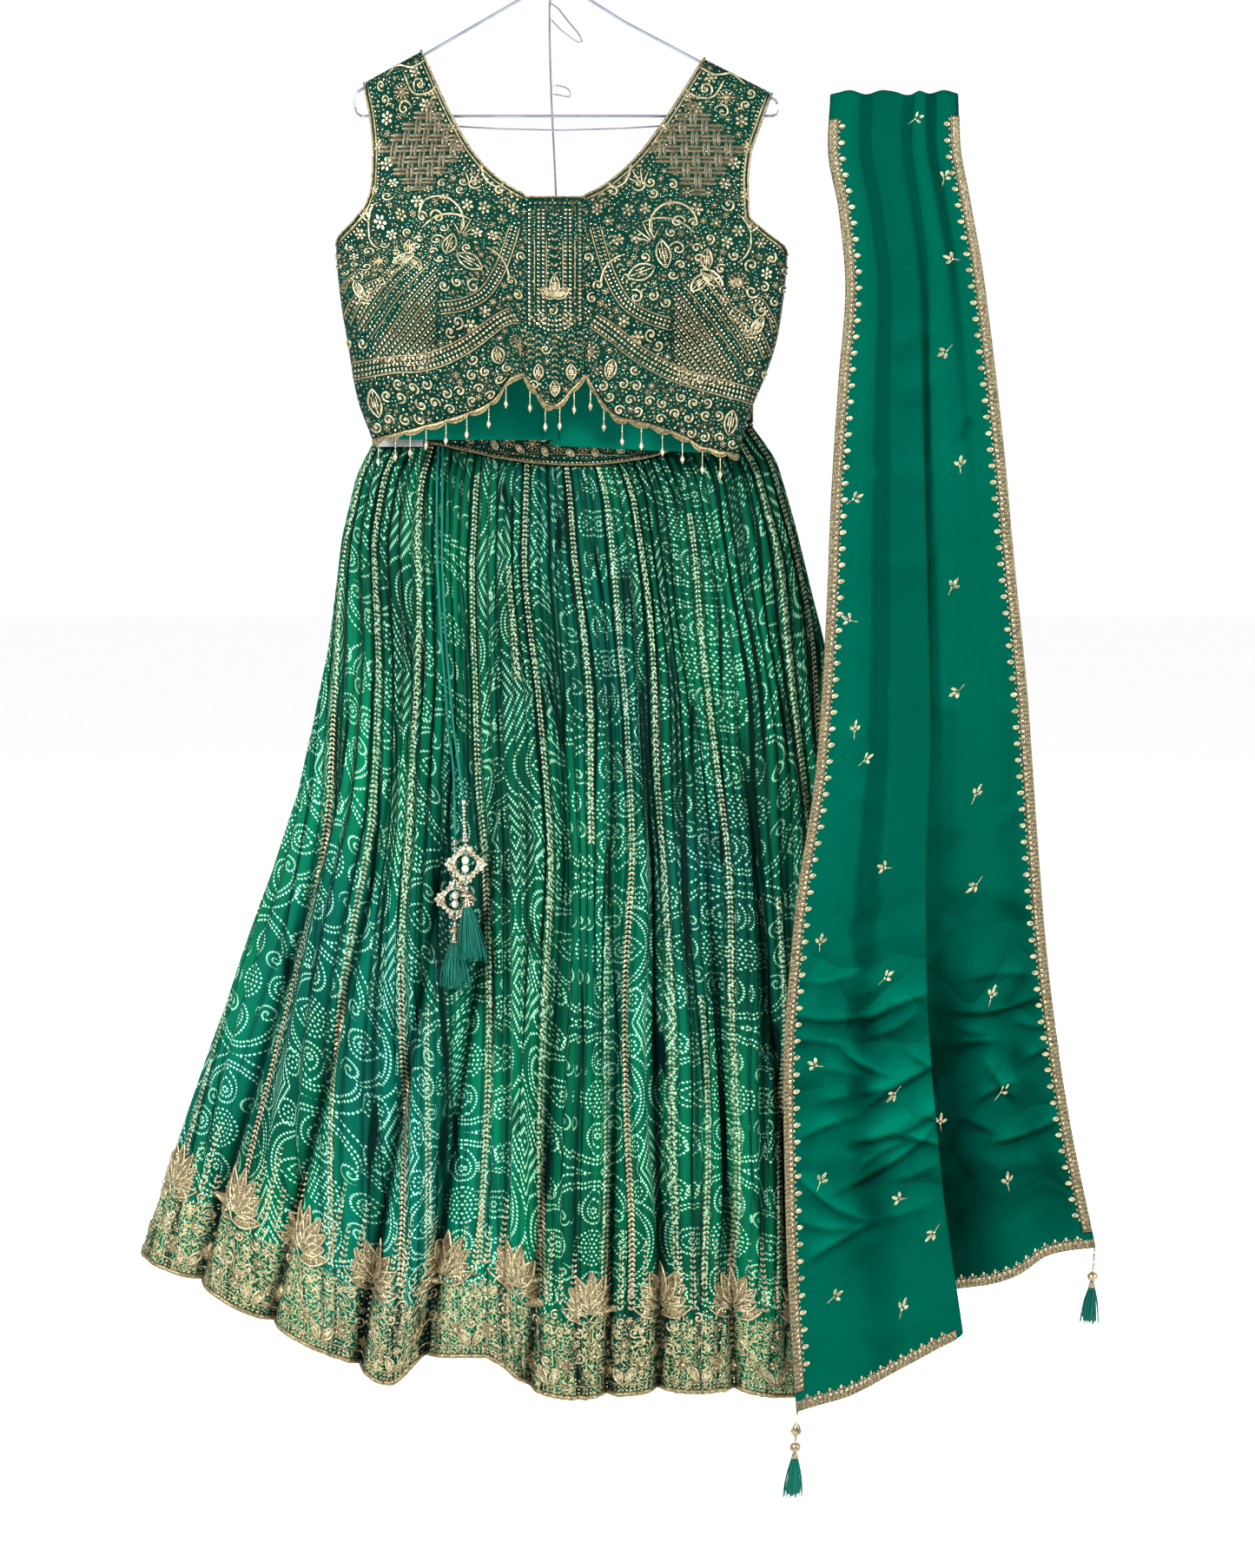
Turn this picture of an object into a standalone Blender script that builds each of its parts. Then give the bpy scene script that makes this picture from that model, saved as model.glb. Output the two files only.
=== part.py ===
"""Lehenga choli set with its dupatta, hung on a wire hanger, at its real size.

Tables and sizes are in millimetres and the meshes in metres. +X is to the right, +Z is up and
+Y goes to the wall behind. The origin is the inside top of the hanger's hook.
"""
import math

import bmesh
import bpy
import numpy as np
from mathutils import Vector

MM = 0.001
GAP = 0.3                # between sewn pieces, and between a piece and what it rests on
HALF_GAP = GAP / 2

# Cloth and trim thicknesses
CHOLI_WALL = 1.6
SKIRT_WALL = 2.2
BAND_WALL = 2.0
DUPATTA_WALL = 1.5
LACE_WALL = 1.2

# Hanger sizes
WIRE_R = 1.6
THIN_WIRE_R = 0.9
HOOK_R = 17.6            # centre line of the hook's bend
NECK_X = 3.7
NECK_TOP = -56.0
NECK_BOTTOM = -80.0
ARM_START_Z = -72.0
BAR_Z = -215.0

# Waist and clip bar
BAND_HEIGHT = 45.0
CLIP_WIDTH = 48.0
CLIP_PLATE = 2.5
CLIP_LIP = 5.5           # how far the front plate flares out at its lower end
CLIP_BAR_R = 2.0
GATHERS_FRONT = 50
GATHERS_BACK = 36
PANELS_A_SIDE = 4

# Dupatta support
ROD_R = 6.0
ROD_Y = -45.0
ROD_Z = -209.0
ROD_LEFT = 293.0
ROD_BEND = 14.0
BAR_BACK_X = 415.0
PLATE_R = 24.0
PLATE_THICK = 5.0
PLATE_BACK = 128.0

# Drawstring
CORD_R = 1.4


def table(names, rows):
    """A short table as a dictionary of columns, by name."""
    return dict(zip(names.split(), np.array(rows, float).T))


# Choli outline: v runs from the hem, 0, past the underarm, 0.5, to the shoulder seam, 1
CHOLI_LEFT = table("v side_x side_z mid_x mid_z", [
    (0.00, -191, -557, -28, -490),
    (0.12, -207, -512, -28, -450),
    (0.26, -216, -460, -27, -409),
    (0.40, -225, -404, -27, -363),
    (0.50, -229, -354, -27, -323),
    (0.57, -208, -329, -27, -308),
    (0.63, -193, -309, -41, -298),
    (0.69, -188, -289, -59, -285),
    (0.79, -187, -257, -82, -260),
    (0.89, -190, -223, -104, -224),
    (1.00, -198, -179, -140, -147)])
CHOLI_RIGHT = table("v side_x side_z mid_x mid_z", [
    (0.00, 198, -573, 36, -490),
    (0.12, 207, -535, 36, -450),
    (0.26, 225, -492, 35, -409),
    (0.40, 239, -447, 35, -363),
    (0.50, 249, -364, 35, -323),
    (0.57, 225, -341, 35, -308),
    (0.63, 206, -322, 51, -298),
    (0.69, 205, -289, 68, -285),
    (0.79, 208, -257, 92, -261),
    (0.89, 218, -226, 119, -224),
    (1.00, 231, -190, 162, -155)])
# Centre back and back neckline, on the same v
BACK_LEFT = table("v mid_x mid_z", [
    (0.00, -2.7, -557), (0.12, -2.7, -515), (0.26, -2.7, -465), (0.40, -2.7, -415),
    (0.50, -2.7, -372), (0.57, -2.7, -337), (0.63, -46, -317), (0.69, -67, -299),
    (0.79, -89, -271), (0.89, -110, -229), (1.00, -140, -147)])
BACK_RIGHT = table("v mid_x mid_z", [
    (0.00, -2.1, -563), (0.12, -2.1, -519), (0.26, -2.1, -467), (0.40, -2.1, -415),
    (0.50, -2.1, -372), (0.57, -2.1, -337), (0.63, 56, -317), (0.69, 77, -299),
    (0.79, 99, -271), (0.89, 125, -229), (1.00, 162, -155)])
# Depth of the blouse in front of and behind the hanger, and how far the armhole stands open
CHOLI_DEPTH = table("v front back open", [
    (0.00, 46, 24, 0.00),
    (0.12, 50, 25, 0.00),
    (0.26, 54, 25, 0.00),
    (0.40, 52, 24, 0.00),
    (0.50, 46, 22, 0.00),
    (0.57, 40, 20, 0.20),
    (0.63, 36, 18, 0.32),
    (0.69, 31, 16, 0.38),
    (0.79, 24, 13, 0.38),
    (0.89, 15, 9, 0.34),
    (0.96, 7, 6, 0.28),
    (1.00, 0, 0, 0.20)])
# Lower edge of the fronts: u runs from the side seam, 0, to the centre panel, 1
HEM_LEFT = table("u x z", [
    (0.00, -191, -557), (0.35, -133, -544), (0.60, -91, -532), (0.78, -62, -519),
    (0.93, -39, -492), (1.00, -28, -490)])
HEM_RIGHT = table("u x z", [
    (0.00, 198, -573), (0.25, 158, -565), (0.38, 138, -554), (0.64, 93, -540),
    (0.78, 70, -535), (0.92, 49, -513), (1.00, 36, -490)])
HEM_CENTRE = table("u x z", [
    (0.00, -28, -490), (0.14, -20, -505), (0.45, 0.5, -524), (0.80, 22, -505),
    (1.00, 36, -490)])
# Moulded cups
CUP_CENTRE_LEFT = (-112.0, -416.0)
CUP_CENTRE_RIGHT = (120.0, -416.0)
CUP_HALF_WIDTH = 70.0
CUP_RISE = 78.0
CUP_DROP = 50.0
CUP_BULGE = 25.0

# The waist's dip between its two clips, and how much of it the back has
WAIST_DIP = table("share dip", [
    (0.00, 0), (0.08, 1), (0.165, 5), (0.255, 14), (0.336, 23), (0.46, 32), (0.565, 35),
    (0.695, 31), (0.80, 20), (0.90, 8), (0.97, 1.2), (1.00, 0)])
BACK_DIP = 0.36
# Skirt sections: t runs from the waist seam, 0, to the hem, 1. "round" is how far the end
# of the oval reaches in, "gather" half a small pleat's depth, "lobe" how much of a big fold
SKIRT = table("t left right middle front back round gather lobe", [
    (0.00, -194, 214, 45, 12, 12, 6, 2.0, 0.00),
    (0.04, -211, 239, 43, 24, 19, 26, 2.6, 0.06),
    (0.12, -225, 258, 38, 43, 30, 66, 3.0, 0.18),
    (0.26, -237, 287, 32, 61, 46, 122, 2.8, 0.38),
    (0.44, -268, 323, 28, 77, 64, 195, 2.2, 0.62),
    (0.64, -325, 363, 22, 94, 82, 290, 1.4, 0.84),
    (0.83, -381, 399, 18, 107, 95, 370, 0.8, 0.95),
    (1.00, -429, 425, 15, 118, 106, 427, 0.4, 1.00)])
SKIRT_TOP_LEFT = -560.0
SKIRT_TOP_RIGHT = -542.0
# Hem height by place: a runs from the left side, 0, to the right side, 1
HEM_FRONT = table("a z", [
    (0.00, -1410), (0.10, -1433), (0.19, -1468), (0.26, -1494), (0.33, -1520),
    (0.365, -1496), (0.43, -1491), (0.49, -1529), (0.56, -1534), (0.62, -1529),
    (0.68, -1530), (0.79, -1541), (0.88, -1502), (0.95, -1446), (1.00, -1419)])
HEM_BACK = table("a z", [
    (0.00, -1410), (0.12, -1446), (0.30, -1490), (0.50, -1506), (0.70, -1492),
    (0.88, -1452), (1.00, -1419)])
# Big folds: where each ends along the hem, and how far it stands out
FOLDS_FRONT = table("end height", [
    (0.00, 0), (0.10, 14), (0.19, 16), (0.29, 18), (0.365, 22), (0.48, 18), (0.565, 20),
    (0.622, 15), (0.707, 18), (0.786, 16), (0.884, 16), (1.00, 12)])
FOLDS_BACK = table("end height", [
    (0.00, 0), (0.09, 12), (0.20, 18), (0.29, 15), (0.41, 20), (0.50, 16), (0.60, 19),
    (0.70, 16), (0.79, 18), (0.90, 17), (1.00, 12)])

# Dupatta front fall: r runs from the rod's top, 0, to the lower edge, 1
DUPATTA = table("r left right push", [
    (0.00, 291, 423, 0),
    (0.04, 288, 424, 0),
    (0.09, 299, 434, 0),
    (0.15, 306, 447, 0),
    (0.22, 299, 458, 0),
    (0.31, 291, 470, 2),
    (0.41, 285, 481, 6),
    (0.52, 274, 494, 14),
    (0.64, 250, 504, 24.8),
    (0.76, 239, 516, 32.2),
    (0.88, 241, 536, 55.0),
    (1.00, 250, 565, 68)])
# Its section: c runs across the cloth, x is a share of the width, y stands out to the front
DRAPE = table("c top_x low_x top_y low_y", [
    (0.000, 0.00, 0.000, 1, 4),
    (0.055, 0.05, 0.055, 3, 7),
    (0.160, 0.15, 0.165, 7, 13),
    (0.280, 0.28, 0.300, 1, 4),
    (0.400, 0.41, 0.440, 7, 15),
    (0.480, 0.50, 0.535, 5, 19),
    (0.500, 0.52, 0.548, 4, 17),
    (0.520, 0.54, 0.535, 3, 12),
    (0.560, 0.57, 0.460, 1, 4),
    (0.600, 0.60, 0.400, 0, -3),
    (0.620, 0.62, 0.390, 0, -6),
    (0.640, 0.64, 0.400, 1, -9),
    (0.700, 0.70, 0.560, 6, -7),
    (0.780, 0.78, 0.760, 2, 3),
    (0.880, 0.89, 0.880, 7, 0),
    (1.000, 1.00, 1.000, 2, 6)])
# Length of the fall by place across
FALL_LENGTH = table("c z", [
    (0.00, 1346), (0.24, 1323), (0.44, 1285), (0.52, 1270), (0.62, 1240), (0.72, 1234),
    (0.84, 1205), (1.00, 1197)])
FALL_BACK_SHARE = 0.86
BACK_TOP_SHARE = 0.83    # the back fall is narrower over the rod and leaves room for the bar

# Beaded drops: where each hangs along the front hem
DROPS_LEFT = (-183, -164, -148, -131, -110, -88, -65, -47)
DROPS_CENTRE = (-22, -6, 9, 24)
DROPS_RIGHT = (41, 55, 74, 94, 116, 137, 158, 177)


def smooth(xs, ys, x):
    """A curve through table points that doesn't overshoot: cubic pieces with limited slopes."""
    x = np.asarray(x, float)
    step = np.diff(xs)
    rise = np.diff(ys) / step
    slope = np.zeros(len(xs))
    both = rise[:-1] * rise[1:]
    total = np.where(both > 0, rise[:-1] + rise[1:], 1.0)
    slope[1:-1] = np.where(both > 0, 2 * both / total, 0.0)
    slope[0], slope[-1] = rise[0], rise[-1]
    k = np.clip(np.searchsorted(xs, x, side="right") - 1, 0, len(step) - 1)
    s = np.clip((x - xs[k]) / step[k], 0, 1)
    start = (1 + 2 * s) * (1 - s) ** 2 * ys[k] + s * (1 - s) ** 2 * step[k] * slope[k]
    end = s * s * (3 - 2 * s) * ys[k + 1] + s * s * (s - 1) * step[k] * slope[k + 1]
    return start + end


def read(tab, name, at):
    """A column of a table at the places asked for, along the table's first column."""
    return smooth(next(iter(tab.values())), tab[name], at)


def unit(vectors):
    """The same directions with length one."""
    length = np.linalg.norm(vectors, axis=-1, keepdims=True)
    return vectors / np.maximum(length, 1e-9)


# Scene, collections and materials

for old in list(bpy.data.objects):
    bpy.data.objects.remove(old, do_unlink=True)
parts = bpy.data.collections.new("lehenga_choli_set")
cutters = bpy.data.collections.new("joined_shapes")
bpy.context.scene.collection.children.link(parts)
bpy.context.scene.collection.children.link(cutters)


def material(name, colour, roughness, metallic=0.0):
    """A plain Principled material."""
    mat = bpy.data.materials.new(name)
    mat.use_nodes = True
    shader = mat.node_tree.nodes["Principled BSDF"]
    shader.inputs["Base Color"].default_value = (*colour, 1.0)
    shader.inputs["Roughness"].default_value = roughness
    shader.inputs["Metallic"].default_value = metallic
    return mat


EMBROIDERED = material("embroidered_green", (0.10, 0.17, 0.06), 0.55, 0.15)
LINING = material("emerald_lining", (0.0, 0.20, 0.10), 0.55)
PRINTED = material("printed_green", (0.0, 0.16, 0.09), 0.6)
SATIN = material("emerald_satin", (0.0, 0.24, 0.13), 0.38)
GOLD = material("antique_gold", (0.55, 0.42, 0.20), 0.35, 0.9)
THREAD = material("green_thread", (0.0, 0.26, 0.16), 0.6)
BEAD = material("pale_beads", (0.70, 0.66, 0.50), 0.25, 0.3)
STEEL = material("steel_wire", (0.45, 0.50, 0.56), 0.35, 0.9)
CLIP_GREY = material("grey_clip", (0.55, 0.56, 0.56), 0.45)


def add(name, mesh, mat):
    """Put a mesh in the scene as one named piece."""
    obj = bpy.data.objects.new(name, mesh)
    obj.data.materials.append(mat)
    parts.objects.link(obj)
    return obj


def wall(name, outer, inward, thickness, mat):
    """A closed cloth wall from a grid of outer points and the directions into the wall.

    Both faces are cut into triangles along the same diagonals, so the wall keeps its thickness.
    """
    rows, cols = outer.shape[:2]
    inner = outer + inward * thickness
    points = np.concatenate([outer.reshape(-1, 3), inner.reshape(-1, 3)]) * MM
    index = np.arange(rows * cols).reshape(rows, cols)
    back = index + rows * cols
    a, b, d, e = index[:-1, :-1], index[:-1, 1:], index[1:, :-1], index[1:, 1:]
    shift = rows * cols
    faces = [np.stack(t, -1).reshape(-1, 3) for t in (
        (a, b, e), (a, e, d), (a + shift, e + shift, b + shift), (a + shift, d + shift, e + shift))]
    edges = ((index[0, 1:], index[0, :-1], back[0, :-1], back[0, 1:]),
             (index[-1, :-1], index[-1, 1:], back[-1, 1:], back[-1, :-1]),
             (index[:-1, 0], index[1:, 0], back[1:, 0], back[:-1, 0]),
             (index[1:, -1], index[:-1, -1], back[:-1, -1], back[1:, -1]))
    for p, q, r, s in edges:
        faces.append(np.stack((p, q, r), -1))
        faces.append(np.stack((p, r, s), -1))
    faces = np.concatenate(faces)
    corner = points[faces]
    volume = np.einsum("ij,ij->", corner[:, 0], np.cross(corner[:, 1], corner[:, 2]))
    if volume < 0:
        faces = faces[:, ::-1]
    mesh = bpy.data.meshes.new(name)
    mesh.from_pydata(points.tolist(), [], faces.tolist())
    mesh.update()
    return add(name, mesh, mat)


def tube(name, points, radius, mat, resolution=2, ring=False):
    """A wire, cord or piping through points: a poly curve with a round bevel and closed ends."""
    curve = bpy.data.curves.new(name, "CURVE")
    curve.dimensions = "3D"
    curve.bevel_depth = radius * MM
    curve.bevel_resolution = resolution
    curve.use_fill_caps = True
    spline = curve.splines.new("POLY")
    spline.points.add(len(points) - 1)
    spline.use_cyclic_u = ring
    for point, place in zip(spline.points, np.asarray(points) * MM):
        point.co = (*place, 1.0)
    obj = bpy.data.objects.new(name, curve)
    obj.data.materials.append(mat)
    parts.objects.link(obj)
    return obj


def route(points, count):
    """A smooth curve through hand-placed points (Catmull-Rom), at even steps of its length."""
    p = np.asarray(points, float)
    p = np.concatenate([[2 * p[0] - p[1]], p, [2 * p[-1] - p[-2]]])
    s = np.linspace(0, 1, 12, endpoint=False)[:, None]
    runs = [0.5 * (2 * p[i] + (p[i + 1] - p[i - 1]) * s
                   + (2 * p[i - 1] - 5 * p[i] + 4 * p[i + 1] - p[i + 2]) * s ** 2
                   + (3 * p[i] - p[i - 1] - 3 * p[i + 1] + p[i + 2]) * s ** 3)
            for i in range(1, len(p) - 2)]
    dense = np.concatenate(runs + [p[-2:-1]])
    along = np.concatenate([[0], np.cumsum(np.linalg.norm(np.diff(dense, axis=0), axis=1))])
    even = np.linspace(0, along[-1], count)
    return np.stack([np.interp(even, along, dense[:, k]) for k in range(3)], -1)


def add_turned(bm, profile, centre, sides, lean=(0.0, 0.0)):
    """A turned shape in a bmesh: rings of (height, radius) from top to bottom, closed ends."""
    rings = []
    top = profile[0][0]
    for height, radius in profile:
        middle = np.array(centre) + (lean[0] * (top - height), lean[1] * (top - height), height)
        ring = []
        for k in range(sides):
            angle = 2 * math.pi * k / sides
            place = middle + (radius * math.cos(angle), radius * math.sin(angle), 0)
            ring.append(bm.verts.new(Vector(place) * MM))
        rings.append(ring)
    for upper, lower in zip(rings, rings[1:]):
        for k in range(sides):
            n = (k + 1) % sides
            bm.faces.new((upper[k], lower[k], lower[n], upper[n]))
    bm.faces.new(rings[0])
    bm.faces.new(rings[-1][::-1])


def turned(name, profile, centre, mat, sides=8, lean=(0.0, 0.0)):
    """A turned piece on its own."""
    bm = bmesh.new()
    add_turned(bm, profile, centre, sides, lean)
    bmesh.ops.recalc_face_normals(bm, faces=bm.faces)
    mesh = bpy.data.meshes.new(name)
    bm.to_mesh(mesh)
    bm.free()
    return add(name, mesh, mat)


def fuse(obj, bm, name):
    """Join the shapes in a bmesh to a piece with a Boolean union."""
    bmesh.ops.recalc_face_normals(bm, faces=bm.faces)
    mesh = bpy.data.meshes.new(name)
    bm.to_mesh(mesh)
    bm.free()
    tool = bpy.data.objects.new(name, mesh)
    tool.hide_render = True
    tool.display_type = "WIRE"
    cutters.objects.link(tool)
    joined = obj.modifiers.new("roots", "BOOLEAN")
    joined.operation = "UNION"
    joined.solver = "EXACT"
    joined.object = tool


# Choli

FRONT_U = (0, 0.03, 0.09, 0.18, 0.29, 0.41, 0.53, 0.65, 0.77, 0.88, 0.95, 1)
FRONT_V = (0, 0.06, 0.13, 0.20, 0.27, 0.34, 0.42, 0.50, 0.535, 0.57, 0.63, 0.71, 0.80, 0.89, 0.96,
           0.99, 1)
BACK_U = (0, 0.05, 0.16, 0.32, 0.53, 0.76, 1)
BACK_V = (0, 0.13, 0.27, 0.42, 0.50, 0.535, 0.57, 0.63, 0.71, 0.80, 0.89, 0.96, 0.99, 1)


def across(u, v):
    """How round the blouse is across: 0 at the side seam, 1 at the middle, open at the armhole."""
    return np.sqrt(1 - (1 - read(CHOLI_DEPTH, "open", v)) * (1 - u) ** 2)


def cup_height(x, z, centre):
    """The moulded cup stands out as a soft cap, steeper under the bust than above."""
    reach = np.where(z > centre[1], CUP_RISE, CUP_DROP)
    away = ((x - centre[0]) / CUP_HALF_WIDTH) ** 2 + ((z - centre[1]) / reach) ** 2
    return CUP_BULGE * np.clip(1 - away, 0, 1) ** 1.3


def over_wire(below):
    """Least depth of the blouse below the shoulder seam, where it is folded over the hanger."""
    return np.minimum(below, np.minimum(5 + 0.35 * (below - 5), 9))


def choli_grid(side, middle, hem, us, vs, face, cup=None):
    """Outer points of one blouse panel: rows run from side to middle, bent along the hem."""
    v, u = np.meshgrid(vs, us, indexing="ij")
    rows = {"side_x": side, "side_z": side, "mid_x": middle, "mid_z": middle}
    edge = {name: read(tab, name, v) for name, tab in rows.items()}
    x = (1 - u) * edge["side_x"] + u * edge["mid_x"]
    z = (1 - u) * edge["side_z"] + u * edge["mid_z"]
    if hem is not None:
        fade = np.clip(1 - v / 0.45, 0, 1) ** 2
        x += fade * (read(hem, "x", u) - ((1 - u) * hem["x"][0] + u * hem["x"][-1]))
        z += fade * (read(hem, "z", u) - ((1 - u) * hem["z"][0] + u * hem["z"][-1]))
    depth = read(CHOLI_DEPTH, face, v) * across(u, v)
    depth = np.where(v > 0.7, np.maximum(depth, over_wire(z[-1] - z)), depth)
    if cup is not None:
        depth = depth + cup_height(x, z, cup)
    sign = -1 if face == "front" else 1
    return np.stack([x, sign * np.maximum(depth, HALF_GAP), z], -1)


def into_wall(points, face):
    """Directions into the blouse's wall, from the slopes of its grid."""
    normal = unit(np.cross(np.gradient(points, axis=1), np.gradient(points, axis=0)))
    wanted = 1.0 if face == "front" else -1.0
    return normal * np.where(normal[..., 1:2] * wanted < 0, -1.0, 1.0)


def choli_inward(points, vs, face, toward_middle):
    """The same directions, turned where panels meet so that no wall crosses a seam."""
    inward = into_wall(points, face)
    below_arm = np.asarray(vs) <= 0.5
    inward[below_arm, 0] = (toward_middle, 0, 0)
    at_middle = np.asarray(vs) <= 0.57
    inward[at_middle, -1, 0] = 0
    inward[0, :, 2] = 0
    inward[-1] = (0, 0, -1)
    return unit(inward)


def choli_panel(name, side, middle, hem, face, cup, mat):
    """One front or back of the blouse."""
    us, vs = (FRONT_U, FRONT_V) if face == "front" else (BACK_U, BACK_V)
    points = choli_grid(side, middle, hem, us, vs, face, cup)
    toward_middle = 1 if points[0, 0, 0] < 0 else -1
    inward = choli_inward(points, vs, face, toward_middle)
    wall(name, points, inward, CHOLI_WALL, mat)
    return points, inward


front_left, front_left_in = choli_panel(
    "choli_front_left", CHOLI_LEFT, CHOLI_LEFT, HEM_LEFT, "front", CUP_CENTRE_LEFT, EMBROIDERED)
front_right, front_right_in = choli_panel(
    "choli_front_right", CHOLI_RIGHT, CHOLI_RIGHT, HEM_RIGHT, "front", CUP_CENTRE_RIGHT, EMBROIDERED)
back_left, back_left_in = choli_panel(
    "choli_back_left", CHOLI_LEFT, BACK_LEFT, None, "back", None, LINING)
back_right, back_right_in = choli_panel(
    "choli_back_right", CHOLI_RIGHT, BACK_RIGHT, None, "back", None, LINING)

CENTRE_U = (0, 0.14, 0.30, 0.45, 0.62, 0.80, 1)
CENTRE_V = tuple(v for v in FRONT_V if v <= 0.57)


def choli_centre():
    """The pointed centre front panel, between the two fronts."""
    rows = len(CENTRE_V)
    u = np.array(CENTRE_U)[None, :, None]
    left = front_left[:rows, -1][:, None] + (GAP, 0, 0)
    right = front_right[:rows, -1][:, None] - (GAP, 0, 0)
    points = (1 - u) * left + u * right
    fade = np.clip(1 - np.array(CENTRE_V) / 0.35, 0, 1)[:, None] ** 2
    flat = (1 - u[..., 0]) * HEM_CENTRE["z"][0] + u[..., 0] * HEM_CENTRE["z"][-1]
    points[..., 2] += fade * (read(HEM_CENTRE, "z", u[..., 0]) - flat)
    inward = into_wall(points, "front")
    inward[..., 0] = 0
    inward[0, :, 2] = 0
    inward = unit(inward)
    wall("choli_front_centre", points, inward, CHOLI_WALL, EMBROIDERED)
    return points, inward


front_centre, front_centre_in = choli_centre()


def placket():
    """The hook placket down the centre back, on the side that faces the front."""
    rows = [k for k, v in enumerate(BACK_V) if v <= 0.5]
    z_top = -352.0
    heights = np.array([back_left[k, -1, 2] for k in rows])
    heights[-1] = z_top
    depth = np.interp(-heights, -back_left[::-1, -1, 2][:], back_left[::-1, -1, 1])
    y = depth - CHOLI_WALL - GAP - 0.2
    x = np.array([-11.0, 6.0])
    points = np.zeros((len(rows), 2, 3))
    points[..., 0] = x
    points[..., 1] = y[:, None]
    points[..., 2] = heights[:, None]
    points[0, :, 2] += 1.0
    inward = np.zeros_like(points)
    inward[..., 1] = -1
    wall("choli_placket", points, inward, 1.2, LINING)


placket()


def open_edge(points, inward, vs, first_v, column, inside, reach):
    """A line beside a panel's open edge, moved out over it in the panel's own plane."""
    rows = np.array([k for k, v in enumerate(vs) if v >= first_v])
    middle = points + inward * CHOLI_WALL / 2
    edge = middle[rows, column]
    along = unit(np.gradient(edge, axis=0))
    out = edge - middle[rows, inside]
    out -= along * np.sum(out * along, axis=1, keepdims=True)
    return edge + unit(out) * reach


def neck_piping():
    """The binding of the neckline: one ring round the front and the back."""
    reach = NECK_PIPING_R + GAP + 0.2
    runs = []
    for points, inward, vs in ((front_left, front_left_in, FRONT_V), (back_left, back_left_in, BACK_V),
                               (back_right, back_right_in, BACK_V), (front_right, front_right_in, FRONT_V)):
        line = open_edge(points, inward, vs, 0.57, -1, -3, reach)
        line[-1] = points[-1, -1] + (0.8 * math.copysign(1, -points[-1, -1, 0]), 0, reach)
        line[-1, 1] = 0
        runs.append(line)
    low = (back_left[BACK_V.index(0.57), -1] + back_right[BACK_V.index(0.57), -1]) / 2
    low = low + (0, -CHOLI_WALL / 2, reach + 0.6)
    ring = np.concatenate([runs[0], runs[1][-2:0:-1], [low], runs[2][1:], runs[3][-2::-1]])
    tube("choli_neck_binding", ring, NECK_PIPING_R, GOLD, 0, ring=True)


def armhole_piping():
    """The bindings of the armholes: a ring up the front and down the back."""
    reach = ARM_PIPING_R + GAP + 0.2
    for side, front, front_in, back, back_in in (
            ("left", front_left, front_left_in, back_left, back_left_in),
            ("right", front_right, front_right_in, back_right, back_right_in)):
        out = math.copysign(1, front[-1, 0, 0])
        runs = []
        for points, inward, vs in ((front, front_in, FRONT_V), (back, back_in, BACK_V)):
            line = open_edge(points, inward, vs, 0.5, 0, 2, reach)
            line[0] = points[ARM_ROW[len(vs)], 0] + (0, 0, reach + 0.6)
            line[-1] = points[-1, 0] + (out * (reach + 0.4), 0, -0.8)
            line[0, 1] = line[-1, 1] = 0
            runs.append(line)
        ring = np.concatenate([runs[0], runs[1][-2:0:-1]])
        tube("choli_armhole_" + side, ring, ARM_PIPING_R, GOLD, 0, ring=True)


NECK_PIPING_R = 1.5
ARM_PIPING_R = 1.0
ARM_ROW = {len(FRONT_V): FRONT_V.index(0.50), len(BACK_V): BACK_V.index(0.50)}

neck_piping()
armhole_piping()

# Scalloped edging of the front hem, with its beaded drops

DROP_PROFILE = ((0.0, 0.8), (-14.0, 0.9), (-19.0, 2.4), (-23.0, 0.7))


def hem_edging(name, points, inward, drops):
    """A narrow scalloped strip under a panel's edge; the drops' roots are fused into it."""
    count = points.shape[1]
    place = np.linspace(0, count - 1, 2 * count - 1)
    edge = np.stack([np.interp(place, np.arange(count), points[0, :, k]) for k in range(3)], -1)
    into = np.stack([np.interp(place, np.arange(count), inward[0, :, k]) for k in range(3)], -1)
    upper = edge - (0, 0, GAP + 0.2)
    lower = upper.copy()
    lower[:, 2] -= np.where(np.arange(len(place)) % 2 == 1, 4.6, 2.4)
    into = unit(into)
    obj = wall(name, np.stack([upper, lower]), np.stack([into, into]), CHOLI_WALL, GOLD)
    order = np.argsort(lower[:, 0])
    middle = (lower + into * CHOLI_WALL / 2)[order]
    bm = bmesh.new()
    for x in drops:
        y, z = (np.interp(x, middle[:, 0], middle[:, k]) for k in (1, 2))
        add_turned(bm, DROP_PROFILE, (x, y, z + 1.2), 4)
    fuse(obj, bm, name + "_drops")


hem_edging("choli_drops_left", front_left, front_left_in, DROPS_LEFT)
hem_edging("choli_drops_centre", front_centre, front_centre_in, DROPS_CENTRE)
hem_edging("choli_drops_right", front_right, front_right_in, DROPS_RIGHT)

# Skirt


def waist_height(shares, face):
    """Height of the waist seam, from its left end to its right end."""
    level = SKIRT_TOP_LEFT + shares * (SKIRT_TOP_RIGHT - SKIRT_TOP_LEFT)
    return level - read(WAIST_DIP, "dip", shares) * (1.0 if face == "front" else BACK_DIP)


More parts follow.
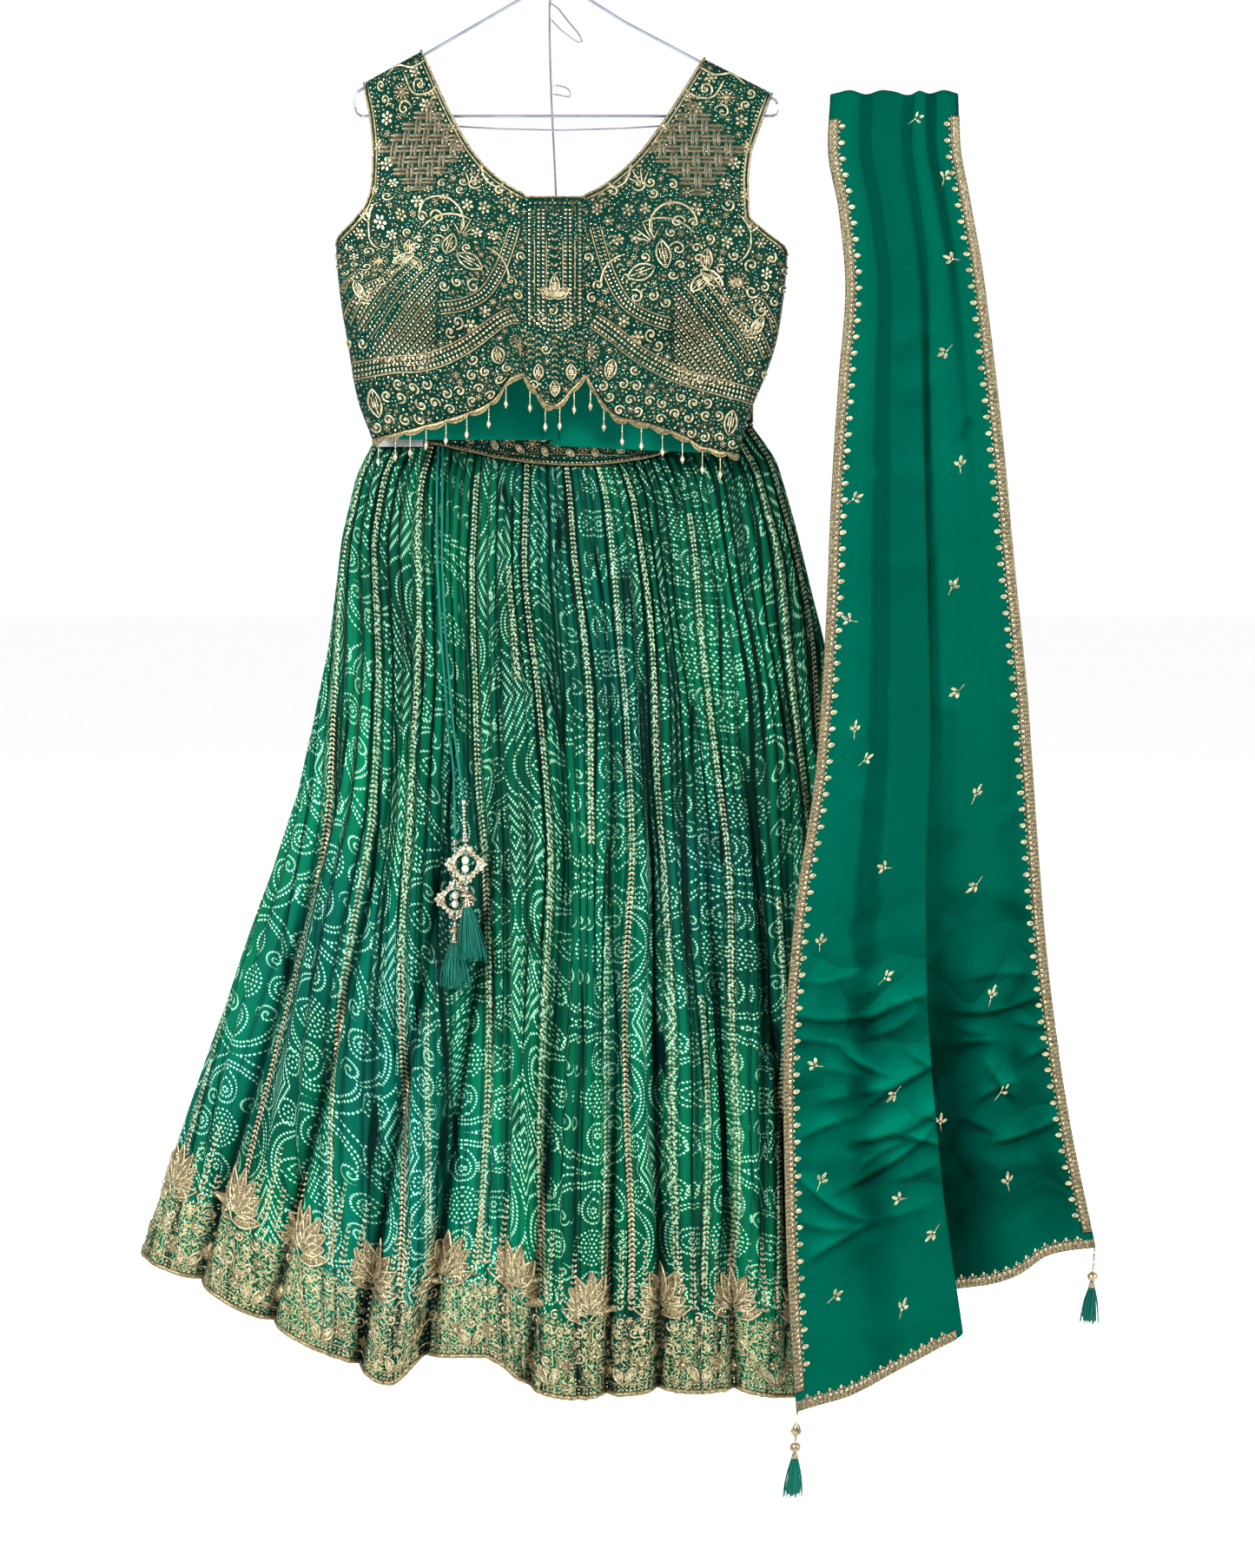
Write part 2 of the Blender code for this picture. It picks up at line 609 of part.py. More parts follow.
def section(t, face, shares):
    """A half oval at height t: points at shares of its length from left to right, and normals."""
    left, right, middle, ends = (float(read(SKIRT, n, t)) for n in ("left", "right", "middle", "round"))
    depth = float(read(SKIRT, face, t))
    sign = -1 if face == "front" else 1
    half = (right - left) / 2
    centre = (right + left) / 2
    turn = np.linspace(0, math.pi / 2, 60)
    x = np.concatenate([-(half - ends) - ends * np.cos(turn), (half - ends) + ends * np.sin(turn)])
    y = np.concatenate([depth * np.sin(turn), depth * np.cos(turn)])
    line = np.stack([centre + x, middle + sign * y], -1)
    along = np.concatenate([[0], np.cumsum(np.linalg.norm(np.diff(line, axis=0), axis=1))])
    reach = np.maximum(np.abs(x) - (half - ends), 0) / ends
    out = unit(np.stack([np.sign(x) * reach * depth / ends, sign * y / depth], -1))
    at = np.asarray(shares) * along[-1]
    place = np.stack([np.interp(at, along, line[:, k]) for k in (0, 1)], -1)
    normal = unit(np.stack([np.interp(at, along, out[:, k]) for k in (0, 1)], -1))
    return place, normal


def fold_height(folds, shares):
    """Big folds: round lobes between sharp valleys."""
    ends = folds["end"]
    k = np.clip(np.searchsorted(ends, shares, side="right") - 1, 0, len(ends) - 2)
    inside = (shares - ends[k]) / (ends[k + 1] - ends[k])
    return folds["height"][k + 1] * (1 - np.abs(2 * inside - 1) ** 2.2)


def skirt_half(face, gathers, folds, hem):
    """Outer points and inward directions of the front or the back of the skirt."""
    shares = np.linspace(0, 1, 2 * gathers + 1)
    up_and_down = np.where(np.arange(len(shares)) % 2 == 0, -1.0, 1.0)
    top = waist_height(shares, face)
    low = read(hem, "z", shares)
    outer, inward = [], []
    for t in SKIRT["t"]:
        place, normal = section(t, face, shares)
        out = read(SKIRT, "gather", t) * up_and_down + read(SKIRT, "lobe", t) * fold_height(folds, shares)
        row = np.zeros((len(shares), 3))
        row[:, :2] = place + normal * out[:, None]
        row[:, 2] = top + t * (low - top)
        outer.append(row)
        inward.append(np.concatenate([-normal, np.zeros((len(shares), 1))], axis=1))
    return np.array(outer), np.array(inward)


def skirt_panels(face, gathers, folds, hem):
    """The gathered panels of one half, with a hair's gap at each seam."""
    outer, inward = skirt_half(face, gathers, folds, hem)
    cuts = np.round(np.linspace(0, 2 * gathers, PANELS_A_SIDE + 1) / 2).astype(int) * 2
    along = np.stack([inward[..., 1], -inward[..., 0], np.zeros(inward.shape[:2])], -1)
    along *= 1.0 if face == "front" else -1.0
    for number, (start, end) in enumerate(zip(cuts, cuts[1:]), 1):
        piece = outer[:, start:end + 1].copy()
        piece[:, 0] += along[:, start] * HALF_GAP
        piece[:, -1] -= along[:, end] * HALF_GAP
        wall(f"skirt_{face}_{number}", piece, inward[:, start:end + 1], SKIRT_WALL, PRINTED)
    return outer


skirt_front = skirt_panels("front", GATHERS_FRONT, FOLDS_FRONT, HEM_FRONT)
skirt_back = skirt_panels("back", GATHERS_BACK, FOLDS_BACK, HEM_BACK)



def waist_line(face, gathers):
    """The waist's oval with its height, closer stepped round its ends: points and normals."""
    last = 2 * gathers
    steps = sorted({*range(0, 9, 2), *range(12, last - 11, 4), *range(last - 8, last + 1, 2)})
    shares = np.array(steps) / last
    place, normal = section(0.0, face, shares)
    line = np.concatenate([place, waist_height(shares, face)[:, None]], axis=1)
    return line, np.concatenate([normal, np.zeros((len(shares), 1))], axis=1)


def waistband(face, gathers):
    """A band around half of the waist, above the gathers."""
    line, normal = waist_line(face, gathers)
    low = line + normal * BAND_WALL / 2
    low[:, 2] += GAP
    high = low.copy()
    high[:, 2] += BAND_HEIGHT
    points = np.stack([high, low])
    points[:, 0, 1] += HALF_GAP if face == "back" else -HALF_GAP
    points[:, -1, 1] += HALF_GAP if face == "back" else -HALF_GAP
    wall("skirt_waistband_" + face, points, np.stack([-normal, -normal]), BAND_WALL, EMBROIDERED)


waistband("front", GATHERS_FRONT)
waistband("back", GATHERS_BACK)

PIPING_R = 1.5


def waist_piping():
    """The gold piping along the lower edge of the front waistband."""
    line, normal = waist_line("front", GATHERS_FRONT)
    line = line + normal * (BAND_WALL / 2 + PIPING_R + GAP)
    line[:, 2] += GAP + PIPING_R + 0.4
    xs = np.linspace(-134, 146, 18)
    between_clips = np.stack([xs, *(np.interp(xs, line[:, 0], line[:, k]) for k in (1, 2))], -1)
    tube("skirt_waist_piping", between_clips, PIPING_R, GOLD, 0)


waist_piping()

# Hanger, stem and clip bar


ARM_LEFT = [(-69, -111.5), (-140, -152.5), (-203, -187.0)]
ARM_RIGHT = [(76, -115.0), (162, -160.5), (233, -196.5)]
CORNER = 6.0


def arm(name, start_x, points):
    """A sloping arm that ends in a round corner, where it meets the bottom wire."""
    end_x, end_z = points[-1]
    side = math.copysign(1, end_x)
    bend = (end_z - BAR_Z) / 2
    line = [(start_x, 0, ARM_START_Z)] + [(x, 0, z) for x, z in points]
    for step in range(1, 6):
        angle = math.pi / 2 - step * math.pi / 5
        line.append((end_x + side * CORNER * math.cos(angle), 0, BAR_Z + bend + bend * math.sin(angle)))
    line.append((end_x - side * 3, 0, BAR_Z))
    tube(name, line, WIRE_R, STEEL, 1)


def hanger():
    """Hook, twisted neck, two arms, the bottom wire and the thin lower wire."""
    hook = [(HOOK_R * math.cos(a), 0, -HOOK_R + WIRE_R + HOOK_R * math.sin(a))
            for a in np.radians(np.linspace(200, -40, 13))]
    hook += [(NECK_X + 3.5, 0, -38), (NECK_X, 0, -45), (NECK_X, 0, NECK_TOP + GAP)]
    tube("hanger_hook", hook, WIRE_R, STEEL, 1)
    twist = [(0, 2.6)]
    for k in range(5):
        twist += [(-2.0 - 4.6 * k, 3.2), (-4.3 - 4.6 * k, 2.7)]
    twist.append((NECK_BOTTOM - NECK_TOP, 2.2))
    turned("hanger_neck", twist, (NECK_X, 0, NECK_TOP), STEEL)
    out = 3.2 + GAP + 0.7
    arm("hanger_arm_left", NECK_X - out, ARM_LEFT)
    arm("hanger_arm_right", NECK_X + out, ARM_RIGHT)
    ends = [ARM_LEFT[-1][0] + 3 + GAP, ARM_RIGHT[-1][0] - 3 - GAP]
    tube("hanger_bar", [(x, 0, BAR_Z) for x in ends], WIRE_R, STEEL, 1)
    below = BAR_Z - WIRE_R - THIN_WIRE_R - GAP
    low = route([(-185, 0, below), (-102, 0, -226), (3.7, 0, -230), (110, 0, -226), (205, 0, below)], 7)
    tube("hanger_bar_lower", low, THIN_WIRE_R, STEEL, 1)


hanger()

BAR_LEFT = (-178.0, 45.0, -508.0)
BAR_RIGHT = (190.0, 45.0, -491.0)


def stem():
    """The wire from the hanger's neck down behind the blouse to the clip bar, and its loop."""
    line = [(2.4, 4.65, -62), (-3.0, 5.9, -90), (-2.0, 20, -181), (3.2, 33, -300), (4.6, 41, -420),
            (4.6, 42.6, -500)]
    points = route(line, 14)
    points[-2:, 1] = 45.0
    points[-1, 2] = -499.5 + CLIP_BAR_R + GAP
    tube("stem_wire", points, THIN_WIRE_R + 0.2, STEEL, 1)
    upper = [(-3.0, 4.3, -94), (-1.5, 3.2, -97), (4, 3, -98), (16, 3, -113), (29, 3, -129), (31, 3, -137),
             (22, 3, -133), (8, 3, -122), (-1, 4.9, -112)]
    tube("stem_loop", route(upper, 17), 0.8, STEEL, 0)


def clips():
    """The bar behind the blouse and the two folded clips that grip the waistband."""
    tube("clip_bar", [BAR_LEFT, BAR_RIGHT], CLIP_BAR_R, STEEL, 1)
    front = 45.0 - 12.0 - BAND_WALL / 2 - GAP
    back = 45.0 + 12.0 + BAND_WALL / 2 + GAP
    for name, left, low, top in (("clip_left", -187.0, -564.0, -510.4),
                                 ("clip_right", 150.0, -549.0, -495.3)):
        bm = bmesh.new()
        bend = low + 20
        outline = [(front - CLIP_PLATE - CLIP_LIP, low), (front - CLIP_PLATE, bend),
                   (front - CLIP_PLATE, top), (back + CLIP_PLATE, top), (back + CLIP_PLATE, bend),
                   (back, bend), (back, top - CLIP_PLATE), (front, top - CLIP_PLATE), (front, bend),
                   (front - CLIP_LIP, low)]
        face = bm.faces.new([bm.verts.new((left * MM, y * MM, z * MM)) for y, z in outline])
        moved = bmesh.ops.extrude_face_region(bm, geom=[face])["geom"]
        corners = [g for g in moved if isinstance(g, bmesh.types.BMVert)]
        bmesh.ops.translate(bm, vec=(CLIP_WIDTH * MM, 0, 0), verts=corners)
        bmesh.ops.recalc_face_normals(bm, faces=bm.faces)
        mesh = bpy.data.meshes.new(name)
        bm.to_mesh(mesh)
        bm.free()
        add(name, mesh, CLIP_GREY)


stem()
clips()

# Drawstring with its medallions and tassels


def tassel_strands(bm, place, root, length, spread, count, lean):
    """Thread locks that hang from a tassel's head, set out in a spiral so that they stand apart."""
    rng = np.random.default_rng(int(abs(place[0]) * 7 + abs(place[2])))
    for k in range(count):
        angle = 2.399963 * k
        ring = math.sqrt((k + 0.5) / count)
        drop = length * (0.92 + 0.08 * rng.random())
        x, y = root * ring * math.cos(angle), root * ring * math.sin(angle)
        start = (place[0] + x, place[1] + y, place[2])
        wider = spread / root - 1
        turn = (x * wider / drop + lean[0], 0.3 * y * wider / drop + lean[1])
        add_turned(bm, ((0, 0.5), (-drop, 0.65)), start, 3, turn)


def tassel(name, place, head, length, spread, count, mat, lean=(0.0, 0.0)):
    """A turned head, such as a bead chain and cap, with the thread locks fused into its foot."""
    obj = turned(name, head, place, mat, 8, lean)
    bm = bmesh.new()
    down = -head[-1][0] - 1.2
    foot = (place[0] + lean[0] * down, place[1] + lean[1] * down, place[2] - down)
    tassel_strands(bm, foot, head[-1][1] - 0.9, length, spread, count, lean)
    fuse(obj, bm, name + "_threads")


def medallion(name, x, y, z, mat, tilt):
    """An openwork metal medallion: a lobed outline about a round hole, cut from flat sheet."""
    curve = bpy.data.curves.new(name, "CURVE")
    curve.dimensions = "2D"
    curve.fill_mode = "BOTH"
    curve.extrude = 1.1 * MM
    for count, radius, lobe, scallop, way in ((40, MEDALLION_R, 0.16, 0.045, 1), (16, HOLE_R, 0, 0, -1)):
        outline = curve.splines.new("POLY")
        outline.points.add(count - 1)
        outline.use_cyclic_u = True
        for k, point in enumerate(outline.points):
            angle = way * 2 * math.pi * k / count
            reach = radius * (1 + lobe * math.cos(4 * angle) + scallop * math.cos(20 * angle)) * MM
            point.co = (reach * math.cos(angle), reach * math.sin(angle), 0, 1)
    obj = bpy.data.objects.new(name, curve)
    obj.data.materials.append(mat)
    obj.location = (x * MM, y * MM, z * MM)
    obj.rotation_euler = (math.pi / 2 + tilt, 0, 0)
    parts.objects.link(obj)


MEDALLION_R = 18.1
HOLE_R = 10.4
CORD_1 = [(-118.5, 29.0, -563.8), (-118.5, 26.8, -571), (-118.2, 22.2, -582), (-118.0, 18.6, -590),
          (-117.5, 9.3, -615), (-116.4, -6.0, -660), (-115.5, -15.3, -690), (-113.6, -22.5, -720),
          (-111.8, -27.8, -750), (-109.6, -33.0, -780), (-106.6, -38.5, -810), (-103.6, -44.0, -840),
          (-100.0, -50.0, -870), (-95.0, -59.5, -900), (-89.5, -71.5, -931)]
CORD_2 = [(-123.0, 29.2, -563.0), (-123.1, 26.3, -571), (-123.3, 21.8, -582), (-123.5, 18.7, -590),
          (-123.0, 9.0, -615), (-121.7, -6.9, -660), (-120.5, -14.5, -690), (-118.5, -22.0, -720),
          (-116.4, -28.2, -750), (-114.2, -34.4, -780), (-111.5, -38.4, -810), (-108.9, -42.2, -840),
          (-105.8, -44.8, -870), (-101.9, -48.0, -900), (-100.4, -52.5, -932), (-99.2, -60.5, -955),
          (-98.2, -66.5, -973)]
CHAIN_1 = ((0.0, 1.0), (-2.5, 3.6), (-6.0, 3.4), (-8.0, 1.3), (-34.0, 1.3), (-38.0, 3.4),
           (-42.5, 5.2), (-44.5, 1.2))
CHAIN_2 = ((0.0, 1.0), (-2.5, 3.4), (-5.5, 3.2), (-7.5, 1.3), (-31.0, 1.3), (-34.0, 3.0),
           (-37.5, 4.6), (-39.5, 1.2))
HANG_SLOPE = -0.17       # the skirt pushes what hangs from the cords forward
PEARL_PROFILE = ((0.0, 0.8), (-1.6, 1.2), (-5.5, 4.1), (-9.2, 1.7), (-10.2, 1.7), (-13.9, 4.1),
                 (-17.8, 1.2), (-19.4, 0.8))
BELL_PROFILE = ((0.0, 1.0), (-2.0, 3.0), (-6.0, 5.4), (-8.0, 7.6), (-9.5, 7.2), (-11.5, 2.6),
                (-13.0, 3.8), (-21.0, 4.6))


def drawstring(n, points, chain, length, spread, aside):
    """One end of the drawstring: cord, knot and beads, medallion, pearls, cap and tassel."""
    tube(f"dori_cord_{n}", route(points, 2 * len(points)), CORD_R, THREAD, 1)
    x, y, z = np.array(points[-1]) - (0, 0, 0.8)
    lean = (0.0, HANG_SLOPE)
    turned(f"dori_chain_{n}", chain, (x, y, z), GOLD, 6, lean)
    half = MEDALLION_R * 1.205
    middle = GAP + half - chain[-1][0]
    medallion(f"dori_medallion_{n}", x, y + HANG_SLOPE * middle, z - middle, GOLD, math.atan(HANG_SLOPE))
    high = middle + PEARL_PROFILE[-1][0] / 2
    turned(f"dori_pearls_{n}", PEARL_PROFILE, (x, y + HANG_SLOPE * high, z - high), BEAD, 6, lean)
    low = middle + half + GAP
    tassel(f"dori_tassel_{n}", (x, y + HANG_SLOPE * low, z - low), BELL_PROFILE, length,
           spread, 13, GOLD, (aside, HANG_SLOPE))


drawstring(1, CORD_1, CHAIN_1, 54.0, 14.0, 0.02)
drawstring(2, CORD_2, CHAIN_2, 47.0, 17.0, 0.06)

# Dupatta

ACROSS = (0, 0.055, 0.11, 0.16, 0.22, 0.28, 0.40, 0.44, 0.48, 0.50, 0.52, 0.56, 0.60, 0.62,
          0.64, 0.67, 0.70, 0.74, 0.78, 0.83, 0.88, 0.945, 1)
DOWN = (0.02, 0.05, 0.10, 0.16, 0.23, 0.32, 0.42, 0.53, 0.65, 0.77, 0.88, 0.987, 1)
BACK_ACROSS = (0, 0.055, 0.16, 0.28, 0.40, 0.50, 0.62, 0.74, 0.84, 0.945, 1)
BACK_DOWN = (0.02, 0.07, 0.16, 0.30, 0.46, 0.63, 0.80, 0.985, 1)
ROD_CLEAR = 0.5


def fall_row(c, r, low_share):
    """Places across the cloth at one depth r: x, and how far it stands to the front."""
    width = read(DUPATTA, "right", r) - read(DUPATTA, "left", r)
    share = (1 - low_share) * read(DRAPE, "top_x", c) + low_share * read(DRAPE, "low_x", c)
    stand = (1 - low_share) * read(DRAPE, "top_y", c) + low_share * read(DRAPE, "low_y", c)
    return read(DUPATTA, "left", r) + width * share, stand


def pushed(x, r):
    """How far the skirt beside it pushes the cloth forward, most at the left edge."""
    left = read(DUPATTA, "left", r)
    share = np.clip((x - left) / (read(DUPATTA, "right", r) - left), 0, 1)
    return read(DUPATTA, "push", r) * (1 - share) ** 1.2


def front_fall():
    """Outer points of the front fall, from the rod's top over its front and down."""
    c = np.array(ACROSS)
    rows = []
    radius = ROD_R + ROD_CLEAR + DUPATTA_WALL
    for angle in (88, 45, 0):
        x, stand = fall_row(c, 0.0, 0.0)
        turn = math.radians(angle)
        rows.append(np.stack([x, ROD_Y - (radius + stand) * math.cos(turn),
                              ROD_Z + (radius + stand * 0.7) * math.sin(turn)], -1))
    for r in DOWN:
        x, stand = fall_row(c, r, r ** 0.8)
        z = ROD_Z + radius - r * read(FALL_LENGTH, "z", c)
        rows.append(np.stack([x, ROD_Y - radius - stand - pushed(x, r), z], -1))
    return np.array(rows)


def back_fall():
    """Outer points of the back fall, which hangs behind the front one and ends higher."""
    c = np.array(BACK_ACROSS)
    rows = []
    radius = ROD_R + ROD_CLEAR + DUPATTA_WALL
    for angle in (92, 135, 180):
        x, stand = fall_row(c * BACK_TOP_SHARE, 0.0, 0.0)
        turn = math.radians(angle)
        rows.append(np.stack([x, ROD_Y - (radius + 0.4 * stand) * math.cos(turn),
                              ROD_Z + (radius + 0.4 * stand) * math.sin(turn)], -1))
    for r in BACK_DOWN:
        s = r * FALL_BACK_SHARE
        width = read(DUPATTA, "right", s) - read(DUPATTA, "left", s)
        spread = min(1.0, 5 * r)
        far = (1 - spread) * BACK_TOP_SHARE + spread * 0.97
        x = read(DUPATTA, "left", s) + width * (0.03 * spread + (far - 0.03 * spread) * c)
        wave = 2.2 * np.sin(2 * math.pi * 3 * c + 0.7) * min(1, 4 * r)
        y = ROD_Y + radius - pushed(x, s) + wave
        z = ROD_Z + radius - s * read(FALL_LENGTH, "z", c)
        rows.append(np.stack([x, y, z], -1))
    return np.array(rows)


def fall_inward(points, face):
    """Directions into the cloth from the outer face of a fall."""
    normal = unit(np.cross(np.gradient(points, axis=1), np.gradient(points, axis=0)))
    edge = normal[:, :1, 1:2] if face == "front" else -normal[:, :1, 1:2]
    flip = -1.0 if float(edge[-1, 0, 0]) < 0 else 1.0
    normal = normal * flip
    normal[0] = (0, 0, -1)
    return normal


def lace(name, points, inward, rows, cols):
    """A strip of lace on a fall: the cloth's own points there, moved out, short of the next strip."""
    part = points[rows, cols].copy()
    part[-1] += unit(part[-2] - part[-1]) * GAP
    into = inward[rows, cols]
    wall(name, part - into * (GAP + LACE_WALL), into, LACE_WALL, GOLD)


fall_front = front_fall()
fall_front_in = fall_inward(fall_front, "front")
wall("dupatta_front", fall_front, fall_front_in, DUPATTA_WALL, SATIN)
fall_back = back_fall()
fall_back_in = fall_inward(fall_back, "back")
wall("dupatta_back", fall_back, fall_back_in, DUPATTA_WALL, SATIN)

FIRST_FOLD = ACROSS.index(0.48)
LAST_FOLD = ACROSS.index(0.74)
every = slice(None)
lace("dupatta_lace_left", fall_front, fall_front_in, slice(1, -1), slice(0, 2))
lace("dupatta_lace_right", fall_front, fall_front_in, slice(1, -1), slice(-2, None))
lace("dupatta_lace_end_left", fall_front, fall_front_in, slice(-2, None), slice(0, FIRST_FOLD))
lace("dupatta_lace_end_right", fall_front, fall_front_in, slice(-2, None), slice(LAST_FOLD, None))
lace("dupatta_back_lace_left", fall_back, fall_back_in, slice(2, -1), slice(0, 2))
lace("dupatta_back_lace_right", fall_back, fall_back_in, slice(2, -1), slice(-2, None))
lace("dupatta_back_lace_end", fall_back, fall_back_in, slice(-2, None), every)

CORNER_LEFT = ((0.0, 0.7), (-10.0, 0.7), (-12.0, 1.6), (-19.0, 5.6), (-26.0, 1.2), (-30.0, 1.0),
               (-32.0, 3.6), (-35.5, 5.6), (-39.0, 3.4), (-41.0, 2.2), (-46.0, 3.8))
CORNER_RIGHT = ((0.0, 0.7), (-22.0, 0.7), (-25.0, 1.2), (-27.5, 3.6), (-30.5, 5.6), (-33.5, 3.4),
                (-35.5, 2.2), (-41.0, 3.8))


def corner_tassels():
    """One beaded tassel under each of the dupatta's four corners."""
    for name, points, inward, col, shape, length, lean in (
            ("dupatta_tassel_1", fall_front, fall_front_in, 0, CORNER_LEFT, 42.0, -0.06),
            ("dupatta_tassel_2", fall_front, fall_front_in, -1, CORNER_RIGHT, 40.0, -0.08),
            ("dupatta_tassel_3", fall_back, fall_back_in, 0, CORNER_LEFT, 42.0, 0.05),
            ("dupatta_tassel_4", fall_back, fall_back_in, -1, CORNER_RIGHT, 40.0, 0.05)):
        place = points[-1, col] + inward[-1, col] * DUPATTA_WALL / 2
        side = 1.2 if col == 0 else -1.2
        place = place + (side, 0, -GAP)
        tassel(name, tuple(place), shape, length, 10.0, 11, BEAD, (lean, 0.0))


corner_tassels()


def rod_and_plate():
    """The bent bar under the top fold, hidden behind the front fall, and its plate on the wall."""
    bend_x = BAR_BACK_X - ROD_BEND
    bar = [(ROD_LEFT, ROD_Y, ROD_Z)]
    for step in range(7):
        turn = step * math.pi / 12
        bar.append((bend_x + ROD_BEND * math.sin(turn), ROD_Y + ROD_BEND * (1 - math.cos(turn)), ROD_Z))
    bar.append((BAR_BACK_X, PLATE_BACK - PLATE_THICK - GAP, ROD_Z))
    tube("dupatta_rod", bar, ROD_R, STEEL, 2)
    plate = turned("dupatta_wall_plate", ((PLATE_THICK / 2, PLATE_R), (-PLATE_THICK / 2, PLATE_R)),
                   (0, 0, 0), STEEL, 24)
    plate.rotation_euler = (math.pi / 2, 0, 0)
    plate.location = (BAR_BACK_X * MM, (PLATE_BACK - PLATE_THICK / 2) * MM, ROD_Z * MM)


rod_and_plate()
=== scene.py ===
# %% [markdown]
# # Dressing a lehenga set that hangs on a wire hanger
# The outfit has a sleeveless blouse, the choli, a gathered skirt, the lehenga, and a long stole,
# the dupatta. A plain model of it is loaded first and stays as the fixed frame. Each soft piece
# is then made again here as a finer surface with its folds, print, lace and embroidery. It would
# be possible to sculpt the cloth by hand, but surfaces from formulas stay exactly where the plain
# pieces are and can be made as fine as each finish needs.

# %% Load the plain model
import collections
import math

import bpy
import numpy as np
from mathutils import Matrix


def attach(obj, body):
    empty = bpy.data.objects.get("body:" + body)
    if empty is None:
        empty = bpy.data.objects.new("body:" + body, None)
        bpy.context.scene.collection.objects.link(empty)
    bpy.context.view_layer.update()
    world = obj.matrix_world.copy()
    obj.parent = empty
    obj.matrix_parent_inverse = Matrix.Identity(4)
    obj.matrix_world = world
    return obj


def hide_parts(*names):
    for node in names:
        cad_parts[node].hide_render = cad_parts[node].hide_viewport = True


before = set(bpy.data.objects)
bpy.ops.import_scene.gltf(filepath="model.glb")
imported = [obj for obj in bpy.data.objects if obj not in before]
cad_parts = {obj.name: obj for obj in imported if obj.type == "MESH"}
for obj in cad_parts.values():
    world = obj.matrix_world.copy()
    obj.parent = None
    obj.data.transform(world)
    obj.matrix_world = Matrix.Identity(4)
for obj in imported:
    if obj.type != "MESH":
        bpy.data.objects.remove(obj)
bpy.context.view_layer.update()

BODY = "root"
MM = 0.001

# %% [markdown]
# The camera stands 2.7 m in front of the hanger and looks straight at the wall, at about the
# height of the skirt's waist. A long lens keeps the outfit's proportions, as a person who backs
# away to fit the whole set in would. The picture is slid down in the frame with the lens shift,
# which keeps the hanging lines upright, where tilting the camera would make them lean.

# %% Camera
PHOTO_HEIGHT = 1806           # pixels
HORIZON = 661                 # the pixel row level with the lens
VIEW_HEIGHT = 1.6615          # metres of the hanger's plane in view
CAMERA = (0.0796, -2.7, -0.70)

lens = bpy.data.cameras.new("camera")
lens.sensor_width = 36.0
lens.lens = lens.sensor_width * -CAMERA[1] / VIEW_HEIGHT
lens.shift_y = -(PHOTO_HEIGHT / 2 - HORIZON) / PHOTO_HEIGHT
camera = bpy.data.objects.new("camera", lens)
camera.location = CAMERA
camera.rotation_euler = (math.pi / 2, 0.0, 0.0)
bpy.context.scene.collection.objects.link(camera)
bpy.context.scene.camera = camera
print("lens", round(lens.lens, 1), "mm, shift", round(lens.shift_y, 3))


# %% [markdown]
# The shapes come from short tables of measured places. Between two places a cubic piece is used
# whose slopes are limited, so that a hem or a neckline never swings past the numbers in the table.
# Straight lines between the places would show as corners, and a plain spline would overshoot.

# %% Tables and smooth curves
def table(names, rows):
    """A short table as a dictionary of columns, by name."""
    return dict(zip(names.split(), np.array(rows, float).T))


def smooth(xs, ys, x):
    """Cubic pieces through the places; a slope is the harmonic mean of its two neighbours."""
    x = np.asarray(x, float)
    step = np.diff(xs)
    rise = np.diff(ys) / step
    slope = np.zeros(len(xs))
    both = rise[:-1] * rise[1:]
    total = np.where(both > 0, rise[:-1] + rise[1:], 1.0)
    slope[1:-1] = np.where(both > 0, 2 * both / total, 0.0)
    slope[0], slope[-1] = rise[0], rise[-1]
    k = np.clip(np.searchsorted(xs, x, side="right") - 1, 0, len(step) - 1)
    s = np.clip((x - xs[k]) / step[k], 0, 1)
    start = (1 + 2 * s) * (1 - s) ** 2 * ys[k] + s * (1 - s) ** 2 * step[k] * slope[k]
    end = s * s * (3 - 2 * s) * ys[k + 1] + s * s * (s - 1) * step[k] * slope[k + 1]
    return start + end


def read(tab, name, at):
    """A column of a table at any place along its first column."""
    return smooth(next(iter(tab.values())), tab[name], at)


# %% [markdown]
# Every shape also needs a few plain measures: directions of length one, the length walked along a
# line of points, soft steps and bumps, and a smooth route through given points.
# Blender's own curves could carry such a route, but points in arrays can be bent further.

# %% Lengths, steps and routes
def unit(vectors):
    """The same directions with length one."""
    return vectors / np.maximum(np.linalg.norm(vectors, axis=-1, keepdims=True), 1e-9)


def walked(points):
    """How far along a line each of its points lies."""
    return np.concatenate([[0], np.cumsum(np.linalg.norm(np.diff(points, axis=0), axis=1))])


def places_at(at, along, points):
    """Points of a line at the given distances along it."""
    return np.stack([np.interp(at, along, points[:, k]) for k in range(points.shape[1])], -1)


def ramp(value):
    """The value, kept from 0 to 1."""
    return np.clip(value, 0, 1)


def bell(offset, width):
    """A soft bump: 1 in its middle, and e to the power of minus the square of offset over width."""
    return np.exp(-(offset / width) ** 2)


def turns(count):
    """Angles at even steps round a circle."""
    return np.linspace(0, 2 * math.pi, count, endpoint=False)


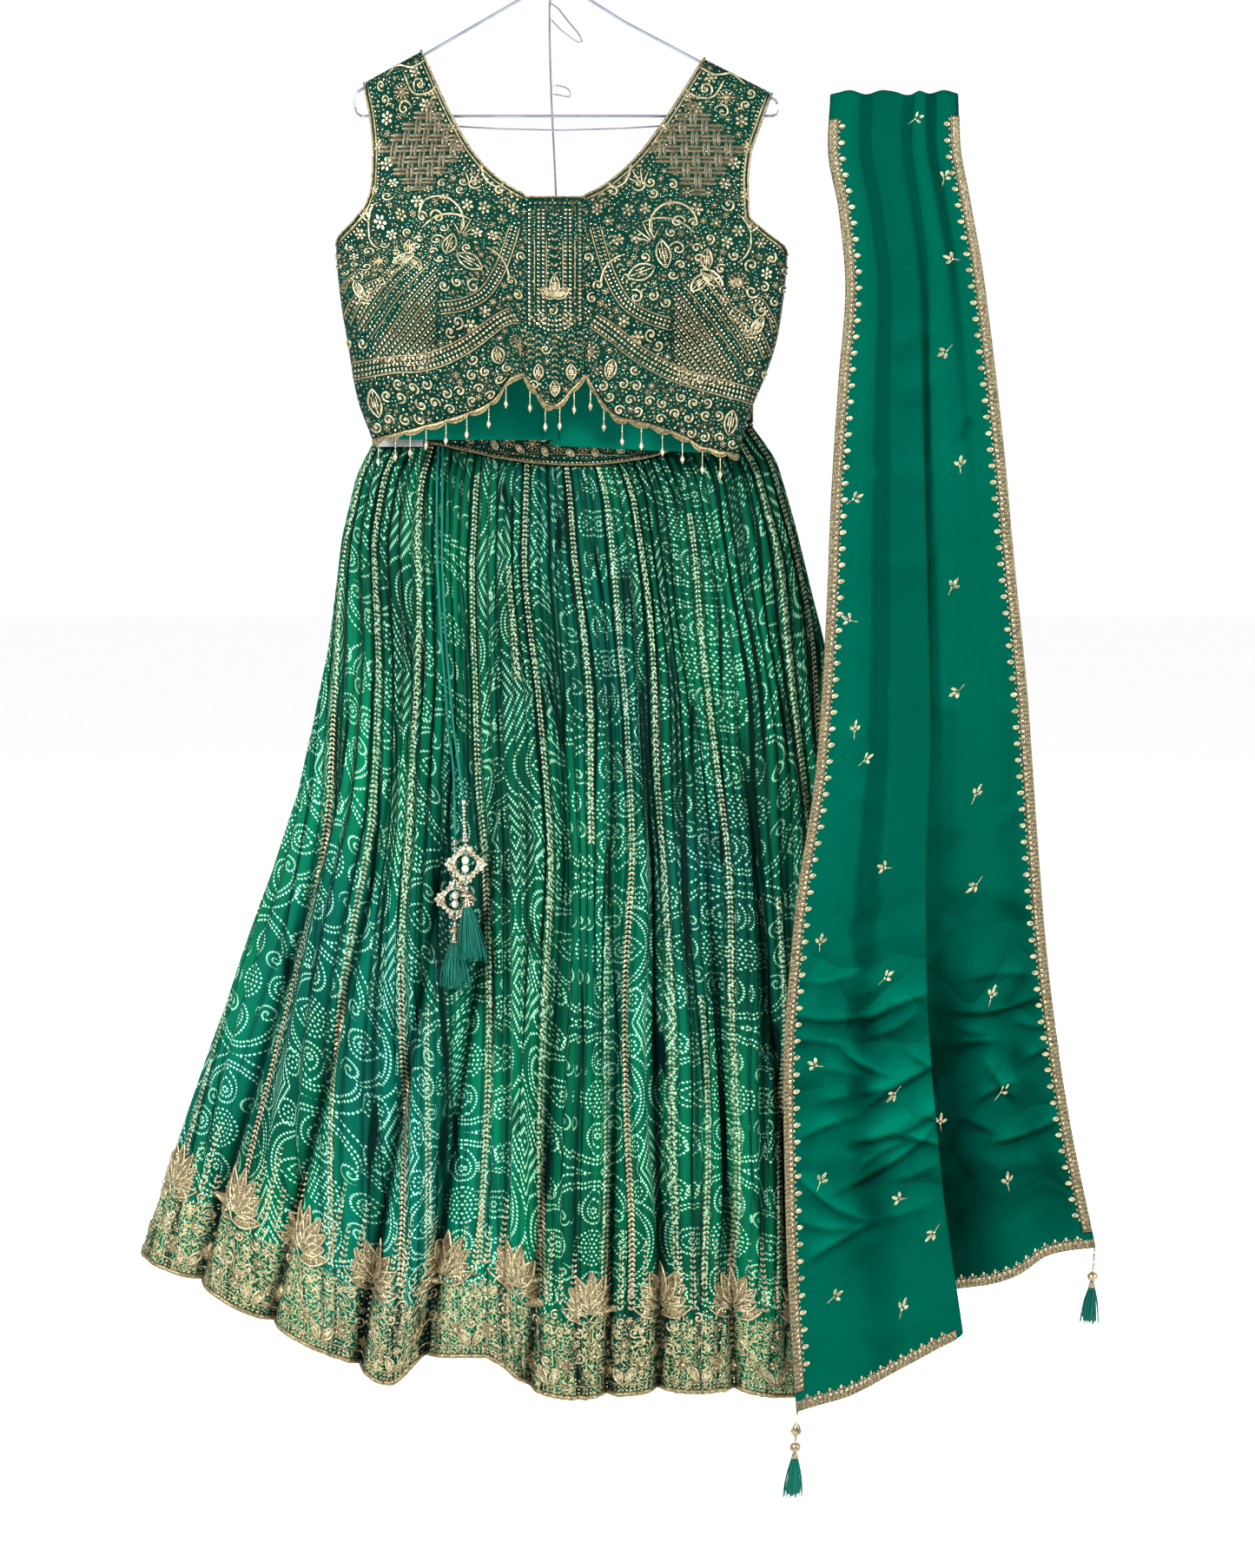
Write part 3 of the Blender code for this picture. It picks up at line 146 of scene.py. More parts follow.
def route(points, count):
    """A Catmull-Rom curve through given points, at even steps of its length."""
    p = np.asarray(points, float)
    p = np.concatenate([[2 * p[0] - p[1]], p, [2 * p[-1] - p[-2]]])
    s = np.linspace(0, 1, 12, endpoint=False)[:, None]
    runs = [0.5 * (2 * p[i] + (p[i + 1] - p[i - 1]) * s
                   + (2 * p[i - 1] - 5 * p[i] + 4 * p[i + 1] - p[i + 2]) * s ** 2
                   + (3 * p[i] - p[i - 1] - 3 * p[i + 1] + p[i + 2]) * s ** 3)
            for i in range(1, len(p) - 2)]
    dense = np.concatenate(runs + [p[-2:-1]])
    along = walked(dense)
    return places_at(np.linspace(0, along[-1], count), along, dense)


# %% [markdown]
# Every new piece goes through one function that fills a mesh from arrays. A piece keeps its place
# in its points, so its object stays at the origin. It rides on the outfit's one body, and it says
# which plain pieces it stands for. UVs carry a cloth's own flat coordinates in metres, and named
# numbers at the points tell a finish where to paint shade and highlight on the folds.

# %% Put arrays in a mesh
def piece(name, shape, finish, uv=None, marks=None, stands_for=(), flat_shaded=False):
    """A mesh object from points in millimetres and triangles."""
    points, faces = shape
    faces = np.asarray(faces, np.int32).reshape(-1, 3)
    mesh = bpy.data.meshes.new(name)
    mesh.vertices.add(len(points))
    mesh.vertices.foreach_set("co", (np.asarray(points) * MM).astype(np.float32).ravel())
    mesh.loops.add(faces.size)
    mesh.loops.foreach_set("vertex_index", faces.ravel())
    mesh.polygons.add(len(faces))
    mesh.polygons.foreach_set("loop_start", np.arange(0, faces.size, 3, dtype=np.int32))
    mesh.update(calc_edges=True)
    if not flat_shaded:
        mesh.shade_smooth()
    if uv is not None:
        layer = mesh.uv_layers.new(name="cloth")
        layer.data.foreach_set("uv", np.asarray(uv)[faces.ravel()].astype(np.float32).ravel())
    for mark, values in (marks or {}).items():
        attribute = mesh.attributes.new(mark, "FLOAT", "POINT")
        attribute.data.foreach_set("value", np.asarray(values).astype(np.float32).ravel())
    mesh.materials.append(finish)
    obj = bpy.data.objects.new(name, mesh)
    bpy.context.scene.collection.objects.link(obj)
    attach(obj, BODY)
    if stands_for:
        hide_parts(*stands_for)
    print(f"{name}: {len(faces)} triangles")
    return obj


# %% [markdown]
# Until it is a piece, a shape is just its points and its triangles, so shapes can be joined and
# turned right side out by array operations. Cloth is a wall with an outer and an inner face, and
# all of its edges are closed, because an open sheet would show no thickness at a hem.

# %% Joined shapes and cloth walls
def join(shapes):
    """Several shapes as one: their points one after the other, their triangles moved to match."""
    shapes = list(shapes)
    starts = np.cumsum([0] + [len(points) for points, _ in shapes])
    faces = [np.asarray(f).reshape(-1, 3) + start for (_, f), start in zip(shapes, starts)]
    return np.concatenate([points for points, _ in shapes]), np.concatenate(faces)


def facing_out(points, faces):
    """The triangles, turned round where the closed shape's volume comes out negative."""
    corner = points[faces]
    volume = np.einsum("ij,ij->", corner[:, 0], np.cross(corner[:, 1], corner[:, 2]))
    return faces[:, ::-1] if volume < 0 else faces


def shell(outer, inner):
    """A closed cloth wall between two grids of points: both faces and the four edges."""
    rows, cols = outer.shape[:2]
    index = np.arange(rows * cols).reshape(rows, cols)
    back = index + rows * cols
    a, b, d, e = index[:-1, :-1], index[:-1, 1:], index[1:, :-1], index[1:, 1:]
    n = rows * cols
    faces = [np.stack(t, -1).reshape(-1, 3) for t in (
        (a, b, e), (a, e, d), (a + n, e + n, b + n), (a + n, d + n, e + n))]
    for p, q, r, s in ((index[0, 1:], index[0, :-1], back[0, :-1], back[0, 1:]),
                       (index[-1, :-1], index[-1, 1:], back[-1, 1:], back[-1, :-1]),
                       (index[:-1, 0], index[1:, 0], back[1:, 0], back[:-1, 0]),
                       (index[1:, -1], index[:-1, -1], back[:-1, -1], back[1:, -1])):
        faces += [np.stack((p, q, r), -1), np.stack((p, r, s), -1)]
    points = np.concatenate([outer.reshape(-1, 3), inner.reshape(-1, 3)])
    return points, facing_out(points, np.concatenate(faces))


def grid_normals(points):
    """Directions square to a grid of points, from its slopes across and down."""
    return unit(np.cross(np.gradient(points, axis=1), np.gradient(points, axis=0)))


# %% [markdown]
# Cords, threads, beads and caps are rings of points. A cord's rings are carried along a path, and
# a bead's lie over each other as on a lathe. A curve with a bevel would make a plain cord too, but
# not one whose radius changes round it, as a twisted cord's does.

# %% Cords and turned shapes
def rings_to_shape(rings, closed=False):
    """A tube from rings of points (ring, place round it, xyz), with its ends closed."""
    count, sides = rings.shape[:2]
    index = np.arange(count * sides).reshape(count, sides)
    upper, lower = (index, np.roll(index, -1, 0)) if closed else (index[:-1], index[1:])
    upper_n, lower_n = np.roll(upper, -1, 1), np.roll(lower, -1, 1)
    faces = [np.stack((upper, lower, lower_n), -1).reshape(-1, 3),
             np.stack((upper, lower_n, upper_n), -1).reshape(-1, 3)]
    points = rings.reshape(-1, 3)
    if not closed:
        fan = np.stack([np.zeros(sides - 2, int), np.arange(1, sides - 1), np.arange(2, sides)], -1)
        faces += [fan, (fan + (count - 1) * sides)[:, ::-1]]
    return points, facing_out(points, np.concatenate(faces))


def tube(path, radius, sides=8, across=(0, 1, 0), closed=False):
    """A cord: a circle carried along a path, square to it, with one axis kept near `across`.

    The radius is one number, or an array with one for each ring and each place round it.
    """
    path = np.asarray(path, float)
    ahead = np.roll(path, -1, 0) - np.roll(path, 1, 0) if closed else np.gradient(path, axis=0)
    ahead = unit(ahead)
    first = unit(np.cross(ahead, np.broadcast_to(np.asarray(across, float), path.shape)))
    second = np.cross(first, ahead)
    cosine, sine = (f(turns(sides))[None, :, None] for f in (np.cos, np.sin))
    size = np.broadcast_to(radius, (len(path), sides))[..., None]
    return rings_to_shape(path[:, None] + (first[:, None] * cosine + second[:, None] * sine) * size, closed)


def turned(profile, top, sides=12, lean=(0.0, 0.0)):
    """A turned shape: circles of (height, radius) under a point, slid sideways as it leans."""
    height, radius = np.asarray(profile, float).T
    centre = np.stack([-lean[0] * height, -lean[1] * height, height], -1) + np.asarray(top)
    ring = np.stack([np.cos(turns(sides)), np.sin(turns(sides)), np.zeros(sides)], -1)
    return rings_to_shape(centre[:, None] + ring[None] * radius[:, None, None])


# %% [markdown]
# Node trees are easier to read as arithmetic than as a web of links. The small class below stands
# for one number in a tree, and adding or multiplying two of them puts in the Math node. Finishes
# that have a pattern, such as the dotted print, are then written as formulas.

# %% Arithmetic on shader nodes
class Number:
    """One number in a node tree."""

    def __init__(self, tree, socket):
        self.tree, self.socket = tree, socket

    def math(self, kind, *others, clamp=False):
        """A Math node of this number and the others."""
        node = self.tree.nodes.new("ShaderNodeMath")
        node.operation = kind
        node.use_clamp = clamp
        for entry, value in zip(node.inputs, (self, *others)):
            if isinstance(value, Number):
                self.tree.links.new(value.socket, entry)
            else:
                entry.default_value = value
        return Number(self.tree, node.outputs[0])

    def clamped(self):
        """The number, kept from 0 to 1."""
        return self.math("ADD", 0.0, clamp=True)

    def __add__(self, other):
        return self.math("ADD", other)

    def __sub__(self, other):
        return self.math("SUBTRACT", other)

    def __rsub__(self, other):
        return self.math("MULTIPLY", -1.0) + other

    def __mul__(self, other):
        return self.math("MULTIPLY", other)

    def __truediv__(self, other):
        return self.math("DIVIDE", other)

    __radd__, __rmul__ = __add__, __mul__

    def below(self, edge, blur):
        """1 where this is less than the edge, 0 above it, with a soft step as wide as the blur."""
        return ((edge - self) / blur + 0.5).clamped()

    def beside(self, step):
        """How far this is from the nearest whole number of steps, with its sign."""
        return self - (self / step).math("ROUND") * step


def length_of(x, y):
    """The length of a flat vector."""
    return (x * x + y * y).math("SQRT")


# %% [markdown]
# A finish is a material with its Principled shader. This class gives short names to what most of
# them need: coordinates, noise, scattered cells, two mixed colours and relief. The same trees could
# be put together in the shader editor, but many finishes share these few steps.

# %% A finish and its nodes
class Finish:
    """A material with its Principled shader and short ways to reach what nodes need."""

    def __init__(self, name, **values):
        self.material = bpy.data.materials.new(name)
        self.material.use_nodes = True
        self.tree = self.material.node_tree
        self.shader = self.tree.nodes["Principled BSDF"]
        for socket, value in values.items():
            title = socket.replace("_", " ").title().replace("Ior", "IOR")
            self.shader.inputs[title].default_value = value

    def node(self, kind, values=None, **settings):
        """A new node; its inputs take numbers, other nodes' sockets or plain values."""
        node = self.tree.nodes.new(kind)
        for key, value in settings.items():
            setattr(node, key, value)
        for key, value in (values or {}).items():
            source = getattr(value, "socket", value)
            if isinstance(source, bpy.types.NodeSocket):
                self.tree.links.new(source, node.inputs[key])
            else:
                node.inputs[key].default_value = source
        return node

    def link(self, source, entry):
        """Links a number or a socket to one of the shader's own sockets."""
        self.tree.links.new(getattr(source, "socket", source), self.shader.inputs[entry])

    def place(self, where="Object"):
        """The coordinates that a pattern is measured in."""
        return self.node("ShaderNodeTexCoord").outputs[where]

    def axes(self, where="UV"):
        """The coordinates as two or three numbers."""
        split = self.node("ShaderNodeSeparateXYZ", {"Vector": self.place(where)})
        return [Number(self.tree, s) for s in split.outputs]

    def mark(self, name):
        """A number that a piece carries at its points."""
        node = self.node("ShaderNodeAttribute", attribute_name=name)
        return Number(self.tree, node.outputs["Fac"])

    def noise(self, scale, detail=2.0, where="Object", stretch=(1, 1, 1)):
        """Soft random blotches; a stretch over 1 packs them closer along that axis."""
        moved = self.node("ShaderNodeMapping", {"Vector": self.place(where), "Scale": stretch})
        out = self.node("ShaderNodeTexNoise", {"Vector": moved.outputs[0], "Scale": scale,
                                               "Detail": detail})
        return Number(self.tree, out.outputs["Fac"])

    def cells(self, scale, stretch, turn):
        """How far it is to the nearest of many scattered points, on cloth bent a little by noise."""
        flat = self.place("UV")
        noise = self.node("ShaderNodeTexNoise", {"Vector": flat, "Scale": 7.0, "Detail": 2.0})
        shift = self.node("ShaderNodeVectorMath", {0: noise.outputs["Color"], 1: (0.09, 0.09, 0.0)},
                          operation="MULTIPLY")
        moved = self.node("ShaderNodeVectorMath", {0: flat, 1: shift.outputs[0]}, operation="ADD")
        laid = self.node("ShaderNodeMapping", {"Vector": moved.outputs[0], "Scale": stretch,
                                               "Rotation": (0, 0, turn)})
        out = self.node("ShaderNodeTexVoronoi", {"Vector": laid.outputs[0], "Scale": scale},
                        voronoi_dimensions="2D")
        return Number(self.tree, out.outputs["Distance"])

    def mix(self, amount, first, second):
        """Two colours mixed by a number."""
        first, second = ((*c, 1.0) if isinstance(c, tuple) else c for c in (first, second))
        return self.node("ShaderNodeMix", {0: amount, 6: first, 7: second}, data_type="RGBA").outputs[2]

    def bump(self, height, distance, strength=1.0):
        """Small relief, its height given as a number from 0 to 1 and its depth in metres."""
        node = self.node("ShaderNodeBump", {"Height": height, "Distance": distance,
                                            "Strength": strength})
        self.link(node.outputs[0], "Normal")


# %% [markdown]
# The outfit's greens and golds. The blouse is deep green, the stole is a bright emerald satin, and
# the metal thread is an old gold that leans to olive. Real cloth in these colours swallows most of
# the light, so the greens are dark and get almost no mirror shine. Each finish mixes two tones by
# a soft noise, and its relief is a finer one. The blouse's ground also carries thin wandering lines
# of thread. An image of each cloth would be quicker to make, but it would look soft from near by.

# %% Kinds of finish
def cloth_finish(name, deep, bright, roughness, shine=0.1, grain=900.0):
    """Matt cloth or thread: two tones, and a grain stretched down the cloth."""
    finish = Finish(name, roughness=roughness, specular_ior_level=shine)
    finish.link(finish.mix(finish.noise(9.0, 3.0), deep, bright), "Base Color")
    finish.bump(finish.noise(grain, 2.0, stretch=(1, 1, 0.15)), 0.0002, 0.5)
    return finish.material


def metal_finish(name, dark, light, roughness, metallic, scale, relief=0.0005):
    """Metal thread, beads or wire: one noise makes both the two tones and the relief."""
    finish = Finish(name, roughness=roughness, metallic=metallic)
    strand = finish.noise(scale, 3.0)
    finish.link(finish.mix((strand * 2.6 - 0.8).clamped(), dark, light), "Base Color")
    finish.bump(strand, relief, 0.7)
    return finish.material


def wandering_lines(finish, scale, width, blur, where="Object"):
    """Thin lines that never cross: the places where a fine noise passes its middle value."""
    return (finish.noise(scale, 0.0, where) - 0.5).math("ABSOLUTE").below(width, blur)


def worked_finish(name, deep, bright, thread):
    """Cloth whose ground is covered with raised couched thread, broken off here and there."""
    finish = Finish(name, roughness=0.6, specular_ior_level=0.02)
    lines = wandering_lines(finish, 200.0, 0.026, 0.02)
    broken = (finish.noise(60.0, 2.0) * 5.0 - 2.1).clamped()
    ground = finish.mix(finish.noise(9.0, 3.0), deep, bright)
    finish.link(finish.mix(lines * broken, ground, thread), "Base Color")
    finish.bump(lines, 0.0006, 0.6)
    return finish.material


# %% [markdown]
# The satin lies in facets between small creases, and two marks on its piece say where the big
# folds get painted shade and a painted highlight. The small creases' troughs get painted shade too.
# An image of real satin would show its creases in fixed places.

# %% Satin
SATIN_CREASED, SATIN_CALM = 0.82, 1.14    # metres down: the small creases grow, then fade


def satin_finish(name, deep, bright, lit, dark):
    """Satin with the sharp small creases that a folded length keeps, most of them low down.

    The cloth rises evenly away from scattered points, so it lies in facets, and a crease is where
    two of these slopes meet. The marks "lit" and "valley" of the piece paint a highlight and shade
    on it, and the troughs of the creases get painted shade as well.
    """
    finish = Finish(name, roughness=0.5, specular_ior_level=0.0)
    _, down, _ = finish.axes("UV")
    grown = ((down - SATIN_CREASED) * 7.0).math("MAXIMUM", 0.12).math("MINIMUM", 1.0)
    amount = grown * (1.0 - ((down - SATIN_CALM) * 7.0).math("MAXIMUM", 0.0).math("MINIMUM", 0.75))
    wide = finish.cells(7.0, (0.9, 1.15, 1), 0.7)
    narrow = finish.cells(15.0, (0.8, 1.3, 1), -0.5)
    depth = (wide * 0.5 + narrow * 0.5) * amount
    # painted shade: the mark "valley" and the troughs of the small creases
    shade = (finish.mark("valley") + (depth - 0.27) * 0.45).clamped()
    plain = finish.mix(finish.noise(6.0, 2.0), deep, bright)
    # a painted highlight where the mark "lit" is high
    raised = finish.mix(finish.mark("lit") * 0.75, plain, lit)
    finish.link(finish.mix(shade, raised, dark), "Base Color")
    finish.bump(1.0 - depth, 0.06, 1.0)
    return finish.material


# %% [markdown]
# These are the finishes themselves, each with its tones and its roughness. They are kept together,
# so that one gold can be compared with the next.

# %% The outfit's finishes
# its last two tones are a painted highlight and painted shade
SATIN = satin_finish("emerald_satin", (0.0, 0.037, 0.023), (0.0, 0.051, 0.032),
                     (0.0, 0.088, 0.056), (0.0, 0.009, 0.006))
LINING = cloth_finish("emerald_lining", (0.0, 0.07, 0.044), (0.001, 0.1, 0.065), 0.6, 0.0)
WORKED_CLOTH = worked_finish("couched_green_crepe", (0.0, 0.007, 0.005), (0.0, 0.024, 0.016),
                             (0.06, 0.053, 0.03))
CORD_THREAD = cloth_finish("dark_green_thread", (0.0, 0.035, 0.025), (0.0, 0.12, 0.085),
                           0.45, 0.1, 1500.0)
TASSEL_THREAD = cloth_finish("tassel_thread", (0.0, 0.028, 0.02), (0.0, 0.17, 0.12),
                             0.45, 0.15, 620.0)
# each metal: dark tone, light tone, roughness, how metallic, scale of the noise, relief in metres
GOLD_THREAD = metal_finish("old_gold_thread", (0.033, 0.026, 0.012), (0.23, 0.185, 0.088),
                           0.42, 0.65, 420.0)
DULL_THREAD = metal_finish("dull_gold_thread", (0.02, 0.017, 0.009), (0.12, 0.1, 0.054),
                           0.5, 0.6, 420.0)
BRIGHT_THREAD = metal_finish("bright_gold_thread", (0.085, 0.07, 0.036), (0.41, 0.355, 0.21),
                             0.4, 0.6, 300.0)
GOLD_METAL = metal_finish("pale_gold_metal", (0.12, 0.1, 0.062), (0.52, 0.46, 0.34),
                          0.22, 0.95, 260.0)
STONE = metal_finish("champagne_sequin", (0.075, 0.055, 0.026), (0.58, 0.475, 0.29),
                     0.18, 0.9, 170.0, 0.0001)
DROP = metal_finish("champagne_drop", (0.2, 0.17, 0.1), (0.55, 0.48, 0.34),
                    0.2, 0.7, 200.0, 0.0001)
SEED = metal_finish("mint_seed_bead", (0.09, 0.3, 0.19), (0.42, 0.68, 0.5),
                    0.25, 0.2, 200.0, 0.0001)
BRASS = metal_finish("antique_brass_bead", (0.05, 0.04, 0.02), (0.34, 0.28, 0.17),
                     0.3, 0.6, 260.0)
PEARL = metal_finish("champagne_bead", (0.34, 0.31, 0.24), (0.68, 0.65, 0.55),
                     0.22, 0.5, 300.0, 0.0001)
STEEL = metal_finish("drawn_steel_wire", (0.15, 0.17, 0.2), (0.24, 0.26, 0.3),
                     0.35, 0.9, 30.0, 0.0001)
CLIP_PLASTIC = metal_finish("grey_clip", (0.17, 0.18, 0.175), (0.26, 0.27, 0.265),
                            0.4, 0.0, 90.0, 0.0001)
print("finishes:", len(bpy.data.materials))

# %% [markdown]
# The skirt is tie-dyed: knots of thread keep rows of tiny dots pale while the cloth takes the green.
# The dots follow drawn curves, so the finish works out, for each place on the flat cloth, how far
# the nearest curve is and how far along it the place lies, and makes a dot of the two. The curves
# fill a cell of 148 mm: a round flower in the middle, four pointed buds round it, curls between
# them, a lobed outline in a double row, and nested diamonds where four cells meet. Folding the
# coordinates makes one bud stand for four. A drawn picture would lose its dots at a distance,
# whereas a formula stays sharp. The places that a gather hides are darkened, as little light gets in.

# %% The dotted print
CELL = 148.0                  # mm from one big flower to the next
DOT_PITCH, DOT_RADIUS = 3.4, 1.0


def nearer(*distances):
    """The smallest of several numbers."""
    least = distances[0]
    for other in distances[1:]:
        least = least.math("MINIMUM", other)
    return least


def beyond(value, limit):
    """A penalty of many millimetres where the value is over its limit."""
    return value.math("GREATER_THAN", limit) * 99.0


def dots_on(off, along, pitch=DOT_PITCH):
    """Distance to the nearest dot of a dotted curve."""
    return length_of(off, along.beside(pitch))


# %% [markdown]
# Each motif of the cell is a function that gives the distance to its nearest dot. It takes the
# place's distance from the middle, rho, and its angle, folded where the motif repeats.

# %% Motifs of the print
def outline_marks(rho, quarter):
    """The lobed outline: a double row, and an outer row that parts the cells."""
    lobes = (quarter * 2.0).math("COSINE").math("MAXIMUM", 0.001).math("POWER", 0.6)
    off = rho - lobes * 15.0 - 51.0
    rows = [(off + shift).math("ABSOLUTE") for shift in (0.0, 4.4, -9.0)]
    return dots_on(nearer(*rows), quarter * 60.0)


def bud_marks(rho, quarter):
    """Four buds with their points outward: an outline, a smaller one in it, and three dots."""
    x, y = rho * quarter.math("COSINE") - 37.0, rho * quarter.math("SINE")
    angle, reach = y.math("ARCTAN2", x), length_of(x, y)
    edge = (1.0 - angle.math("ABSOLUTE") / math.pi).math("POWER", 5.0) * 9.0 + 12.5
    return nearer(dots_on(reach - edge, angle * 14.5), dots_on(reach - edge * 0.56, angle * 8.2),
                  length_of(reach - 2.6, (angle * 3.0).beside(math.pi)))


def diagonal_marks(rho, angle):
    """Between the buds a curl, and further out a ring flower of a dot and two rings."""
    diagonal = (angle + math.pi / 4).beside(math.pi / 2)
    x, y = rho * diagonal.math("COSINE") - 39.0, rho * diagonal.math("SINE")
    reach, turn = length_of(x, y), y.math("ARCTAN2", x)
    spiral = dots_on((reach - turn * 0.95).beside(5.97), turn * reach, 3.1) + beyond(reach, 9.2)
    ring, turn = length_of(x - 33.0, y), y.math("ARCTAN2", x - 33.0)
    return nearer(spiral, ring, dots_on(ring - 5.2, turn * 5.2, 4.08),
                  dots_on(ring - 11.0, turn * 11.0, 3.46))


def middle_marks(rho, angle):
    """The middle flower: rings of 6, 12 and 18 dots."""
    ring = (rho / 4.4).math("ROUND")
    petals = (angle * ring * (6 / (2 * math.pi))).beside(1.0) * 4.5
    return length_of(rho.beside(4.4), petals) + beyond(rho, 19.0)


def corner_marks(x, y):
    """Nested diamonds where four cells meet."""
    x, y = CELL / 2 - x.math("ABSOLUTE"), CELL / 2 - y.math("ABSOLUTE")
    level = x / 14.0 + y / 30.0
    side = (x / 14.0 - y / 30.0) * 16.5
    return dots_on(level.beside(0.4) * 12.7, side, 3.2) + beyond(level, 1.75)


# %% [markdown]
# The finish takes the nearest of all these dots and lays it over the dye, which lies in patches of
# green and teal. Above the hem, lines of thread take the place of the dots. Thin lines of painted
# shade run down the crinkled cloth's grooves, and painted shade darkens the valleys and, more and
# more towards the waist, the upper skirt.

# %% The print's finish
def print_finish():
    """Dye in patches, pale dots on it, worked lines above the hem, and painted shade in lines and hollows.
    """
    finish = Finish("tie_dyed_crepe", roughness=0.6, specular_ior_level=0.02)
    u, v, _ = finish.axes("UV")
    u = u + finish.mark("hidden")
    wobble = finish.noise(9.0, 2.0, "UV")
    flat_x = u * 1000.0 + (wobble - 0.5) * 12.0
    flat_y = v * 1000.0 + (wobble - 0.5) * 10.0
    x, y = flat_x.beside(CELL), flat_y.beside(CELL)
    rho, angle = length_of(x, y), y.math("ARCTAN2", x)
    quarter = angle.beside(math.pi / 2)
    marks = nearer(outline_marks(rho, quarter), bud_marks(rho, quarter), diagonal_marks(rho, angle),
                   middle_marks(rho, angle), corner_marks(x, y))
    dot = marks.below(DOT_RADIUS, 0.55)
    # patches of dye, stretched down the cloth
    tone = finish.noise(5.5, 3.0, "UV", (1.4, 0.55, 1))
    teal = finish.noise(4.1, 2.0, "UV", (1.0, 0.5, 1))
    streak = finish.noise(60.0, 2.0, "UV", (1.0, 0.06, 1))
    shade = (tone * 3.2 - 1.15).clamped()
    blue = (teal * 4.0 - 1.9).clamped()
    green = finish.mix(shade, (0.0, 0.026, 0.014), (0.0, 0.086, 0.038))
    dyed = finish.mix(blue * 0.75, green, (0.0, 0.052, 0.046))
    pale = finish.mix(blue, (0.27, 0.58, 0.36), (0.24, 0.55, 0.45))
    # above the hem the border's ground is worked with wandering lines of thread instead
    worked = flat_y.below(finish.noise(14.0, 2.0, "UV") * 26.0 + 58.0, 5.0)
    printed = finish.mix(dot * (shade * 0.3 + 0.7) * (1.0 - worked), dyed, pale)
    lines = wandering_lines(finish, 240.0, 0.06, 0.03, "UV")
    printed = finish.mix(worked * lines, printed, (0.29, 0.245, 0.13))
    # thin lines of painted shade down the cloth, in the grooves where it is crinkled
    line = finish.noise(34.0, 1.0, "UV", (1.0, 0.045, 1)) - 0.5
    line = line.math("ABSOLUTE").below(0.014, 0.012)
    # painted shade that grows from 0.4 m above the hem upward, for the pleats' shadows
    high = (v - 0.4).math("MAXIMUM", 0.0) * 0.5
    # painted shade from the valley mark, the crinkle lines and the upper skirt, with random streaks of tone
    painted_shade = finish.mark("valley") * 0.96 + (streak - 0.5) * 0.4 + line * 0.55 + high
    finish.link(finish.mix(painted_shade.clamped(), printed, (0.0, 0.006, 0.0045)), "Base Color")
    crinkle = finish.noise(260.0, 2.0, "UV", (1.0, 0.07, 1))
    finish.bump(crinkle - line * 0.8, 0.0012, 0.7)
    return finish.material


PRINTED = print_finish()
print("print:", len(PRINTED.node_tree.nodes), "nodes")

# %% [markdown]
# A plain, pale floor lies well under the outfit, and the air round it is white. One wide soft
# light stands to the left in front, a weaker one to the right, and a third behind, so the back of
# the skirt can be looked at too. Wide lights keep the gold's glints small and the satin calm.

# %% Floor and light
FLOOR_Z = -1.765              # metres; the outfit ends 130 mm above it
FLOOR_HALF = 60000            # mm, so that the floor's edge is never seen


def floor():
    """A square of floor, declared as stage."""
    finish = cloth_finish("pale_floor", (0.96, 0.96, 0.96), (0.99, 0.99, 0.99), 0.9, 0.0, 40.0)
    s = np.linspace(-FLOOR_HALF, FLOOR_HALF, 3)
    x, y = np.meshgrid(s, s)
    points = np.stack([x, y, np.full_like(x, FLOOR_Z / MM)], -1).reshape(-1, 3)
    mesh = bpy.data.meshes.new("floor")
    mesh.from_pydata((points * MM).tolist(), [],
                     [(0, 1, 4, 3), (1, 2, 5, 4), (3, 4, 7, 6), (4, 5, 8, 7)])
    mesh.materials.append(finish)
    obj = bpy.data.objects.new("floor", mesh)
    bpy.context.scene.collection.objects.link(obj)


def soft_light(name, place, aim, size, watts):
    """A square area light of the given size in metres, turned towards the aim."""
    light = bpy.data.lights.new(name, "AREA")
    light.size = size
    light.energy = watts
    obj = bpy.data.objects.new(name, light)
    away = np.asarray(place, float) - np.asarray(aim, float)
    flat = math.hypot(away[0], away[1])
    obj.location = place
    obj.rotation_euler = (math.atan2(flat, away[2]), 0.0, math.atan2(away[0], -away[1]))
    bpy.context.scene.collection.objects.link(obj)


floor()
soft_light("key_light", (-2.1, -2.4, 1.0), (0.0, 0.0, -0.8), 0.8, 270.0)
soft_light("right_light", (2.5, -1.8, 0.2), (0.1, 0.0, -0.8), 0.7, 125.0)
soft_light("back_light", (0.6, 2.8, 0.6), (0.0, 0.0, -0.8), 1.6, 190.0)
world = bpy.data.worlds.new("white_air")
world.use_nodes = True
world.node_tree.nodes["Background"].inputs["Color"].default_value = (1.0, 1.0, 1.0, 1.0)
world.node_tree.nodes["Background"].inputs["Strength"].default_value = 1.0
bpy.context.scene.world = world
bpy.context.scene.view_settings.view_transform = "Standard"
print("lights:", len(bpy.data.lights))

# %% [markdown]
# ## The drawstring
# The skirt is closed at its waist with a drawstring, the dori. It is a limp twisted cord, so each
# of its two ends hangs straight down from the waistband, over the skirt's front. The skirt stands
# out more the lower it gets, and the cord lies along it. Two strands are wound round each
# other: a circle is carried along the route, and its radius swells twice on each turn.

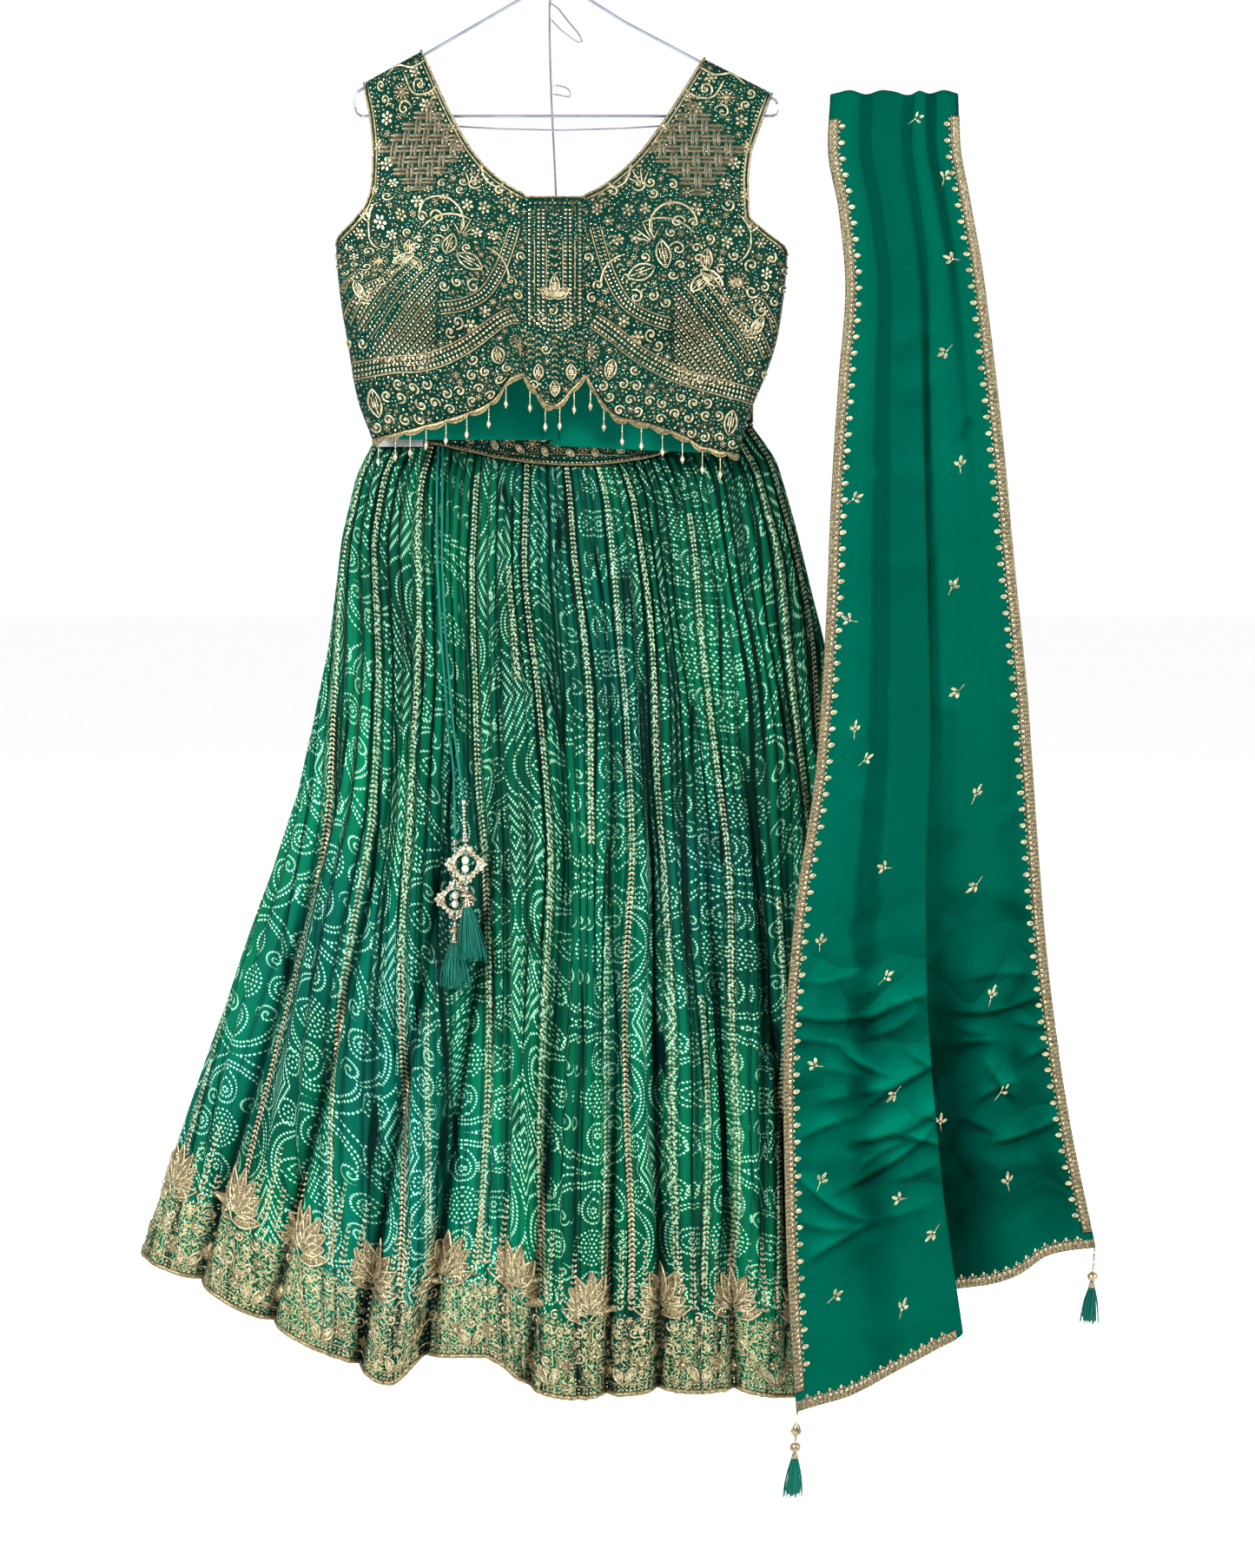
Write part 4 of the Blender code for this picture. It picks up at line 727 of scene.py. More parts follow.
# %% Drawstring cords
CORD_R = 1.4
CORD_1 = [(-118.5, 29.0, -563.8), (-118.5, 26.8, -571), (-118.2, 22.2, -582), (-118.0, 18.6, -590),
          (-117.5, 9.3, -615), (-116.4, -6.0, -660), (-115.5, -15.3, -690), (-113.6, -22.5, -720),
          (-111.8, -27.8, -750), (-109.6, -33.0, -780), (-106.6, -38.5, -810), (-103.6, -44.0, -840),
          (-100.0, -50.0, -870), (-95.0, -59.5, -900), (-89.5, -71.5, -931)]
CORD_2 = [(-123.0, 29.2, -563.0), (-123.1, 26.3, -571), (-123.3, 21.8, -582), (-123.5, 18.7, -590),
          (-123.0, 9.0, -615), (-121.7, -6.9, -660), (-120.5, -14.5, -690), (-118.5, -22.0, -720),
          (-116.4, -28.2, -750), (-114.2, -34.4, -780), (-111.5, -38.4, -810), (-108.9, -42.2, -840),
          (-105.8, -44.8, -870), (-101.9, -48.0, -900), (-100.4, -52.5, -932), (-99.2, -60.5, -955),
          (-98.2, -66.5, -973)]
CORD_POINTS = {1: CORD_1, 2: CORD_2}
CORD_TWIST = 5.0              # mm of cord for one turn of its strands
HANG_SLOPE = -0.17            # what hangs below is pushed forward by the skirt
CHAIN_LENGTH = {1: 44.5, 2: 39.5}
MEDALLION_R = 18.1
MEDALLION_REACH = 1.205       # its lobes reach this much further than its radius
GAP = 0.3
BELL_LENGTH = 21.0
ASIDE = {1: 0.045, 2: 0.01}   # the first cord's end hangs askew
THREADS = {1: (56.0, 15.0, 0.12), 2: (49.0, 17.0, 0.02)}   # length, spread, lean aside


def twisted_cord(path, radius, pitch, sides=8):
    """Two strands laid round each other: radius times 1.04 less 0.2 times a turning sine squared."""
    wound = turns(sides)[None] - 2 * math.pi * walked(path)[:, None] / pitch
    return tube(path, radius * (1.04 - 0.2 * np.sin(wound) ** 2), sides)


def dori_places(n, end):
    """Where the chain, medallion, pearls and tassel hang under the end of a cord."""
    x, y, z = np.array(end) - (0, 0, 0.8)
    half = MEDALLION_R * MEDALLION_REACH
    middle = GAP + half + CHAIN_LENGTH[n]
    below = {"chain": 0.0, "medallion": middle, "pearls": middle - 9.7, "tassel": middle + half + GAP}
    return {name: np.array([x + ASIDE[n] * down, y + HANG_SLOPE * down, z - down])
            for name, down in below.items()}


def dori_foot(n, down):
    """A place on the line on which a tassel's bell hangs, a given height below its top."""
    top = dori_places(n, CORD_POINTS[n][-1])["tassel"]
    return top + np.array([ASIDE[n], HANG_SLOPE, -1.0]) * down


dori_lines = {}
for n, points in CORD_POINTS.items():
    knot = dori_places(n, points[-1])["chain"] + (0, -1, -6)
    end = route([points[-1], knot, dori_foot(n, BELL_LENGTH - 1)], 40)
    dori_lines[n] = np.concatenate([route(points, 150), end[1:]])
    piece(f"dori_cord_{n}_twisted", twisted_cord(dori_lines[n], CORD_R, CORD_TWIST),
                          CORD_THREAD, stands_for=[f"dori_cord_{n}"])
    print("cord", n, round(float(walked(dori_lines[n])[-1])), "mm long")

# %% [markdown]
# On each cord hang a knot, a short chain of metal beads, a cast medallion with two pearls in its
# ring, a bell-shaped cap and a thread tassel. Beads and caps are turned shapes. The medallion is a
# flat ring whose outer edge swells into four lobes and twenty small scallops, with a raised rim
# inside and out, and its height over the ring is a sum of three soft ridges.

# %% Beads and medallions
def beads_profile(length, bead, count, bell):
    """Heights and radii of a knot's collar, a row of round beads and a small bell."""
    rows = [(0.0, 0.9), (-1.0, 2.4), (-3.2, 3.3), (-5.4, 2.6), (-6.6, 1.0)]
    start, stop = 7.2, length - 11.5
    pitch = (stop - start) / count
    for k in range(count):
        for part in (0.06, 0.28, 0.5, 0.72, 0.94):
            rows.append((-start - pitch * (k + part), 0.8 + bead * math.sin(math.pi * part)))
    base = length - 11.5
    rows += [(-base, 0.9), (-base - 1.6, 2.2), (-base - 3.4, 3.0), (-base - 4.6, 2.0), (-base - 6.8, 3.6),
             (-base - 9.0, bell), (-base - 10.2, bell * 0.9), (-length + 0.2, 1.0)]
    return rows


def medallion_shape(centre, tilt):
    """An openwork ring: r runs from the hole to a lobed edge, and the relief is three ridges."""
    hole = 10.4
    around = turns(160)
    edge = MEDALLION_R * (1 + 0.17 * np.cos(4 * around) + 0.06 * np.cos(20 * around))
    angle, s = np.meshgrid(around, np.linspace(0, 1, 15))
    radius = hole + (edge[None] - hole) * s
    scallops = 0.5 + 0.5 * np.cos(20 * angle + 2.4 * math.pi * s)
    height = 0.45 + (1.5 * bell(s - 0.12, 0.09) + 1.3 * bell(s - 0.86, 0.09)
                     + 1.6 * bell(s - 0.5, 0.16) * scallops)
    front = np.stack([radius * np.cos(angle), -height, radius * np.sin(angle)], -1)
    rim = np.stack([radius * np.cos(angle), height * 0.8, radius * np.sin(angle)], -1)[::-1]
    c, s = math.cos(tilt), math.sin(tilt)
    tilted = np.concatenate([front, rim]) @ np.array([[1, 0, 0], [0, c, -s], [0, s, c]]).T
    return rings_to_shape(tilted + centre, closed=True)


def pearls_shape(spot):
    """Two pearls strung one under the other, with a thin metal cap above, between and below."""
    rows = [(0.0, 0.8), (-0.9, 1.3), (-1.4, 1.0)]
    for middle in (-5.4, -14.0):
        rows += [(middle + 4.1 * math.cos(a), 4.1 * math.sin(a))
                 for a in np.linspace(0.14, math.pi - 0.14, 9)]
    rows += [(-18.4, 1.2), (-19.3, 0.8)]
    return turned(rows, spot, 16, (0.0, HANG_SLOPE))


BELL = ((0.0, 0.9), (-1.2, 2.6), (-2.4, 1.7), (-4.0, 3.4), (-6.0, 5.2), (-8.0, 7.5), (-8.9, 7.7),
        (-9.8, 6.8), (-11.4, 2.8), (-12.4, 2.4), (-13.6, 3.9), (-15.0, 4.3), (-15.8, 3.7),
        (-16.8, 4.5), (-19.5, 4.8), (-21.0, 4.2))
GOLDEN_ANGLE = 2.399963       # radians between neighbours on a spiral that never repeats
THREAD_R = 0.62
SHEAF_FLAT = 0.35             # a sheaf's spread front to back, as a share of that aside


# %% [markdown]
# The tassel is a sheaf of thin threads that start on a spiral, spread a little and end unevenly. A
# tapered core in the middle keeps it from looking sparse. Hundreds of threads would do so too, but
# they would be heavy to make.

# %% Thread tassels
def threads_shape(top, root, length, spread, count, lean, seed):
    """A sheaf of threads round a tapered core.

    Each thread starts on a spiral, leaves it at a slant and waves a little. The sheaf lies on
    cloth, so it spreads less front to back than aside.
    """
    rng = np.random.default_rng(seed)
    k = np.arange(count)
    ring = np.sqrt((k + 0.5) / count)
    angle = GOLDEN_ANGLE * k
    start = np.stack([root * ring * np.cos(angle), root * ring * np.sin(angle)], -1)
    drop = length * rng.uniform(0.86, 1.0, count)
    s = np.linspace(0, 1, 7)
    widen = 1 + (spread / root - 1) * (1 - (1 - s) ** 1.6)
    place = np.zeros((count, len(s), 3))
    wave = rng.uniform(-0.7, 0.7, (count, 2))
    for axis, flat in ((0, 1.0), (1, SHEAF_FLAT)):
        grow = 1 + (widen - 1) * flat
        place[..., axis] = (start[:, axis, None] * grow[None] + lean[axis] * drop[:, None] * s[None]
                            + wave[:, axis, None] * np.sin(math.pi * s)[None] * spread * 0.12)
    place[..., 2] = -drop[:, None] * s[None]
    place += np.asarray(top)
    circle = np.stack([np.cos(turns(3)), np.sin(turns(3)), np.zeros(3)], -1) * THREAD_R
    strands = [rings_to_shape(line[:, None] + circle[None]) for line in place]
    s = np.linspace(0, 0.9, 8)[:, None]
    size = (root * 0.9 * (1 + 0.72 * (spread / root - 1) * (1 - (1 - s) ** 1.6))
            * np.where(s > 0.85, 0.8, 1.0))
    turn = turns(12)
    core = np.stack([size * np.cos(turn) + lean[0] * length * s,
                     size * np.sin(turn) * (0.35 + 0.65 * SHEAF_FLAT) * 0.8 + lean[1] * length * s,
                     np.broadcast_to(-length * s, (8, 12))], -1) + np.asarray(top)
    return join([*strands, rings_to_shape(core)])


# %% [markdown]
# Both cords get the same pieces, in the order in which they hang.

# %% What hangs on the cords
for n in (1, 2):
    spots = dori_places(n, CORD_POINTS[n][-1])
    lean = (ASIDE[n], HANG_SLOPE)
    length, spread, aside = THREADS[n]
    chain = turned(beads_profile(CHAIN_LENGTH[n], 1.5, 7 if n == 1 else 6, 5.2 - 0.5 * (n - 1)),
                   spots["chain"], 12, lean)
    medallion = medallion_shape(spots["medallion"], math.atan(HANG_SLOPE))
    threads = threads_shape(dori_foot(n, BELL_LENGTH - 1.5), 3.6, length, spread, 65,
                            (aside, HANG_SLOPE), 40 + n)
    made = [piece(name, shape, finish, stands_for=[plain]) for name, shape, finish, slot, plain in (
        (f"dori_chain_{n}_beads", chain, GOLD_METAL, "gold_trim", f"dori_chain_{n}"),
        (f"dori_medallion_{n}_cast", medallion, GOLD_METAL, "gold_trim", f"dori_medallion_{n}"),
        (f"dori_pearls_{n}_strung", pearls_shape(spots["pearls"]), PEARL, "beads", f"dori_pearls_{n}"),
        (f"dori_cap_{n}_bell", turned(BELL, spots["tassel"], 16, lean), GOLD_METAL, "gold_trim",
         f"dori_tassel_{n}"),
        (f"dori_threads_{n}", threads, TASSEL_THREAD, "thread", f"dori_tassel_{n}"))]
    line = dori_lines[n]


# %% [markdown]
# ## Reading a surface anywhere
# Stitched work has to sit exactly on cloth that is folded and gathered. A surface is worked out
# once as a fine grid over two numbers, and then read between its grid points, with the direction
# that stands off it. Motifs are drawn flat in millimetres and laid on with it.

# %% A readable surface
class Surface:
    """A grid of points over a (across) and b (down), read between its points."""

    def __init__(self, a, b, points, outward):
        self.a, self.b, self.points = np.asarray(a, float), np.asarray(b, float), points
        normals = grid_normals(points)
        middle = normals[len(b) // 2, len(a) // 2]
        self.normals = normals * (1.0 if float(middle @ np.asarray(outward)) > 0 else -1.0)

    def at(self, a, b, lift=0.0):
        """Points and normals at places a, b, moved out by a lift in millimetres."""
        a, b = np.broadcast_arrays(np.asarray(a, float), np.asarray(b, float))
        col = np.interp(a, self.a, np.arange(len(self.a)))
        row = np.interp(b, self.b, np.arange(len(self.b)))
        i = np.clip(row.astype(int), 0, len(self.b) - 2)
        j = np.clip(col.astype(int), 0, len(self.a) - 2)
        s, t = (row - i)[..., None], (col - j)[..., None]
        point, normal = ((1 - s) * ((1 - t) * g[i, j] + t * g[i, j + 1])
                         + s * ((1 - t) * g[i + 1, j] + t * g[i + 1, j + 1])
                         for g in (self.points, self.normals))
        normal = unit(normal)
        return point + normal * np.asarray(lift)[..., None], normal


# %% [markdown]
# Some surfaces are only known as grids, and a motif's place on them is given as it is seen from the
# front. The nearest grid point is looked up, and one straight step along the grid's own slopes
# does the rest.

# %% Finding a place on a surface
class Chart:
    """Finds the place (a, b) on a surface where its x and z have given values."""

    def __init__(self, surface):
        self.surface = surface
        nodes = surface.points[..., [0, 2]]
        self.nodes = nodes[::2, ::2]
        self.across = np.gradient(nodes, surface.a, axis=1)[::2, ::2]
        self.down = np.gradient(nodes, surface.b, axis=0)[::2, ::2]

    def find(self, spots):
        """The nearest of every second grid point, by brute force, then one Newton step."""
        flat = self.nodes.reshape(-1, 2)
        size = (flat ** 2).sum(1)
        near = np.concatenate([(size - 2 * part @ flat.T).argmin(1)
                               for part in np.array_split(spots, max(1, len(spots) // 2000))])
        i, j = np.unravel_index(near, self.nodes.shape[:2])
        gap = spots - self.nodes[i, j]
        p, q = self.across[i, j], self.down[i, j]
        area = p[:, 0] * q[:, 1] - p[:, 1] * q[:, 0]
        area = np.where(np.abs(area) < 1e-6, 1e-6, area)
        a = self.surface.a[::2][j] + (gap[:, 0] * q[:, 1] - gap[:, 1] * q[:, 0]) / area
        b = self.surface.b[::2][i] + (p[:, 0] * gap[:, 1] - p[:, 1] * gap[:, 0]) / area
        return a, b


# %% [markdown]
# ## Drawing embroidery
# All the stitched work is built of two marks: a small raised oval, which serves as a sequin, a bead,
# a grain of thread or, with pointed ends, a leaf; and a cord, which is a ridge along a line. They
# are drawn on flat cloth, and a map of the cloth remembers what is taken, so that the ground
# between the motifs can be filled with small flowers, leaves and beads afterwards. Placing several
# thousand marks by hand would take days, and a picture of them would have no relief.

# %% Marks and a drawing
class Drawing:
    """Stitched work on flat cloth, in millimetres, with a map of what is taken."""

    def __init__(self, left, low, right, high, seed=1, bold=1.0):
        self.marks = {"thread": [], "stone": [], "seed": [], "bright": [], "dull": []}
        self.bold = bold
        self.corner = (left, low)
        self.taken = np.zeros((int(right - left) + 1, int(high - low) + 1), bool)
        self.rng = np.random.default_rng(seed)

    def take(self, x, y, reach):
        """Puts discs on the map."""
        x, y, reach = (np.ravel(v) for v in np.broadcast_arrays(x, y, np.asarray(reach, float)))
        span = int(math.ceil(reach.max()))
        for dx in range(-span, span + 1):
            for dy in range(-span, span + 1):
                i = np.round(x - self.corner[0] + dx).astype(int)
                j = np.round(y - self.corner[1] + dy).astype(int)
                on_map = (i >= 0) & (j >= 0) & (i < self.taken.shape[0]) & (j < self.taken.shape[1])
                fits = (dx * dx + dy * dy <= reach ** 2) & on_map
                self.taken[i[fits], j[fits]] = True

    def ovals(self, kind, x, y, length, width, angle=0.0, height=0.8, sides=6, lens=0.0, keep=True,
              base=0.0):
        """Raised ovals: an outline and a lifted middle, joined by a fan of triangles.

        With lens over 0 the sine that makes the width is sharpened, so the ends come to points. The
        base is how high the outline lies, and keep puts the ovals on the map.
        """
        x, y, length, width, angle, height = (
            np.ravel(v).astype(float) for v in np.broadcast_arrays(x, y, length, width, angle, height))
        along = np.cos(turns(sides))[None] * length[:, None] / 2
        sine = np.sin(turns(sides))
        side = (np.sign(sine) * np.abs(sine) ** (1 + lens))[None] * width[:, None] / 2
        c, s = np.cos(angle)[:, None], np.sin(angle)[:, None]
        px = np.concatenate([x[:, None] + c * along - s * side, x[:, None]], 1)
        py = np.concatenate([y[:, None] + s * along + c * side, y[:, None]], 1)
        lift = np.concatenate([np.full_like(along, base), height[:, None] + base], 1)
        fan = np.stack([np.arange(sides), np.roll(np.arange(sides), -1), np.full(sides, sides)], -1)
        faces = fan[None] + (np.arange(len(x)) * (sides + 1))[:, None, None]
        flat = np.stack([px, py], -1).reshape(-1, 2)
        self.marks[kind].append((flat, lift.ravel(), faces.reshape(-1, 3)))
        if keep:
            for share in (-0.3, 0.0, 0.3):
                reach = length * share
                self.take(x + reach * np.cos(angle), y + reach * np.sin(angle), width / 2 + 0.4)

    def sequins(self, x, y, size, height, sides=6, turn=0.0):
        """Round ovals of the stones' kind."""
        self.ovals("stone", x, y, size, size, turn, height, sides)

    def cord(self, path, width=1.6, height=0.8, kind="thread", base=0.0):
        """A ridge: two slopes that meet over a line, narrower at its two ends."""
        path = np.asarray(path, float)
        width, height = width * self.bold, height * self.bold ** 2
        ahead = unit(np.gradient(path, axis=0))
        side = np.stack([-ahead[:, 1], ahead[:, 0]], -1)
        n = len(path)
        from_end = np.minimum(np.arange(n), np.arange(n)[::-1])
        taper = np.minimum(1, 0.4 + from_end * 0.4)[:, None] * width / 2
        flat = np.stack([path + side * taper, path, path - side * taper], 1)
        lift = np.tile([base, base + height, base], (n, 1))
        index = np.arange(3 * n).reshape(n, 3)
        faces = [np.stack(t, -1).reshape(-1, 3) for k in (0, 1) for t in (
            (index[:-1, k], index[:-1, k + 1], index[1:, k + 1]),
            (index[:-1, k], index[1:, k + 1], index[1:, k]))]
        self.marks[kind].append((flat.reshape(-1, 2), lift.ravel(), np.concatenate(faces)))
        self.take(path[:, 0], path[:, 1], width / 2 + 0.3)

    def row(self, kind, path, pitch, length, width, height=0.8, turn=0.0, lens=0.0, base=0.0):
        """Ovals at even steps along a line, turned with it."""
        x, y, ahead, _, _ = steps_on(path, pitch)
        self.ovals(kind, x, y, length, width, np.arctan2(ahead[:, 1], ahead[:, 0]) + turn, height,
                   6, lens, base=base)


# %% [markdown]
# Three small helpers say where marks go: at even steps along a path, on an arc, and at a motif's
# own flat places, turned and moved to the spot where the motif lies.

# %% Steps, arcs and turned places
def steps_on(path, pitch):
    """Even steps along a line: x, y and direction there, how far along, and the line's length."""
    path = np.asarray(path, float)
    along = walked(path)
    count = max(1, int(along[-1] / pitch))
    at = (np.arange(count) + 0.5) * along[-1] / count
    x, y = places_at(at, along, path).T
    return x, y, unit(places_at(at, along, np.gradient(path, axis=0))), at, along[-1]


def arc(x, y, radius, start, end, count=12):
    """Points on part of a circle; angles in degrees."""
    turn = np.radians(np.linspace(start, end, count))
    return np.stack([x + radius * np.cos(turn), y + radius * np.sin(turn)], -1)


def laid(x, y, angle, along, aside):
    """Points of a motif, given along its own direction and aside of it, laid down at its spot."""
    c, s = math.cos(angle), math.sin(angle)
    return np.stack([x + c * along - s * aside, y + s * along + c * aside], -1)


# %% [markdown]
# The motifs are those of this kind of work everywhere: small and big flowers, leaves, curls, fans,
# wheat ears, lotuses and sprigs. Each is a function that puts a few marks on a drawing, with its
# sizes as shares of its own size, so one function serves for small and large. They could be cut out
# as meshes by hand once and copied, but drawn marks can be bent with any cloth.

# %% Motifs
UP = math.pi / 2


def flower(d, x, y, size, petals=6, turn=0.0, yarn="thread"):
    """A sequin with a ring of thread petals round it."""
    around = turn + np.arange(petals) * 2 * math.pi / petals
    d.ovals(yarn, x + 0.62 * size * np.cos(around), y + 0.62 * size * np.sin(around), size * 0.86,
            size * 0.68, around, 0.8, 6, 0.2)
    d.sequins(x, y, size * 0.72, 1.5, 6, turn)


def rosette(d, x, y, size):
    """A big round flower: sequin, ring of sequins, ring of petals, corded edge."""
    d.ovals("thread", x, y, size * 1.7, size * 1.7, 0.0, 0.6, 16)
    d.cord(arc(x, y, size * 0.42, 0, 360, 15), 1.2, 1.2)
    for count, reach, length, kind in ((8, 0.6, 0.3, "stone"), (16, 0.88, 0.34, "thread")):
        around = np.arange(count) * 2 * math.pi / count
        d.ovals(kind, x + reach * size * np.cos(around), y + reach * size * np.sin(around),
                size * length, size * 0.27, around, 1.3, 6)
    d.sequins(x, y, size * 0.5, 1.9, 8)


def leaf(d, x, y, length, width, angle):
    """A corded leaf with a row of sequins down its middle."""
    share = np.linspace(0, 1, 9)
    bow = np.sin(math.pi * share) ** 0.8 * width / 2
    d.ovals("thread", x, y, length, width * 0.92, angle, 0.5, 12, 0.3)
    for sign in (1, -1):
        d.cord(laid(x, y, angle, (share - 0.5) * length, sign * bow), 1.7, 1.1, "bright")
    for sign, part in ((0, 0.55), (1, 0.35), (-1, 0.35)):
        at = np.arange(-part, part + 0.01, 2.6 / length)
        at = at[np.abs(at) < part * (1.0 if sign == 0 else 0.7)]
        spots = laid(x, y, angle, at * length * 0.8, np.full(len(at), sign * width * 0.2))
        d.sequins(spots[:, 0], spots[:, 1], 2.5, 1.4, 5)
    c, s = math.cos(angle), math.sin(angle)
    down = np.linspace(-0.3, 0.3, 5) * length
    d.take(x + down * c, y + down * s, width * 0.42)


def curl(d, x, y, size, angle, hand=1):
    """A corded curl: a spiral that opens into a stem."""
    turn = np.linspace(0, 2.6 * math.pi, 22)
    radius = size * (0.16 + 0.84 * (turn / turn[-1]) ** 1.3)
    d.cord(laid(x, y, angle, radius * np.cos(turn) * hand, radius * np.sin(turn)), 1.7, 0.9, "bright")
    d.sequins(x, y, 2.6, 1.2)


# %% [markdown]
# A fan is a bunch of bent stems with a ring at each end. A wheat ear is a line of grains in pairs,
# and it is the mark of which this outfit has most: the skirt's long gold lines are wheat ears.

# %% Fans and wheat ears
def fan(d, x, y, size, angle, rays, spread):
    """Stems that spread from one foot, each with a ring at its end."""
    for k, way in enumerate(angle + np.linspace(-spread / 2, spread / 2, rays)):
        off = k - (rays - 1) / 2
        reach, bend = size * (1.0 - 0.12 * abs(off)), 0.12 * off
        share = np.linspace(0.15, 0.86, 6)
        ways = way + bend * (share - 0.5)
        stem = np.stack([x + reach * share * np.cos(ways), y + reach * share * np.sin(ways)], -1)
        d.cord(stem, 1.3, 0.8, "bright")
        way += bend / 2
        d.sequins(x + reach * math.cos(way), y + reach * math.sin(way), 4.2, 0.9)


def ear(d, path, pitch=7.0, length=5.8, width=2.7, taper=0.0, kind="thread"):
    """A wheat ear: grains in pairs that lean out on both sides of a line and meet on it."""
    x, y, ahead, at, whole = steps_on(path, pitch)
    size = 1 - taper * at / whole
    way = np.arctan2(ahead[:, 1], ahead[:, 0])
    for sign in (1, -1):
        off = sign * length * 0.29 * size
        d.ovals(kind, x - ahead[:, 1] * off, y + ahead[:, 0] * off, length * size, width * size,
                way + sign * 0.75, 1.3, 6, 0.15, keep=False)
    d.take(x, y, length * 0.55)


# %% [markdown]
# The lotus is the border's largest motif. Its petals are laid one over another from the outside in
# and stand a little off the cloth, over the ground's stitches. A sprig is three leaves on a stem.

# %% Lotuses and sprigs
def petal(d, x, y, length, width, way, base):
    """A corded petal from a foot: a dark filling, a bright outline and a short row of sequins."""
    share = np.linspace(0, 1, 8)
    bow = np.sin(math.pi * share ** 0.85) * width / 2
    c, s = math.cos(way), math.sin(way)
    d.ovals("thread", x + c * length / 2, y + s * length / 2, length, width, way, 0.5, 12, 0.3,
            base=base)
    for sign in (1, -1):
        d.cord(laid(x, y, way, share * length, sign * bow), 1.3, 0.7, "bright", base + 0.3)
    at = np.arange(0.35, 0.8, 3.0 / length) * length
    d.ovals("stone", x + c * at, y + s * at, 2.5, 2.3, 0.0, 0.9, 5, keep=False, base=base + 0.5)


LOTUS_BASE = 1.1              # mm that a lotus stands off the cloth, over the ground's stitches


def lotus(d, x, y, size):
    """A lotus: pointed petals that spread from one foot over a bud, and two broad leaves below."""
    base = LOTUS_BASE
    for sign in (1, -1):
        petal(d, x, y - size * 0.16, size * 0.62, size * 0.22, UP - sign * 1.2, base)
        stalk = arc(x + sign * size * 0.2, y - size * 0.24, size * 0.24, 90 - sign * 80, 90 + sign * 30, 8)
        d.cord(stalk, 1.3, 0.9, "bright", base)
    for k, (spread, long) in enumerate(((1.15, 0.52), (0.76, 0.66), (0.38, 0.76), (0.0, 0.82))):
        for way in sorted({UP + spread, UP - spread}):
            petal(d, x, y, size * long, size * 0.23, way, base + 0.25 * k)
    d.take(x, y + size * 0.2, size * 0.3)


def sprig(d, x, y, size, angle, kind="thread"):
    """Three leaves and a short stem."""
    for turn, long in ((0.0, 1.0), (0.85, 0.72), (-0.85, 0.72)):
        reach, way = size * 0.42 * long, angle + turn
        d.ovals(kind, x + reach * math.cos(way), y + reach * math.sin(way), size * 0.66 * long,
                size * 0.27, way, 1.3, 8, 0.4)
    down, way = np.linspace(0, 0.5, 4) * size, angle + 0.2
    d.cord(np.stack([x - down * math.cos(way), y - down * math.sin(way)], -1), 1.4, 0.9, kind)
    d.sequins(x, y, size * 0.2, 1.2)


# %% [markdown]
# Between the large motifs no cloth is left bare. A loose grid of spots is laid over the drawing,
# each is shifted at random, and those on which the map is free are kept. Working from large
# fillings to small ones packs them closely without any search for the best layout.

# %% Filling the ground
def free_spots(d, pitch, inside):
    """Spots of a loose grid with nothing near them on the map, and not near each other."""
    left, low = d.corner
    wide, high = d.taken.shape
    x, y = np.meshgrid(np.arange(left + pitch / 2, left + wide, pitch * 0.8),
                       np.arange(low + pitch / 2, low + high, pitch * 0.8))
    x = (x + np.where((np.arange(len(x)) % 2)[:, None] == 1, pitch / 2, 0)).ravel()
    y = y.ravel()
    x = x + d.rng.uniform(-0.4, 0.4, len(x)) * pitch
    y = y + d.rng.uniform(-0.4, 0.4, len(x)) * pitch
    reach = pitch * 0.4
    around = turns(8)
    px = x[:, None] + np.append(reach * np.cos(around), [0.0, reach / 2, -reach / 2])[None]
    py = y[:, None] + np.append(reach * np.sin(around), [0.0, reach / 2, -reach / 2])[None]
    i = np.clip(np.round(px - left).astype(int), 0, wide - 1)
    j = np.clip(np.round(py - low).astype(int), 0, high - 1)
    free = ~d.taken[i, j].any(axis=1)
    free[free] = inside(x[free], y[free])
    keep = []
    for k in np.flatnonzero(free):
        away = (x[keep] - x[k]) ** 2 + (y[keep] - y[k]) ** 2
        if not keep or away.min() > (0.86 * pitch) ** 2:
            keep.append(k)
    return x[keep], y[keep]


ALL_FILLINGS = (("curl", 14.0), ("flower", 8.4), ("leaf", 4.2), ("seed", 2.6))


